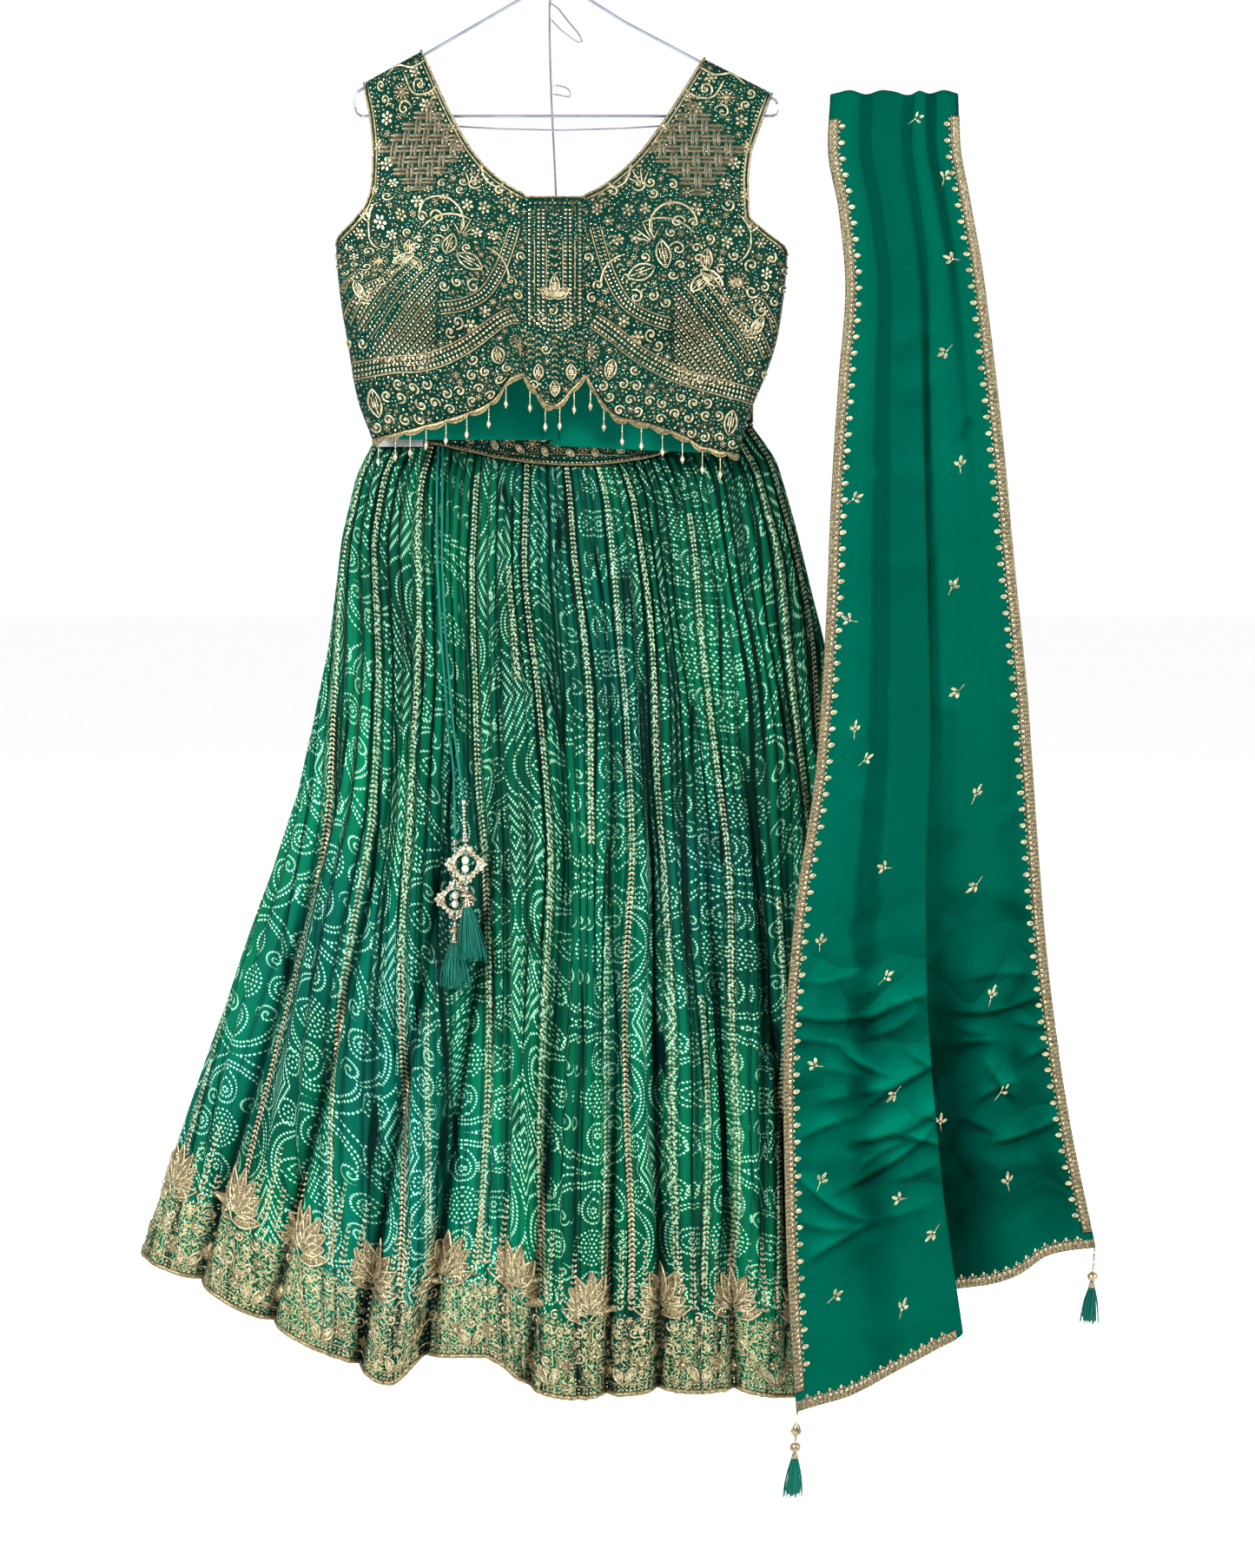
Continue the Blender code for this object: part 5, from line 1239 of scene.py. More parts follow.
def fill_ground(d, inside, passes=ALL_FILLINGS, yarn="thread"):
    """Fillings from large to small, wherever the map is still free.

    Curls come first, then small flowers or groups of three leaves, single leaves or sequins, and
    seed beads.
    """
    for kind, pitch in passes:
        x, y = free_spots(d, pitch, inside)
        angles = d.rng.uniform(0, 6.3, len(x))
        style = d.rng.uniform(0, 1, len(x))
        if kind == "curl":
            for cx, cy, turn, hand in zip(x, y, angles, style):
                curl(d, cx, cy, pitch * 0.42, turn, 1 if hand < 0.5 else -1)
        elif kind == "flower":
            for fx, fy, turn, way in zip(x, y, angles, style):
                if way < 0.62:
                    flower(d, fx, fy, pitch * 0.5, 5 + int(way * 3), turn, yarn)
                    continue
                for side in (turn - 0.7, turn, turn + 0.7):
                    d.ovals(yarn, fx + 1.9 * math.cos(side), fy + 1.9 * math.sin(side),
                            pitch * 0.6, pitch * 0.27, side, 0.9, 6, 0.4)
                d.sequins(fx - 2.4 * math.cos(turn), fy - 2.4 * math.sin(turn), 3.0, 1.2)
        elif kind == "leaf":
            flip = style < 0.5
            d.ovals(yarn, x[flip], y[flip], pitch * 1.05, pitch * 0.56, angles[flip], 0.9, 6, 0.4)
            d.sequins(x[~flip], y[~flip], pitch * 0.74, 1.1, 6, angles[~flip])
        else:
            d.ovals("seed", x, y, 1.7, 1.7, 0.0, 0.9, 4, keep=False)


# %% [markdown]
# A drawing becomes cloth work when its marks are laid on a surface. All the marks of one kind of
# thread are one piece, because they share a finish and a file with a thousand objects is slow. The
# outlines sink a little into the cloth, and triangles that would face it are turned round.

# %% Sewing a drawing on
THREADS_OF = {                # finish, slot, whether its facets stay sharp
    "thread": (GOLD_THREAD, "gold_trim", False), "bright": (BRIGHT_THREAD, "gold_trim", False),
    "dull": (DULL_THREAD, "gold_trim", False), "stone": (STONE, "beads", True),
    "seed": (SEED, "beads", True)}
SINK = 0.3                    # an outline lies this deep in the cloth, so no mark stands off it


def lay_on(shapes, place):
    """Flat marks laid on cloth: points that miss it are dropped, and all triangles face out."""
    flat, faces = join(shapes)
    points, above = place(flat[:, :2], flat[:, 2] - SINK)
    faces = faces[np.isfinite(points[faces]).all(axis=(1, 2))]
    corner = points[faces]
    facing = np.cross(corner[:, 1] - corner[:, 0], corner[:, 2] - corner[:, 0])
    out = np.einsum("ij,ij->i", facing, above[faces[:, 0]])
    faces = np.where((out < 0)[:, None], faces[:, ::-1], faces)
    used, faces = np.unique(faces, return_inverse=True)
    return points[used], faces.reshape(-1, 3)


def sew(name, drawings):
    """One piece for each kind of thread. Each drawing comes with a function that places it."""
    made = []
    for kind, (finish, slot, faceted) in THREADS_OF.items():
        parts = {}
        for d, place in drawings:
            for flat, lift, faces in d.marks[kind]:
                parts.setdefault(place, []).append((np.concatenate([flat, lift[:, None]], 1), faces))
        if parts:
            shape = join([lay_on(shapes, place) for place, shapes in parts.items()])
            made.append(piece(f"{name}_{kind}", shape, finish, flat_shaded=faceted))
    return made


# %% [markdown]
# ## The skirt
# Eight panels are gathered into the waistband, four in front and four behind. Going down, the
# small gathers fade and open into broad folds. Seen from above the skirt is a flat oval, so each
# height is half an oval that is walked at even steps. A gather moves the cloth in and out along
# the oval's normal, with a narrow valley and a round back, and a big fold is a wide lobe between
# two sharp valleys. Simulated cloth would fall well too, but its folds would not come where the
# photographed ones are.

# %% Skirt tables
WAIST_DIP = table("share dip", [
    (0.00, 0), (0.08, 1), (0.165, 5), (0.255, 14), (0.336, 23), (0.46, 32), (0.565, 35),
    (0.695, 31), (0.80, 20), (0.90, 8), (0.97, 1.2), (1.00, 0)])
BACK_DIP = 0.36
SKIRT = table("t left right middle front back round gather lobe", [
    (0.00, -194, 214, 45, 12, 12, 6, 2.0, 0.00),
    (0.04, -211, 239, 43, 24, 19, 26, 2.6, 0.06),
    (0.12, -225, 258, 38, 43, 30, 66, 3.0, 0.18),
    (0.26, -237, 287, 32, 61, 46, 122, 2.8, 0.38),
    (0.44, -268, 323, 28, 77, 64, 195, 2.2, 0.62),
    (0.64, -325, 363, 22, 94, 82, 290, 1.4, 0.84),
    (0.83, -381, 399, 18, 107, 95, 370, 0.8, 0.95),
    (1.00, -429, 425, 15, 118, 106, 427, 0.4, 1.00)])
SKIRT_TOP_LEFT, SKIRT_TOP_RIGHT = -560.0, -542.0
HEM = {
    "front": table("a z", [
        (0.00, -1410), (0.10, -1433), (0.19, -1468), (0.26, -1494), (0.33, -1520),
        (0.365, -1496), (0.43, -1491), (0.49, -1529), (0.56, -1534), (0.62, -1529),
        (0.68, -1530), (0.79, -1541), (0.88, -1502), (0.95, -1446), (1.00, -1419)]),
    "back": table("a z", [
        (0.00, -1410), (0.12, -1446), (0.30, -1490), (0.50, -1506), (0.70, -1492),
        (0.88, -1452), (1.00, -1419)])}
FOLDS = {
    "front": table("end height", [
        (0.00, 0), (0.10, 14), (0.19, 16), (0.29, 18), (0.365, 22), (0.48, 18), (0.565, 20),
        (0.622, 15), (0.707, 18), (0.786, 16), (0.884, 16), (1.00, 12)]),
    "back": table("end height", [
        (0.00, 0), (0.09, 12), (0.20, 18), (0.29, 15), (0.41, 20), (0.50, 16), (0.60, 19),
        (0.70, 16), (0.79, 18), (0.90, 17), (1.00, 12)])}
GATHERS = {"front": 50, "back": 36}
print("skirt:", SKIRT["right"][-1] - SKIRT["left"][-1], "mm wide at the hem")
SKIRT_WALL = 2.2
BAND_WALL = 2.0
BAND_HEIGHT = 45.0
BAND_CUT = 0.42               # metres of band in each half of the waist
PIPING_R, HEM_PIPING_R = 1.5, 2.6


# %% [markdown]
# Three helpers give the skirt's plain form: the height of its waist seam, its outline seen from
# above at any height, and how far the big folds stand out. An oval with a flat middle is used,
# because a true ellipse would bulge where the skirt hangs flat against the wall.

# %% Skirt shape
def waist_height(shares, face):
    """Height of the waist seam from its left end to its right end: a slope less a dip."""
    level = SKIRT_TOP_LEFT + shares * (SKIRT_TOP_RIGHT - SKIRT_TOP_LEFT)
    return level - read(WAIST_DIP, "dip", shares) * (1.0 if face == "front" else BACK_DIP)


def section(t, face, shares):
    """Half an oval, flat in the middle with elliptical ends, walked at even steps; and normals."""
    left, right, middle, ends = (float(read(SKIRT, n, t)) for n in ("left", "right", "middle", "round"))
    depth = float(read(SKIRT, face, t))
    sign = -1 if face == "front" else 1
    half, centre = (right - left) / 2, (right + left) / 2
    turn = np.linspace(0, math.pi / 2, 60)
    x = np.concatenate([-(half - ends) - ends * np.cos(turn), (half - ends) + ends * np.sin(turn)])
    y = np.concatenate([depth * np.sin(turn), depth * np.cos(turn)])
    line = np.stack([centre + x, middle + sign * y], -1)
    along = walked(line)
    reach = np.maximum(np.abs(x) - (half - ends), 0) / ends
    out = unit(np.stack([np.sign(x) * reach * depth / ends, sign * y / depth], -1))
    at = shares * along[-1]
    return places_at(at, along, line), unit(places_at(at, along, out)), along[-1]


def fold_height(folds, shares):
    """Big folds: one minus a steep power of the distance from the lobe's middle."""
    ends = folds["end"]
    k = np.clip(np.searchsorted(ends, shares, side="right") - 1, 0, len(ends) - 2)
    inside = (shares - ends[k]) / (ends[k + 1] - ends[k])
    return folds["height"][k + 1] * (1 - np.abs(2 * inside - 1) ** 2.2)


print("half the waist is", round(section(0.0, "front", np.zeros(1))[2]), "mm of cloth on the band")


# %% [markdown]
# The gathers don't fan out evenly. Those near the sides lean out and bring cloth round from the
# back, while those in the middle hang almost straight. A table says which share of the hem's width
# each gather reaches from its share of the waist. Some folds last down to the hem, and a few
# troughs are deeper than the rest; they have places of their own.

# %% How the gathers run
FAN_TOP = np.array([-0.10, 0.03, 0.087, 0.178, 0.29, 0.404, 0.587, 0.64, 0.776, 0.93, 1.10])
FAN_LOW = np.array([0.0, 0.13, 0.235, 0.325, 0.43, 0.495, 0.588, 0.64, 0.715, 0.81, 1.0])
TROUGHS = {                   # share of the waist, first and last t, depth, half width in gathers
    "front": [(0.02, 0.25, 1.00, 4, 0.36), (0.11, 0.30, 0.90, 4, 0.34), (0.15, 0.55, 1.05, 5, 0.36),
              (0.215, 0.35, 1.00, 5, 0.36), (0.265, 0.12, 0.50, 4, 0.34), (0.31, 0.36, 1.05, 6, 0.40),
              (0.35, 0.30, 0.72, 5, 0.34), (0.44, 0.10, 0.62, 4, 0.32), (0.475, 0.50, 1.10, 5, 0.36),
              (0.535, 0.15, 0.55, 4, 0.34), (0.575, 0.40, 1.05, 6, 0.36), (0.615, 0.30, 1.00, 5, 0.36),
              (0.69, 0.12, 0.85, 5, 0.38), (0.74, 0.45, 1.05, 5, 0.36), (0.82, 0.25, 0.95, 5, 0.38),
              (0.88, 0.35, 1.05, 5, 0.36), (0.965, 0.20, 1.05, 5, 0.36)],
    "back": [(0.10, 0.20, 1.05, 4, 0.30), (0.22, 0.35, 0.90, 5, 0.30), (0.35, 0.15, 1.05, 5, 0.32),
             (0.47, 0.40, 1.05, 4, 0.30), (0.58, 0.20, 0.80, 5, 0.30), (0.70, 0.45, 1.05, 5, 0.32),
             (0.83, 0.25, 1.00, 4, 0.30), (0.93, 0.40, 1.05, 4, 0.30)]}


def gather_numbers(face, shares, ts):
    """Which gather each place is in, as a number: the fan table at each height, and a small wander."""
    count = GATHERS[face]
    if face == "front":
        place, _, _ = section(1.0, face, shares)
        seen = (place[:, 0] - place[0, 0]) / (place[-1, 0] - place[0, 0])
        low = np.interp(FAN_LOW, seen, shares)
        top = np.clip(FAN_TOP, 0, 1) + np.array([-1e-3] + [0] * (len(FAN_TOP) - 2) + [1e-3])
        rows = []
        for t in ts:
            at = (1 - t) * top + t * low
            value = (1 - t) * top + t * FAN_TOP
            rows.append(count * smooth(at, value, shares))
        number = np.array(rows)
    else:
        drift = 5.0 * ts[:, None]
        number = drift + shares[None] * (count - 2 * drift)
    t, share = ts[:, None], shares[None]
    wander = (0.36 * np.sin(2 * math.pi * (1.1 * t + 2.7 * share))
              + 0.22 * np.sin(2 * math.pi * (2.3 * t - 7.1 * share)))
    return number + wander * ramp(t / 0.15) * ramp(share / 0.03) * ramp((1 - share) / 0.03)


# %% [markdown]
# One function puts a half of the skirt together. It walks the oval at each height and adds the
# gathers, the wide folds and the troughs. With the points it hands on what cloth, print and
# stitches need later: the gather that each point is in, and the painted shade of its valley.

# %% The skirt's surface
Half = collections.namedtuple("Half", "shares ts points inward number hollow lengths")


def skirt_surface(face, across, down):
    """Points of the skirt's front or back, each point's gather number and its valley's painted shade.

    Out of the oval stands the gather, minus one in its valley to three quarters on its back, times
    its size at this height, then the wide folds, less the troughs.
    """
    shares, ts = np.linspace(0, 1, across), np.linspace(0, 1, down)
    rows = SKIRT["t"]
    places, normals, lengths = zip(*(section(t, face, shares) for t in rows))
    k = np.clip(np.searchsorted(rows, ts, side="right") - 1, 0, len(rows) - 2)
    s = ((ts - rows[k]) / (rows[k + 1] - rows[k]))[:, None, None]
    place, normal = ((1 - s) * np.array(g)[k] + s * np.array(g)[k + 1] for g in (places, normals))
    gather = np.interp(ts, rows, SKIRT["gather"])[:, None]
    lobe = np.interp(ts, rows, SKIRT["lobe"])[:, None]
    t = ts[:, None]
    number = gather_numbers(face, shares, ts)
    rng = np.random.default_rng(8)
    count = GATHERS[face]
    steps = np.arange(-8, count + 9)
    size = np.interp(number, steps + 0.5, rng.uniform(0.5, 1.0, len(steps)))
    lasting = np.interp(number, steps + 0.5, rng.uniform(0.1, 1.0, len(steps)) ** 1.5)
    tall = gather * size + 2.1 * lasting * ramp(t / 0.3)
    wave = np.abs(np.sin(math.pi * number)) ** 0.75
    fine = 0.14 * np.cos(2 * math.pi * 2.6 * number + 5 * t)
    out = np.minimum(tall * (-1.0 + 1.75 * wave + fine), gather * 0.95 + 1.6 * ramp((t - 0.5) / 0.2))
    # painted shade in a valley: most where gathers lie close, and less lower down
    close = np.interp(number, steps, rng.uniform(0.45, 1.0, len(steps)))
    painted_shade = ramp(1.5 - np.interp(t, (0, 0.3, 0.6, 1), (1.5, 1.75, 2.1, 2.3)) * wave) * close
    painted_shade = painted_shade * ramp(tall / 1.3) * np.interp(t, (0.5, 0.9), (1.0, 0.6))
    # the troughs are dug in, and they get painted shade
    for at, first, last, depth, wide in TROUGHS[face]:
        fade = ramp((t - first) / 0.12) * ramp((last - t) / 0.12)
        away = (number - (round(at * count) + 0.5)) / wide
        out = out - depth * fade * bell(away, 1.0)
        painted_shade = np.maximum(painted_shade, 0.95 * fade * bell(away, 0.8))
    # the big folds, with a sharp valley between two of them that gets painted shade
    out = out + lobe * fold_height(FOLDS[face], shares)[None]
    ends = np.abs(shares[None] - FOLDS[face]["end"][1:-1, None]).min(axis=0)
    out = out - 7.0 * lobe * ramp(lobe * 1.6 - 0.6) * bell(ends, 0.007)[None]
    painted_shade = np.maximum(painted_shade, 1.0 * lobe * bell(ends, 0.0062)[None])
    z = (1 - t) * waist_height(shares, face)[None] + t * read(HEM[face], "z", shares)[None]
    points = np.concatenate([place + unit(normal) * out[..., None], z[..., None]], -1)
    # each row is the mean of itself, counted twice, and the rows above and below
    padded = np.pad(points, ((1, 1), (0, 0), (0, 0)), mode="edge")
    soft = sum(w * padded[j:j + down] for j, w in enumerate((0.25, 0.5, 0.25)))
    points[1:-1] = soft[1:-1]
    inward = np.concatenate([-unit(normal), np.zeros((*z.shape, 1))], -1)
    return Half(shares, ts, points, inward, number, painted_shade, np.interp(ts, rows, lengths))


skirt = {"front": skirt_surface("front", 501, 92), "back": skirt_surface("back", 289, 62)}
for face, half in skirt.items():
    print("skirt", face, "hem", round(half.lengths[-1]), "mm, waist", round(half.lengths[0]), "mm")

# %% [markdown]
# Print and weave need the cloth's own flat coordinates. Half of the gathered cloth is out of sight
# inside the gathers, so going across a gather the flat coordinate runs at true scale over its back
# and catches up in the valley. The print then breaks from one gather to the next, as it does on
# real gathered cloth. Near the waist still more cloth is tucked away between the gathers; the mark
# "hidden" tells the print how far each gather's cloth is shifted by that.

# %% Skirt panels
def cloth_place(face, number, shown, ts):
    """Flat coordinate across: true scale on the gather's back, the rest hidden in its valley.

    At the hem each gather holds a tenth more cloth than it shows; the cloth is cut narrower above.
    """
    half = skirt[face]
    numbers = np.arange(math.floor(number.min()) - 1, math.ceil(number.max()) + 3)
    spread = np.interp(numbers, number[-1], half.shares * half.lengths[-1] * 1.1)
    step = np.maximum(np.diff(spread, append=spread[-1] + 16.0), 10.0)
    edges = np.concatenate([[0], np.cumsum(step)[:-1]])
    k = np.floor(number).astype(int) - numbers[0]
    cut = 0.84 + 0.16 * ts[:, None]
    cloth = step[k] * cut
    inside = number - np.floor(number) - 0.5
    ratio = np.clip(shown / cloth, 0.15, 1.0)
    bend = np.sign(inside) * np.abs(2 * inside) ** 7 / 2
    return (edges[k] - edges[len(edges) // 2]) * cut + cloth * (0.5 + ratio * inside + (1 - ratio) * bend)


def tucked(number, ts):
    """How far the cloth of each gather is shifted by what is tucked away: random, gone at the hem."""
    steps = np.random.default_rng(21).uniform(-34.0, 34.0, 90)
    return steps[np.floor(number).astype(int) + 15] * ramp(1.05 - ts[:, None]) ** 1.2 * MM


skirt_sheets = []
for face, count in GATHERS.items():
    # depth here is the painted shade of each point's valley
    shares, ts, points, inward, number, depth, lengths = skirt[face]
    shown = lengths[:, None] / np.gradient(number, shares, axis=1)
    u = cloth_place(face, number, shown, ts) * MM
    v = (points[..., 2] - points[-1:, :, 2]) * MM
    more = tucked(number, ts)
    cuts = np.round(np.linspace(0, 2 * count, 5) / 2).astype(int) * 2 / (2 * count)
    columns = np.round(cuts * (len(shares) - 1)).astype(int)
    for k, (start, end) in enumerate(zip(columns, columns[1:]), 1):
        part = slice(start, end + 1)
        outer = points[:, part]
        inner = outer + inward[:, part] * SKIRT_WALL * 0.6
        uv = np.stack([u[:, part], v[:, part]], -1).reshape(-1, 2)
        # the mark "valley" carries the painted shade of the valleys
        marks = {"valley": np.tile(depth[:, part].ravel(), 2), "hidden": np.tile(more[:, part].ravel(), 2)}
        skirt_sheets.append(piece(f"skirt_{face}_{k}_cloth", shell(outer, inner), PRINTED,
                                  np.tile(uv, (2, 1)), marks, stands_for=[f"skirt_{face}_{k}"]))
SKIRT_FRONT = Surface(skirt["front"].shares, skirt["front"].ts, skirt["front"].points, (0, -1, 0))
SKIRT_BACK = Surface(skirt["back"].shares, skirt["back"].ts, skirt["back"].points, (0, 1, 0))


# %% [markdown]
# The waistband is a firm embroidered band, 45 mm high, that stands straight up from the gathers.
# Gold piping runs along the lower edge of its front half, and a thicker piped edge closes the hem.
# Both are round cords carried along the cloth's own edge.

# %% Waistband, its piping and the hem's edge
def waist_line(face, shares):
    """The waist's oval with its height and normals."""
    place, normal, _ = section(0.0, face, shares)
    line = np.concatenate([place, waist_height(shares, face)[:, None]], axis=1)
    return line, np.concatenate([normal, np.zeros((len(shares), 1))], axis=1)


def band_edge_shares(face):
    """The plain model's own steps round the waist, so that the band turns its ends alike."""
    last = 2 * GATHERS[face]
    steps = sorted({*range(0, 9, 2), *range(12, last - 11, 4), *range(last - 8, last + 1, 2)})
    return np.array(steps) / last


waist_sheets = []
for face in ("front", "back"):
    shares = np.sort(np.concatenate([band_edge_shares(face), np.linspace(0.06, 0.94, 61)]))
    shares = shares[np.concatenate([[True], np.diff(shares) > 1e-4])]
    line, normal = waist_line(face, shares)
    sign = 1.0 if face == "back" else -1.0
    low = line + normal * BAND_WALL / 2
    low[:, 2] += GAP
    heights = np.linspace(1, 0, 7)[:, None] * BAND_HEIGHT
    grid = low[None] + np.stack([np.zeros((7, 1)), np.zeros((7, 1)), heights], -1)
    grid[:, [0, -1], 1] += sign * GAP / 2
    uv = np.stack(np.broadcast_arrays(shares[None] * BAND_CUT, heights * MM), -1).reshape(-1, 2)
    waist_sheets.append(piece(f"waistband_{face}_cloth", shell(grid, grid - normal[None] * BAND_WALL),
                              WORKED_CLOTH, np.tile(uv, (2, 1)),
                              stands_for=[f"skirt_waistband_{face}"]))

line, normal = waist_line("front", np.linspace(0, 1, 200))
line = line + normal * (BAND_WALL / 2 + PIPING_R + GAP)
line[:, 2] += GAP + PIPING_R + 0.4
piping_path = places_at(np.linspace(-134, 146, 90), line[:, 0], line)
waist_piping = piece("skirt_waist_piping_cord", twisted_cord(piping_path, PIPING_R, 7.0, 10), GOLD_THREAD,
                     stands_for=["skirt_waist_piping"])
front_edge, back_edge = (half.points[-1] + half.inward[-1] * 0.7 for half in skirt.values())
hem_path = np.concatenate([front_edge, back_edge[::-1][1:-1]])
hem_path[:, 2] -= 1.2
hem_piping = piece("skirt_hem_piping", tube(hem_path, HEM_PIPING_R, 8, (0, 0, 1), closed=True),
                   GOLD_THREAD)

# %% [markdown]
# The front of the waistband is worked with round flowers, leaves and two rows of sequins. It is
# drawn on the unrolled band and laid round the waist's oval.

# %% Waistband embroidery
BAND_SHARES = np.linspace(0, 1, 241)
BAND_ALONG = section(0.0, "front", BAND_SHARES)[2] * BAND_SHARES


def band_place(flat, lift):
    """Places flat marks (mm along the band, mm above its seam)."""
    line, normal = waist_line("front", np.interp(flat[:, 0], BAND_ALONG, BAND_SHARES))
    out = line + normal * (BAND_WALL / 2 + lift)[:, None]
    out[:, 2] += flat[:, 1]
    return np.array([out, normal])


def band_drawing():
    """Two rows of sequins and two cords, and between them round flowers and pairs of leaves."""
    length, middle = BAND_ALONG[-1], BAND_HEIGHT / 2
    d = Drawing(0, 0, length, BAND_HEIGHT, 12, 1.3)
    for y in (4.0, 41.0):
        d.row("stone", [(4, y), (length / 2, y), (length - 4, y)], 4.4, 3.6, 3.2, 1.1)
    for y in (7.0, 38.0):
        d.cord([(4, y), (length / 3, y), (length / 1.5, y), (length - 4, y)], 1.3)
    for k, x in enumerate(np.arange(18, length - 10, 27)):
        rosette(d, x, middle, 9.0)
        for sign in (1, -1):
            leaf(d, x + 13.5, middle + sign * 7.5, 12.0, 6.0, sign * 0.9 + (0.2 if k % 2 else -0.2))
    fill_ground(d, lambda x, y: (x > 3) & (x < length - 3) & (y > 8) & (y < 37))
    return d


band_stitches = sew("skirt_waistband_stitch", [(band_drawing(), band_place)])

# %% [markdown]
# Gold wheat ears run down the skirt on the backs of some gathers. At the hem is a deep border:
# lotuses on broad leaves, slim ears of uneven height that rise between them, and under them a close
# ground of round flowers, curls and leaves down to two rows of sequins. The smallest stitches of
# that ground are part of the print's finish. The ears are drawn along a straight line and laid on
# the gather's own path, and the border is drawn on the hem's length.

# %% Gold lines, and places on the hem
EARS = {                      # share of the waist, first and last t
    "front": [(0.03, 0.01, 0.87), (0.087, 0.03, 0.885), (0.178, 0.0, 0.89), (0.215, 0.62, 0.88),
              (0.29, 0.04, 0.89), (0.37, 0.14, 0.24), (0.404, 0.0, 0.885), (0.507, 0.0, 0.40),
              (0.545, 0.52, 0.88), (0.587, 0.0, 0.885), (0.64, 0.03, 0.88), (0.70, 0.60, 0.88),
              (0.776, 0.08, 0.885), (0.86, 0.50, 0.89), (0.93, 0.0, 0.89), (0.975, 0.0, 0.88),
              (1.06, 0.60, 0.87), (-0.05, 0.70, 0.87)],
    "back": [(0.06, 0.3, 0.88), (0.17, 0.02, 0.88), (0.31, 0.02, 0.88), (0.45, 0.02, 0.88),
             (0.59, 0.02, 0.88), (0.73, 0.02, 0.88), (0.86, 0.02, 0.88), (0.95, 0.4, 0.88)]}
MODULE = 76.0                 # mm of hem from lotus to lotus
BORDER_HIGH, FILLED_HIGH = 86, 76    # mm above the hem: the map, and the filled ground
LOTUS_FOOT = 80.0             # mm above the hem


def line_place(face, surface, at, first, last):
    """Places flat marks (mm off the line, mm down it) along one gather."""
    half = skirt[face]
    target = math.floor(at * GATHERS[face]) + 0.5
    rows = (half.ts >= first - 0.02) & (half.ts <= last + 0.02)
    share = np.array([np.interp(target, n, half.shares) for n in half.number[rows]])
    along = walked(surface.at(share, half.ts[rows])[0])

    def place(flat, lift):
        t = np.interp(flat[:, 1], along, half.ts[rows])
        a = np.interp(flat[:, 1], along, share) + flat[:, 0] / np.interp(t, half.ts, half.lengths)
        return surface.at(a, t, lift)
    return along[-1], place


def border_place(face, surface):
    """Places flat marks (mm along the hem, mm above it)."""
    half = skirt[face]
    drop = half.points[0, :, 2] - half.points[-1, :, 2]

    def place(flat, lift):
        a = ramp(flat[:, 0] / half.lengths[-1])
        return surface.at(a, 1 - flat[:, 1] / np.interp(a, half.shares, drop), lift)
    return place


# %% [markdown]
# The border is drawn lotus by lotus. A module has a lotus, the ears round it and the larger
# stitches of the ground under it, and small random shifts keep it from looking stamped.

# %% The hem border
def hem_module(d, x, step):
    """One module of the border, round a lotus at x."""
    size = 54.0 + d.rng.uniform(-3, 3)
    high = LOTUS_FOOT + d.rng.uniform(-3, 3)
    lotus(d, x, high, size)
    ear(d, [(x, high - 14), (x, high - 28), (x, 36)], 5.6, 5.6, 3.0)
    for off, top in ((-0.24, 62), (0.24, 52), (-0.42, 30), (0.42, 78)):
        foot, at = high + 4 + d.rng.uniform(-6, 4), x + off * step
        tip = foot + top + d.rng.uniform(-8, 14)
        ear(d, [(at, foot), (at, foot + top / 2), (at, tip)], 5.4, 7.4, 3.8, 0.5, "bright")
    rosette(d, x - step * 0.27, 27 + d.rng.uniform(-3, 3), 10.5)
    rosette(d, x + step * 0.27, 24 + d.rng.uniform(-3, 3), 9.5)
    flower(d, x, 20 + d.rng.uniform(-2, 2), 6.5, 7)
    flower(d, x + step * 0.49, 48, 6.5, 7)
    curl(d, x + step * 0.1, 38, 6.5, 0.6, 1)
    curl(d, x - step * 0.1, 38, 6.5, 2.5, -1)
    for sign in (1, -1):
        leaf(d, x + sign * step * 0.42, 17, 17, 7.5, UP + sign * 0.5)
        start, end = (200, 330) if sign > 0 else (340, 210)
        d.cord(arc(x + sign * step * 0.27, 44, 14, start, end, 10), 1.3)
        for way in (0.5, 1.1, 1.7):
            d.ovals("thread", x + sign * (step * 0.22 + 4 * way), 48 + 5 * math.sin(3 * way), 7.0, 3.0,
                    way * sign, 0.8, 6, 0.4)


def hem_drawing(length, seed):
    """The border over one half of the hem, lotus by lotus, and its filled ground."""
    d = Drawing(0, 0, length, BORDER_HIGH, seed, 1.35)
    count = round(length / MODULE)
    step = length / count
    for h in (3.0, 6.8):
        d.row("stone", [(0, h), (length / 2, h), (length, h)], 4.0, 3.1, 3.1)
    d.cord(np.stack([np.linspace(0, length, 260), np.full(260, 9.6)], -1), 1.4, 0.8)
    for k in range(count):
        hem_module(d, (k + 0.5) * step, step)
    fill_ground(d, lambda x, y: (y > 10) & (y < FILLED_HIGH + 6 * np.cos(2 * math.pi * x / step)),
                (("curl", 13.0), ("flower", 8.0), ("leaf", 3.8)), "bright")
    return d


# %% [markdown]
# Each half of the skirt gets its gold lines and its border, all sewn on in one step.

# %% Stitches of the skirt
skirt_stitches = {}
for face, surface, seed in (("front", SKIRT_FRONT, 3), ("back", SKIRT_BACK, 4)):
    jobs = []
    for at, first, last in EARS[face]:
        length, place = line_place(face, surface, at, first, last)
        d = Drawing(-6, 0, 6, 2, seed)
        ear(d, [(0, 0), (0, length / 2), (0, length)], 5.0, 5.0, 2.7, -0.32, "bright")
        jobs.append((d, place))
    jobs.append((hem_drawing(skirt[face].lengths[-1], seed), border_place(face, surface)))
    skirt_stitches[face] = sew(f"skirt_{face}_stitch", jobs)

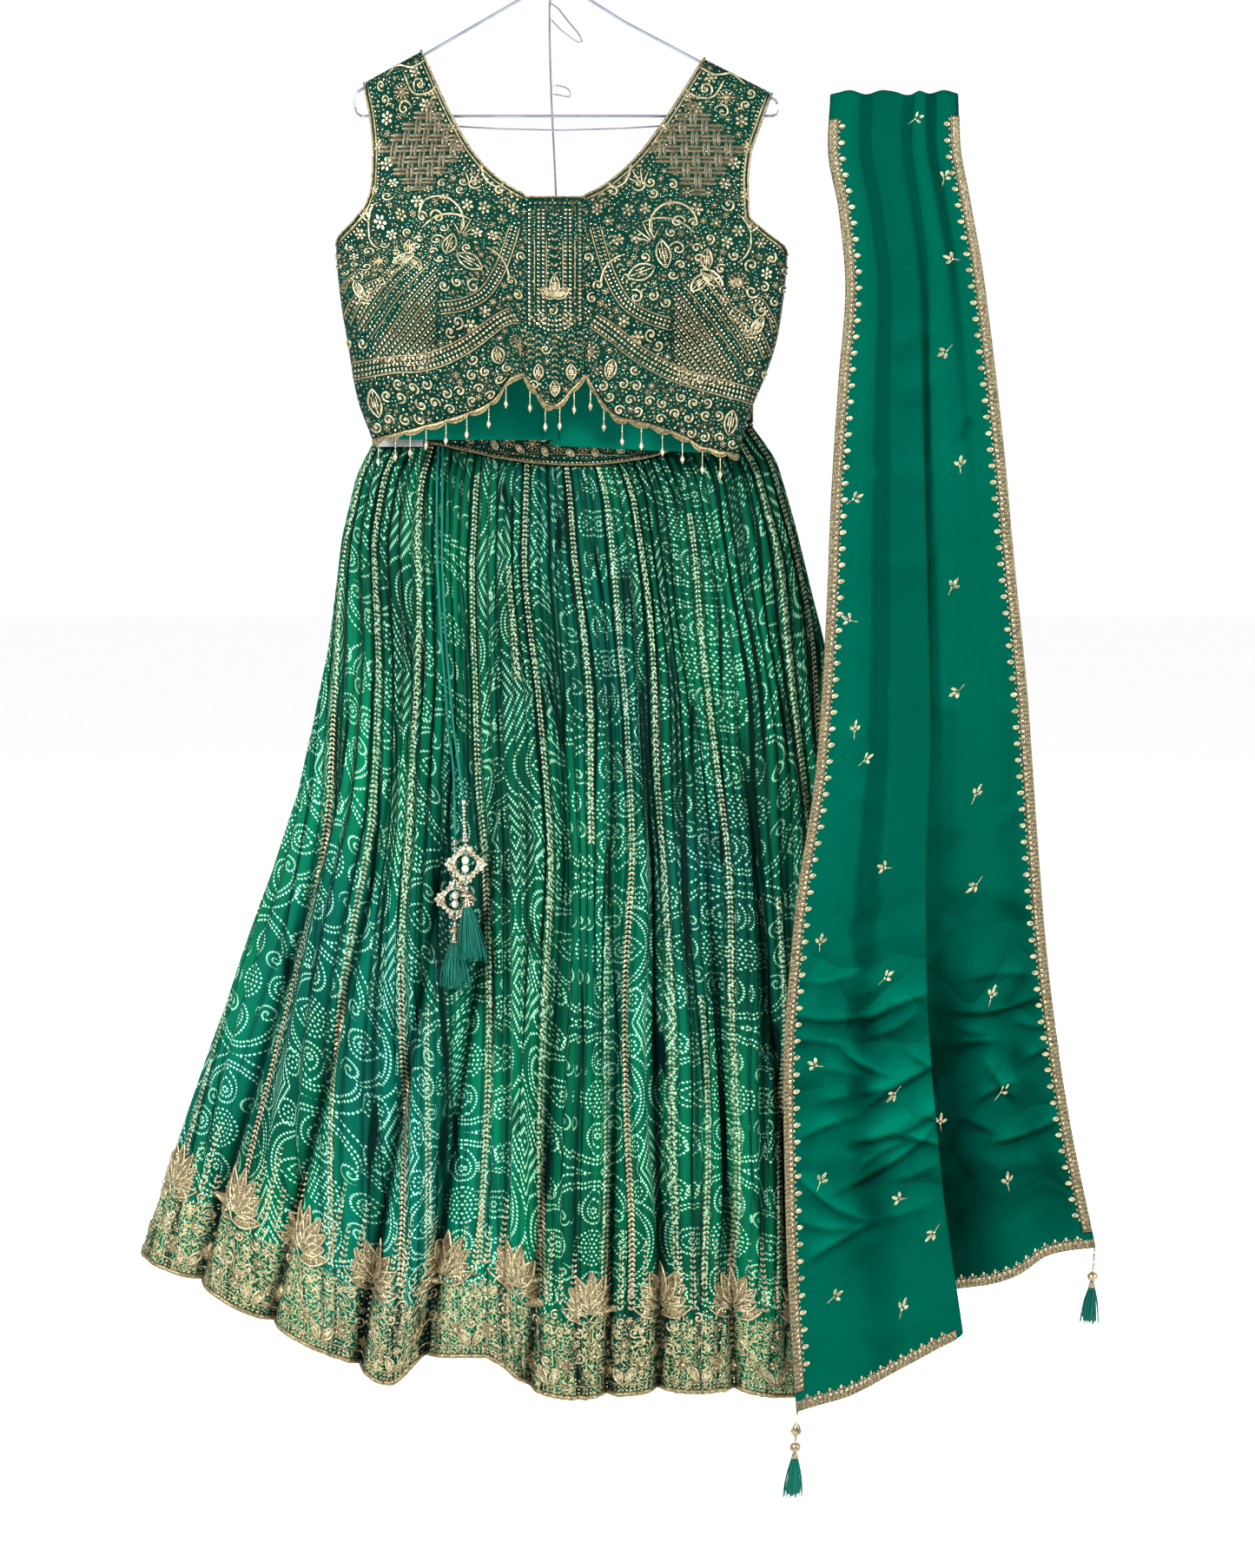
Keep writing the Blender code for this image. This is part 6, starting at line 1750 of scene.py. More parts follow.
# %% [markdown]
# ## The choli
# The blouse is cut in a pointed centre front, two fronts with moulded cups and two backs. Each
# panel is a grid between its side edge and its middle edge, and its hem is bent along a table.
# Seen from above it is a shallow arc, deepest in the middle. The cup is a soft cap that is steeper
# below the bust than above it, and at the shoulder the cloth folds over the hanger's arm.

# %% Choli tables
CHOLI_SIDE = {
    "left": table("v side_x side_z mid_x mid_z", [
        (0.00, -191, -557, -28, -490), (0.12, -207, -512, -28, -450), (0.26, -216, -460, -27, -409),
        (0.40, -225, -404, -27, -363), (0.50, -229, -354, -27, -323), (0.57, -208, -329, -27, -308),
        (0.63, -193, -309, -41, -298), (0.69, -188, -289, -59, -285), (0.79, -187, -257, -82, -260),
        (0.89, -190, -223, -104, -224), (1.00, -198, -179, -140, -147)]),
    "right": table("v side_x side_z mid_x mid_z", [
        (0.00, 198, -573, 36, -490), (0.12, 207, -535, 36, -450), (0.26, 225, -492, 35, -409),
        (0.40, 239, -447, 35, -363), (0.50, 249, -364, 35, -323), (0.57, 225, -341, 35, -308),
        (0.63, 206, -322, 51, -298), (0.69, 205, -289, 68, -285), (0.79, 208, -257, 92, -261),
        (0.89, 218, -226, 119, -224), (1.00, 231, -190, 162, -155)])}
CHOLI_BACK = {
    "left": table("v mid_x mid_z", [
        (0.00, -2.7, -557), (0.12, -2.7, -515), (0.26, -2.7, -465), (0.40, -2.7, -415),
        (0.50, -2.7, -372), (0.57, -2.7, -337), (0.63, -46, -317), (0.69, -67, -299),
        (0.79, -89, -271), (0.89, -110, -229), (1.00, -140, -147)]),
    "right": table("v mid_x mid_z", [
        (0.00, -2.1, -563), (0.12, -2.1, -519), (0.26, -2.1, -467), (0.40, -2.1, -415),
        (0.50, -2.1, -372), (0.57, -2.1, -337), (0.63, 56, -317), (0.69, 77, -299),
        (0.79, 99, -271), (0.89, 125, -229), (1.00, 162, -155)])}
CHOLI_DEPTH = table("v front back open", [
    (0.00, 46, 24, 0.00), (0.12, 50, 25, 0.00), (0.26, 54, 25, 0.00), (0.40, 52, 24, 0.00),
    (0.50, 46, 22, 0.00), (0.57, 40, 20, 0.20), (0.63, 36, 18, 0.32), (0.69, 31, 16, 0.38),
    (0.79, 24, 13, 0.38), (0.89, 15, 9, 0.34), (0.96, 7, 6, 0.28), (1.00, 0, 0, 0.20)])
CHOLI_HEM = {
    "left": table("u x z", [
        (0.00, -191, -557), (0.35, -133, -544), (0.60, -91, -532), (0.78, -62, -519),
        (0.93, -39, -492), (1.00, -28, -490)]),
    "right": table("u x z", [
        (0.00, 198, -573), (0.25, 158, -565), (0.38, 138, -554), (0.64, 93, -540),
        (0.78, 70, -535), (0.92, 49, -513), (1.00, 36, -490)]),
    "centre": table("u x z", [
        (0.00, -28, -490), (0.14, -20, -505), (0.45, 0.5, -524), (0.80, 22, -505), (1.00, 36, -490)])}
CUP_CENTRE = {"left": (-112.0, -416.0), "right": (120.0, -416.0)}
CUP_REACH, CUP_UP, CUP_DOWN, CUP_HEIGHT = 70.0, 78.0, 50.0, 25.0
CHOLI_WALL = 1.6
NECK_V, ARM_V = 0.57, 0.51    # where the neckline and the armhole begin
print("cups stand", CUP_HEIGHT, "mm off the blouse")


# %% [markdown]
# One function makes every panel, as a grid of points between two edges of the tables. The wall is
# then a second grid behind the first. At a seam its direction is turned sideways, so that two
# panels meet without crossing. A solidify modifier would be shorter, but its walls would cross.

# %% Choli panels
def bowed(hem, name, u):
    """How far a hem lies from the straight line between its ends."""
    return read(hem, name, u) - ((1 - u) * hem[name][0] + u * hem[name][-1])


def choli_grid(side, middle, hem, us, vs, face, cup=None):
    """Outer points of one panel, from its side edge to its middle edge."""
    v, u = np.meshgrid(vs, us, indexing="ij")
    rows = {"side_x": side, "side_z": side, "mid_x": middle, "mid_z": middle}
    edge = {name: read(tab, name, v) for name, tab in rows.items()}
    x = (1 - u) * edge["side_x"] + u * edge["mid_x"]
    z = (1 - u) * edge["side_z"] + u * edge["mid_z"]
    if hem is not None:
        fade = ramp(1 - v / 0.45) ** 2
        x += fade * bowed(hem, "x", u)
        z += fade * bowed(hem, "z", u)
    flat = (1 - read(CHOLI_DEPTH, "open", v)) * (1 - u) ** 2
    depth = read(CHOLI_DEPTH, face, v) * np.sqrt(1 - flat)
    below = z[-1] - z
    over_wire = np.minimum(below, np.minimum(5 + 0.35 * (below - 5), 9))
    depth = np.where(v > 0.7, np.maximum(depth, over_wire), depth)
    if cup is not None:
        reach = np.where(z > cup[1], CUP_UP, CUP_DOWN)
        away = ((x - cup[0]) / CUP_REACH) ** 2 + ((z - cup[1]) / reach) ** 2
        depth = depth + CUP_HEIGHT * ramp(1 - away) ** 1.3
    sign = -1 if face == "front" else 1
    return np.stack([x, sign * np.maximum(depth, GAP / 2), z], -1)


def into_wall(points, face):
    """Directions into the wall from the slopes of the grid."""
    normal = grid_normals(points)
    wanted = 1.0 if face == "front" else -1.0
    return normal * np.where(normal[..., 1:2] * wanted < 0, -1.0, 1.0)


def choli_inward(points, vs, face, toward_middle):
    """The same directions, turned where panels meet so that no wall crosses a seam."""
    inward = into_wall(points, face)
    fade = ramp((0.5 - vs) / 0.02)[:, None]
    inward[:, 0] = unit((1 - fade) * inward[:, 0] + fade * np.array([toward_middle, 0.0, 0.0]))
    inward[vs <= NECK_V, -1, 0] = 0
    inward[0, :, 2] = 0
    inward[-1] = (0, 0, -1)
    return unit(inward)


def front_uv(grid):
    """Flat coordinates in metres as seen from the front, for both faces of a wall."""
    return np.tile((grid[..., [0, 2]] * MM).reshape(-1, 2), (2, 1))


# %% [markdown]
# The two fronts and the two backs are made in one loop. The left and the right side have tables
# of their own, because the blouse doesn't hang quite evenly, so no side is a mirror image.

# %% Fronts and backs of the choli
FRONT_U, FRONT_V = np.linspace(0, 1, 49) ** 1.15, np.linspace(0, 1, 81)
BACK_U, BACK_V = np.linspace(0, 1, 25) ** 1.2, np.linspace(0, 1, 61)
choli_sheets = []
choli_faces = {}
for side in ("left", "right"):
    tab = CHOLI_SIDE[side]
    toward = 1 if side == "left" else -1
    front = choli_grid(tab, tab, CHOLI_HEM[side], FRONT_U, FRONT_V, "front", CUP_CENTRE[side])
    front_in = choli_inward(front, FRONT_V, "front", toward)
    back = choli_grid(tab, CHOLI_BACK[side], None, BACK_U, BACK_V, "back")
    back_in = choli_inward(back, BACK_V, "back", toward)
    choli_faces[side] = (front, front_in, back, back_in)
    for face, grid, into, finish, slot in (("front", front, front_in, WORKED_CLOTH, "embroidered"),
                                           ("back", back, back_in, LINING, "lining")):
        choli_sheets.append(piece(f"choli_{face}_{side}_cloth", shell(grid, grid + into * CHOLI_WALL),
                                  finish, front_uv(grid), stands_for=[f"choli_{face}_{side}"]))

# %% [markdown]
# The centre panel fills what the two fronts leave open. Each of its rows runs from the edge of one
# front to the edge of the other, and its hem comes to a point.

# %% Centre panel of the choli
CENTRE_U, CENTRE_V = np.linspace(0, 1, 25), FRONT_V[FRONT_V <= NECK_V + 1e-4]
rows = len(CENTRE_V)
u = CENTRE_U[None, :, None]
centre_grid = ((1 - u) * (choli_faces["left"][0][:rows, -1][:, None] + (GAP, 0, 0))
               + u * (choli_faces["right"][0][:rows, -1][:, None] - (GAP, 0, 0)))
fade = ramp(1 - CENTRE_V / 0.35)[:, None] ** 2
centre_grid[..., 2] += fade * bowed(CHOLI_HEM["centre"], "z", CENTRE_U)[None]
centre_grid[-1, :, 2] += 1.6
tuck = ramp(1 - np.minimum(CENTRE_U, 1 - CENTRE_U) / 0.12)
centre_grid[..., 0] += np.sign(CENTRE_U - 0.5) * tuck * 1.5
centre_grid[..., 1] += tuck * 0.9
centre_in = into_wall(centre_grid, "front")
centre_in[..., 0] = 0
centre_in[0, :, 2] = 0
centre_in = unit(centre_in)
centre_shell = shell(centre_grid, centre_grid + centre_in * CHOLI_WALL)
choli_sheets.append(piece("choli_front_centre_cloth", centre_shell, WORKED_CLOTH,
                          front_uv(centre_grid), stands_for=["choli_front_centre"]))


# %% [markdown]
# Narrow gold bindings close the neckline and the armholes, and the hook placket runs down the
# centre back. The bindings are round cords that follow the panels' open edges, a hair outside
# the cloth. The front hem has a scalloped edging with beaded drops.

# %% Bindings and placket
def open_edge(points, inward, vs, first_v, column, inside, reach):
    """A line beside a panel's open edge, moved out over it in the panel's own plane."""
    rows = vs >= first_v - 1e-9
    middle = points + inward * CHOLI_WALL / 2
    edge = middle[rows, column]
    along = unit(np.gradient(edge, axis=0))
    out = edge - middle[rows, inside]
    out -= along * np.sum(out * along, axis=1, keepdims=True)
    return edge + unit(out) * reach


def neck_ring(reach):
    """One ring round the front and the back of the neck."""
    runs = []
    for side, which in (("left", 0), ("left", 2), ("right", 2), ("right", 0)):
        points, inward = choli_faces[side][which:which + 2]
        vs = FRONT_V if which == 0 else BACK_V
        line = open_edge(points, inward, vs, NECK_V, -1, -4, reach)
        line[-1] = points[-1, -1] + (0.8 * math.copysign(1, -points[-1, -1, 0]), 0, reach)
        line[-1, 1] = 0
        runs.append(line)
    low = (runs[1][0] + runs[2][0]) / 2 + (0, 0, 0.6)
    return np.concatenate([runs[0], runs[1][-2:0:-1], [low], runs[2][1:], runs[3][-2::-1]])


def arm_ring(side, reach):
    """A ring up the front and down the back of one armhole."""
    front, front_in, back, back_in = choli_faces[side]
    out = math.copysign(1, front[-1, 0, 0])
    runs = []
    for points, inward, vs in ((front, front_in, FRONT_V), (back, back_in, BACK_V)):
        line = open_edge(points, inward, vs, ARM_V, 0, 3, reach)
        start = points[np.searchsorted(vs, 0.5 - 1e-9), 0] + (0, 0, reach + 0.6)
        line = np.concatenate([[start], line])
        line[-1] = points[-1, 0] + (out * (reach + 0.4), 0, -0.8)
        line[0, 1] = line[-1, 1] = 0
        runs.append(line)
    return np.concatenate([runs[0], runs[1][-2:0:-1]])


def even_ring(points, count):
    """A closed line with its points at even steps."""
    ring = np.concatenate([points, points[:1]])
    along = walked(ring)
    return places_at(np.linspace(0, along[-1], count, endpoint=False), along, ring)


bindings = [piece(name, tube(even_ring(ring, count), radius, 8, closed=True), GOLD_THREAD,
                  stands_for=[plain])
            for name, ring, count, radius, plain in (
                ("choli_neck_binding_cord", neck_ring(1.6), 260, 1.3, "choli_neck_binding"),
                ("choli_armhole_left_cord", arm_ring("left", 1.5), 170, 1.1, "choli_armhole_left"),
                ("choli_armhole_right_cord", arm_ring("right", 1.5), 170, 1.1, "choli_armhole_right"))]

placket_z = np.linspace(-556.0, -352.0, 40)
back_mid = choli_faces["left"][2][:, -1]
placket_y = np.interp(placket_z, back_mid[:, 2], back_mid[:, 1]) - CHOLI_WALL - GAP - 0.2
placket_x = np.linspace(-11, 6, 7)[None]
grid = np.stack(np.broadcast_arrays(placket_x, placket_y[:, None], placket_z[:, None]), -1)
placket = piece("choli_placket_cloth", shell(grid, grid - (0, 1.2, 0)), LINING, front_uv(grid),
                stands_for=["choli_placket"])

# %% [markdown]
# ## The choli's embroidery
# Gold thread, sequins and seed beads cover almost all of the fronts. One half is drawn and its
# mirror image is the other half, as a workshop would prick one pattern and turn it over. The half
# has a border along the neckline, a basket of crossed dull threads under the shoulder, leaves and
# fans over the bust, slanted sequin rows on its lower outer part, and a sequin band under it. The
# centre panel has upright sequin rows, three leaves over hanging swags and three long ears. The
# layout is a general one for this kind of work; the ground between is filled with small flowers and
# beads. The lists below say where the larger motifs lie; a random layout would look scattered.

# %% Embroidery of the choli
CENTRE_X = 4.0


def beside_line(path, distance):
    """A line that runs beside another at an even distance, on its right-hand side."""
    path = np.asarray(path, float)
    ahead = unit(np.gradient(path, axis=0))
    return path + np.stack([ahead[:, 1], -ahead[:, 0]], -1) * distance


def choli_place(chart, surface):
    """Places flat marks (mm from the centre line, height in mm).

    They are found on one chart and put on another surface. The right panel's marks are put at the
    same shares of the left one, so its edges match as well.
    """
    def place(flat, lift):
        spots = flat + (CENTRE_X, 0)
        found = np.full((2, len(flat), 3), np.nan)
        a, b = chart.find(spots)
        inside = (a > -0.012) & (a < 1.012) & (b > -0.012) & (b < surface.b[-1] + 0.004)
        a, b = ramp(a[inside]), np.clip(b[inside], 0, None)
        found[:, inside] = np.array(surface.at(a, b, lift[inside]))
        return found
    return place


choli_charts = {}
for side in ("left", "right"):
    front, _, back, _ = choli_faces[side]
    choli_charts["front", side] = Chart(Surface(FRONT_U, FRONT_V, front, (0, -1, 0)))
    choli_charts["back", side] = Chart(Surface(BACK_U, BACK_V, back, (0, 1, 0)))
choli_charts["centre"] = Chart(Surface(CENTRE_U, CENTRE_V, centre_grid, (0, -1, 0)))
right_chart, centre_chart = choli_charts["front", "right"], choli_charts["centre"]
right_place = choli_place(right_chart, right_chart.surface)
left_place = choli_place(right_chart, choli_charts["front", "left"].surface)
centre_place = choli_place(centre_chart, centre_chart.surface)


def edge_line(tab, before, first, last, count=60):
    """An edge of the right side's panels, or their hem, as seen from the front."""
    at = np.linspace(first, last, count)
    return np.stack([read(tab, f"{before}x", at) - CENTRE_X, read(tab, f"{before}z", at)], -1)


def inside_of(place, margin=2.2):
    """A test of whether a spot and four spots round it lie on the cloth."""
    def test(x, y):
        fits = np.ones(len(x), bool)
        for dx, dy in ((margin, 0), (-margin, 0), (0, margin), (0, -margin)):
            fits &= np.isfinite(place(np.stack([x + dx, y + dy], -1), np.zeros(len(x)))[0][:, 0])
        return fits
    return test


print("places on the choli are found on", len(choli_charts), "charts")

# %% [markdown]
# The larger motifs are listed with their places in millimetres, counted outward from the centre
# line and up from the hook. A list is quicker to change than a mesh.

# %% Where the motifs of the choli lie
ROSETTES = [(180, -197, 9.5), (192, -395, 11.5), (36, -469, 11)]
FLOWERS = [(118, -313), (94, -318), (76, -320), (56, -332), (44, -320), (148, -318), (168, -332),
           (180, -352), (192, -340), (160, -300), (178, -290), (188, -268), (106, -250), (94, -240),
           (112, -228), (140, -196), (164, -176), (196, -222), (202, -248), (66, -352), (84, -350),
           (216, -352), (222, -384), (208, -330), (176, -414), (72, -438), (86, -454), (138, -300),
           (200, -300), (150, -208)]
CURLS = [                     # place, size, angle, hand
    (72, -262, 9, 0.4, 1), (88, -292, 8, 2.2, -1), (128, -362, 9, 1.0, 1), (150, -372, 8, 3.4, -1),
    (84, -414, 8, 0.2, 1), (176, -212, 9, 1.2, 1), (158, -188, 8, 4.0, -1), (206, -376, 8, 2.6, 1),
    (216, -424, 9, 0.6, -1), (100, -452, 7, 3.0, 1), (128, -332, 8, 5.0, -1), (60, -300, 7, 1.0, 1),
    (182, -312, 8, 2.0, -1), (206, -404, 8, 4.2, 1)]
LEAVES = [                    # place, length, width, angle
    (90, -388, 30, 17, 0.35), (113, -368, 32, 15, 1.75), (163, -392, 28, 14, -0.6),
    (150, -398, 26, 12, -2.3), (158, -372, 24, 12, 1.5), (58, -487, 22, 11.5, 1.35),
    (184, -541, 27, 13, 1.4), (212, -440, 22, 10, 1.0)]
FANS = [(102, -356, 30, 2.0, 5, 1.5), (92, -296, 26, 1.9, 4, 1.1), (196, -452, 22, 0.6, 4, 1.2)]
STEMS = [                     # a path and the width of its cord
    (arc(124, -336, 25, 10, 215, 18), 1.9), (arc(78, -398, 30, 100, 190, 12), 1.7),
    (arc(176, -348, 30, -60, 60, 12), 1.7), (arc(112, -372, 44, 40, 120, 14), 1.7),
    (route([(66, -250), (78, -268), (74, -288), (60, -296), (54, -284)], 20), 1.8),
    (route([(200, -298), (214, -310), (216, -330), (204, -342)], 16), 1.8),
    (route([(134, -186), (148, -196), (166, -196), (178, -178)], 16), 1.8),
    (route([(152, -164), (168, -172), (186, -170), (200, -182)], 16), 1.8)]
SEQUIN_BANDS = [              # a path, its rows of sequins, and where its two cords run
    ([(42, -338), (50, -368), (60, -396), (74, -420), (95, -434), (120, -442)], (-2.3, 2.3), 5.6),
    ([(224, -472), (214, -452), (200, -436), (182, -426)], (-2.2, 2.2), 5.2),
    ([(232, -446), (226, -430), (214, -414), (200, -418)], (0.0,), 3.0)]
UNDER_BUST = [(40, -436), (60, -450), (90, -473), (127, -492), (170, -504), (214, -514)]


print("listed motifs:", sum(map(len, (ROSETTES, FLOWERS, CURLS, LEAVES, FANS, STEMS))))

# %% [markdown]
# Three drawings follow: one front half, the centre panel, and one half of the back. The large marks
# come first, because the ground is filled wherever the map is still free. A half begins with cords
# and rows along its edges, the slanted sequin rows and the basket.

# %% Edges, slanted rows and the basket
RIGHT_ARM = edge_line(CHOLI_SIDE["right"], "side_", 0.515, 0.985)


def edge_bands(d):
    """Cords and rows of sequins and threads along the neck, the armhole, the hem and the bust."""
    neck = edge_line(CHOLI_SIDE["right"], "mid_", 0.578, 0.985)
    hem = edge_line(CHOLI_HEM["right"], "", 0.02, 0.985)
    for line, sign in ((neck, 1), (RIGHT_ARM, -1), (hem, -1)):
        d.cord(beside_line(line, sign * 2.6), 1.7)
    d.row("stone", beside_line(neck, 6.4), 6.6, 5.2, 3.4, 1.2)
    d.row("thread", beside_line(neck, 11.6), 5.6, 5.2, 2.9, 0.9, 0.75, 0.4)
    d.row("stone", beside_line(neck, 15.6), 4.6, 2.8, 2.8, 1.0)
    d.row("stone", beside_line(RIGHT_ARM, -5.6), 4.4, 3.0, 3.0, 1.1)
    d.row("thread", beside_line(hem, -6.0), 4.2, 3.8, 2.6, 0.9, 0.5)
    under = route(UNDER_BUST, 60)
    for off in (-5.0, 0.0, 5.0):
        d.row("stone", beside_line(under, off), 4.3, 3.9, 3.9, 1.2)
    for off in (-8.0, 8.0):
        d.cord(beside_line(under, off), 1.4)
    for path, offs, edge in SEQUIN_BANDS:
        line = route(path, 50)
        for off in offs:
            d.row("stone", beside_line(line, off), 4.2, 3.6, 3.6, 1.1)
        for off in (-edge, edge):
            d.cord(beside_line(line, off), 1.3)
    return hem


def slanted_rows(d):
    """Fourteen slanted sequin rows, the first five stepped down and in, the rest straight down."""
    for k in range(14):
        early, late = max(0, 4 - k), max(0, k - 4)
        start = np.array([124.0 + early * 10.0, -402.0 + early * 5.0 - late * 9.2])
        stop = start + np.array([0.61, -0.79]) * min(108.0, (start[1] + 496) / 0.79 + 8)
        stop[0] = min(stop[0], 212.0)
        if np.linalg.norm(stop - start) > 12:
            line = route([start, (start + stop) / 2 + (1.5, 1.0), stop], 12)
            d.row("stone", line, 4.3, 3.4, 3.4, 1.1)
            d.cord(beside_line(line, 3.4), 1.1, 0.7)


def basket(d):
    """A basket: pairs of short dull bars, upright and level in turn, on a grid cut to a diamond."""
    pitch = 11.6
    for i in range(-4, 5):
        for j in range(-4, 5):
            if abs(i) + abs(j) > 4:
                continue
            x, y = 147 + pitch * i - 0.8 * j, -253 + pitch * j
            for off in (-2.3, 2.3):
                if (i + j) % 2:
                    d.ovals("dull", x + off, y, 19.0, 4.5, UP, 2.2, 10)
                else:
                    d.ovals("dull", x, y + off, 19.0, 4.5, 0.0, 2.2, 10)
            d.take(x + pitch / 2, y + pitch / 2, 3.0)


# %% [markdown]
# The rest of a half comes from the lists: its large motifs, their stems, and the flowers and curls
# above the hem.

# %% One front half
def half_drawing():
    """One front half: X counts outward from the centre line."""
    d = Drawing(30, -580, 252, -140, 7, 1.4)
    hem = edge_bands(d)
    ear(d, route([(58, -346), (64, -372), (76, -396), (94, -410)], 20), 6.0, 6.4, 3.0)
    ear(d, route([(48, -300), (52, -312), (60, -322)], 8), 6.0, 6.0, 3.0)
    slanted_rows(d)
    basket(d)
    for motif, places in ((rosette, ROSETTES), (leaf, LEAVES), (fan, FANS)):
        for numbers in places:
            motif(d, *numbers)
    for path, width in STEMS:
        d.cord(path, width, 0.9, "bright")
    for numbers in CURLS:
        curl(d, *numbers)
    for k, (x, y) in enumerate(FLOWERS):
        flower(d, x, y, 6.8 + 0.6 * (k % 3), 6, 0.4 * k, "bright" if k % 3 else "thread")
    for k, (x, y) in enumerate(route(beside_line(hem, -17.0), 9)[1:-1]):
        if k % 2:
            flower(d, x, y, 6.8, 7)
        else:
            curl(d, x, y, 8, 0.9 * k, 1 if k % 4 else -1)
    fill_ground(d, inside_of(right_place))
    return d


# %% [markdown]
# The centre panel has upright sequin rows with an ear between them, three leaves over hanging
# swags, and ears that end in leaves.

# %% The centre panel
def centre_drawing():
    """The centre panel, with X counted from its middle."""
    d = Drawing(-33, -545, 33, -300, 9, 1.3)
    top = -313.0
    d.row("stone", [(-28, top), (0, top), (28, top)], 5.0, 4.2, 3.2, 1.2)
    for sign in (1, -1):
        for off, size in ((11.5, 3.7), (16.5, 3.7), (26.0, 4.2)):
            x = sign * off
            d.row("stone", [(x, top - 5), (x, -380), (x, -442)], 4.4, size, size, 1.2)
        for off in (8.6, 21.0):
            x = sign * off
            d.cord([(x, top - 4), (x, -360), (x, -400), (x, -444)], 1.4)
    ear(d, [(0, -392), (0, -362), (0, top - 8)], 8.0, 7.0, 3.2, 0.2)
    for way, long in ((UP, 25.0), (UP + 0.95, 18.0), (UP - 0.95, 18.0)):
        leaf(d, 0.5 * long * math.cos(way), -414 + 0.5 * long * math.sin(way), long, 9.5, way)
    for radius, pitch in ((17, 3.8), (22, 4.0), (27, 4.2)):
        d.row("stone", arc(0, -420, radius, 205, 335, 24), pitch, 3.4, 3.4, 1.3)
    for x, foot in ((0, -507), (17, -490), (-17, -490)):
        ear(d, [(x, -449), (x, (foot - 449) / 2), (x, foot + 8)], 5.6, 5.6, 2.7)
        leaf(d, x, foot, 17, 9.5, UP)
    for sign in (1, -1):
        ear(d, [(sign * 26, -446), (sign * 26, -462), (sign * 25, -478)], 5.6, 5.0, 2.6)
    fill_ground(d, inside_of(centre_place))
    return d


# %% [markdown]
# The back is plainer work: bands along its edges and rows of small flowers. One half is drawn and
# used for both sides, as for the front.

# %% The back, and the sewing
def back_drawing():
    """The back is plainer: bands along its edges and a few rows of small flowers."""
    d = Drawing(4, -585, 252, -140, 11)
    neck = edge_line(CHOLI_BACK["right"], "mid_", 0.578, 0.985, 50)
    low = np.stack([np.linspace(10, 190, 40), np.linspace(-551, -562, 40)], -1)
    for line, sign in ((neck, 1), (RIGHT_ARM, -1), (low, -1)):
        d.cord(beside_line(line, sign * 3.0), 1.7)
        d.row("stone", beside_line(line, sign * 6.6), 5.0, 3.6, 3.2, 1.1)
    d.cord(beside_line(neck, 10.5), 1.4)
    for row, y in enumerate(np.arange(-535, -190, 27)):
        for x in np.arange(22 + 14 * (row % 2), 240, 28):
            if inside_back(np.array([x]), np.array([y]))[0]:
                flower(d, x, y, 6.0, 6, 0.3 * row)
                d.ovals("thread", x + np.array([-8.5, 8.5]), y, 6.0, 2.8, 0.0, 0.8, 6, 0.4)
    return d


back_chart = choli_charts["back", "right"]
back_right = choli_place(back_chart, back_chart.surface)
back_left = choli_place(back_chart, choli_charts["back", "left"].surface)
inside_back = inside_of(back_right, 10.0)
half = half_drawing()
back_half = back_drawing()
choli_stitches = {
    "front": sew("choli_front_stitch", [(half, right_place), (half, left_place),
                                        (centre_drawing(), centre_place)]),
    "back": sew("choli_back_stitch", [(back_half, back_right), (back_half, back_left)])}

# %% [markdown]
# The beaded drops hang from the edging at uneven distances: a string of tiny beads, then a
# champagne teardrop with a seed bead under it. A drop is one turned profile, and the edging is a
# strip of cloth cut in arcs with a cord along its lower edge. Modelled drops on a grid of equal
# steps would look printed, so their places are listed.

# %% Hem edging and beaded drops
DROPS = {"left": (-183, -164, -148, -131, -110, -88, -65, -47), "centre": (-22, -6, 9, 24),
         "right": (41, 55, 74, 94, 116, 137, 158, 177)}


def drop_profile():
    """Five seed beads, a teardrop and a last seed bead, as heights and radii."""
    rows = [(0.6, 0.4)]
    for k in range(5):
        rows += [(-2.6 * k - 0.2, 0.3), (-2.6 * k - 1.3, 0.85), (-2.6 * k - 2.4, 0.3)]
    return rows + [(-13.6, 0.5), (-15.5, 1.2), (-18.0, 2.3), (-19.8, 2.5), (-21.2, 1.7), (-22.0, 0.5),
                   (-22.8, 0.9), (-23.6, 0.3)]


def hem_edging(name, points, inward, drops, scallop):
    """A strip under the hem whose lower edge is a row of arcs, and the drops that hang from it."""
    along = walked(points[0])
    even = np.linspace(0, along[-1], 160)
    edge, into = places_at(even, along, points[0]), unit(places_at(even, along, inward[0]))
    count = max(1, round(along[-1] / scallop))
    arcs = np.abs(np.sin(math.pi * even / along[-1] * count)) ** 0.6
    upper = edge - (0, 0, GAP + 0.2)
    lower = upper - np.outer(1.5 + 5.6 * arcs, (0, 0, 1))
    outer = np.stack([upper, (upper + lower) / 2, lower])
    middle = lower + into * CHOLI_WALL / 2
    edging = join([shell(outer, outer + into[None] * CHOLI_WALL), tube(middle - (0, 0.8, 0), 0.9, 6)])
    middle = middle[np.argsort(lower[:, 0])]
    beads = join(turned(drop_profile(), spot, 8)
                 for spot in places_at(np.array(drops, float), middle[:, 0], middle))
    plain = [f"choli_drops_{name}"]
    return (piece(f"choli_edging_{name}", edging, GOLD_THREAD, stands_for=plain),
            piece(f"choli_drop_beads_{name}", beads, DROP, stands_for=plain))


hem_trims = {"left": hem_edging("left", *choli_faces["left"][:2], DROPS["left"], 24.0),
             "centre": hem_edging("centre", centre_grid, centre_in, DROPS["centre"], 26.0),
             "right": hem_edging("right", *choli_faces["right"][:2], DROPS["right"], 24.0)}
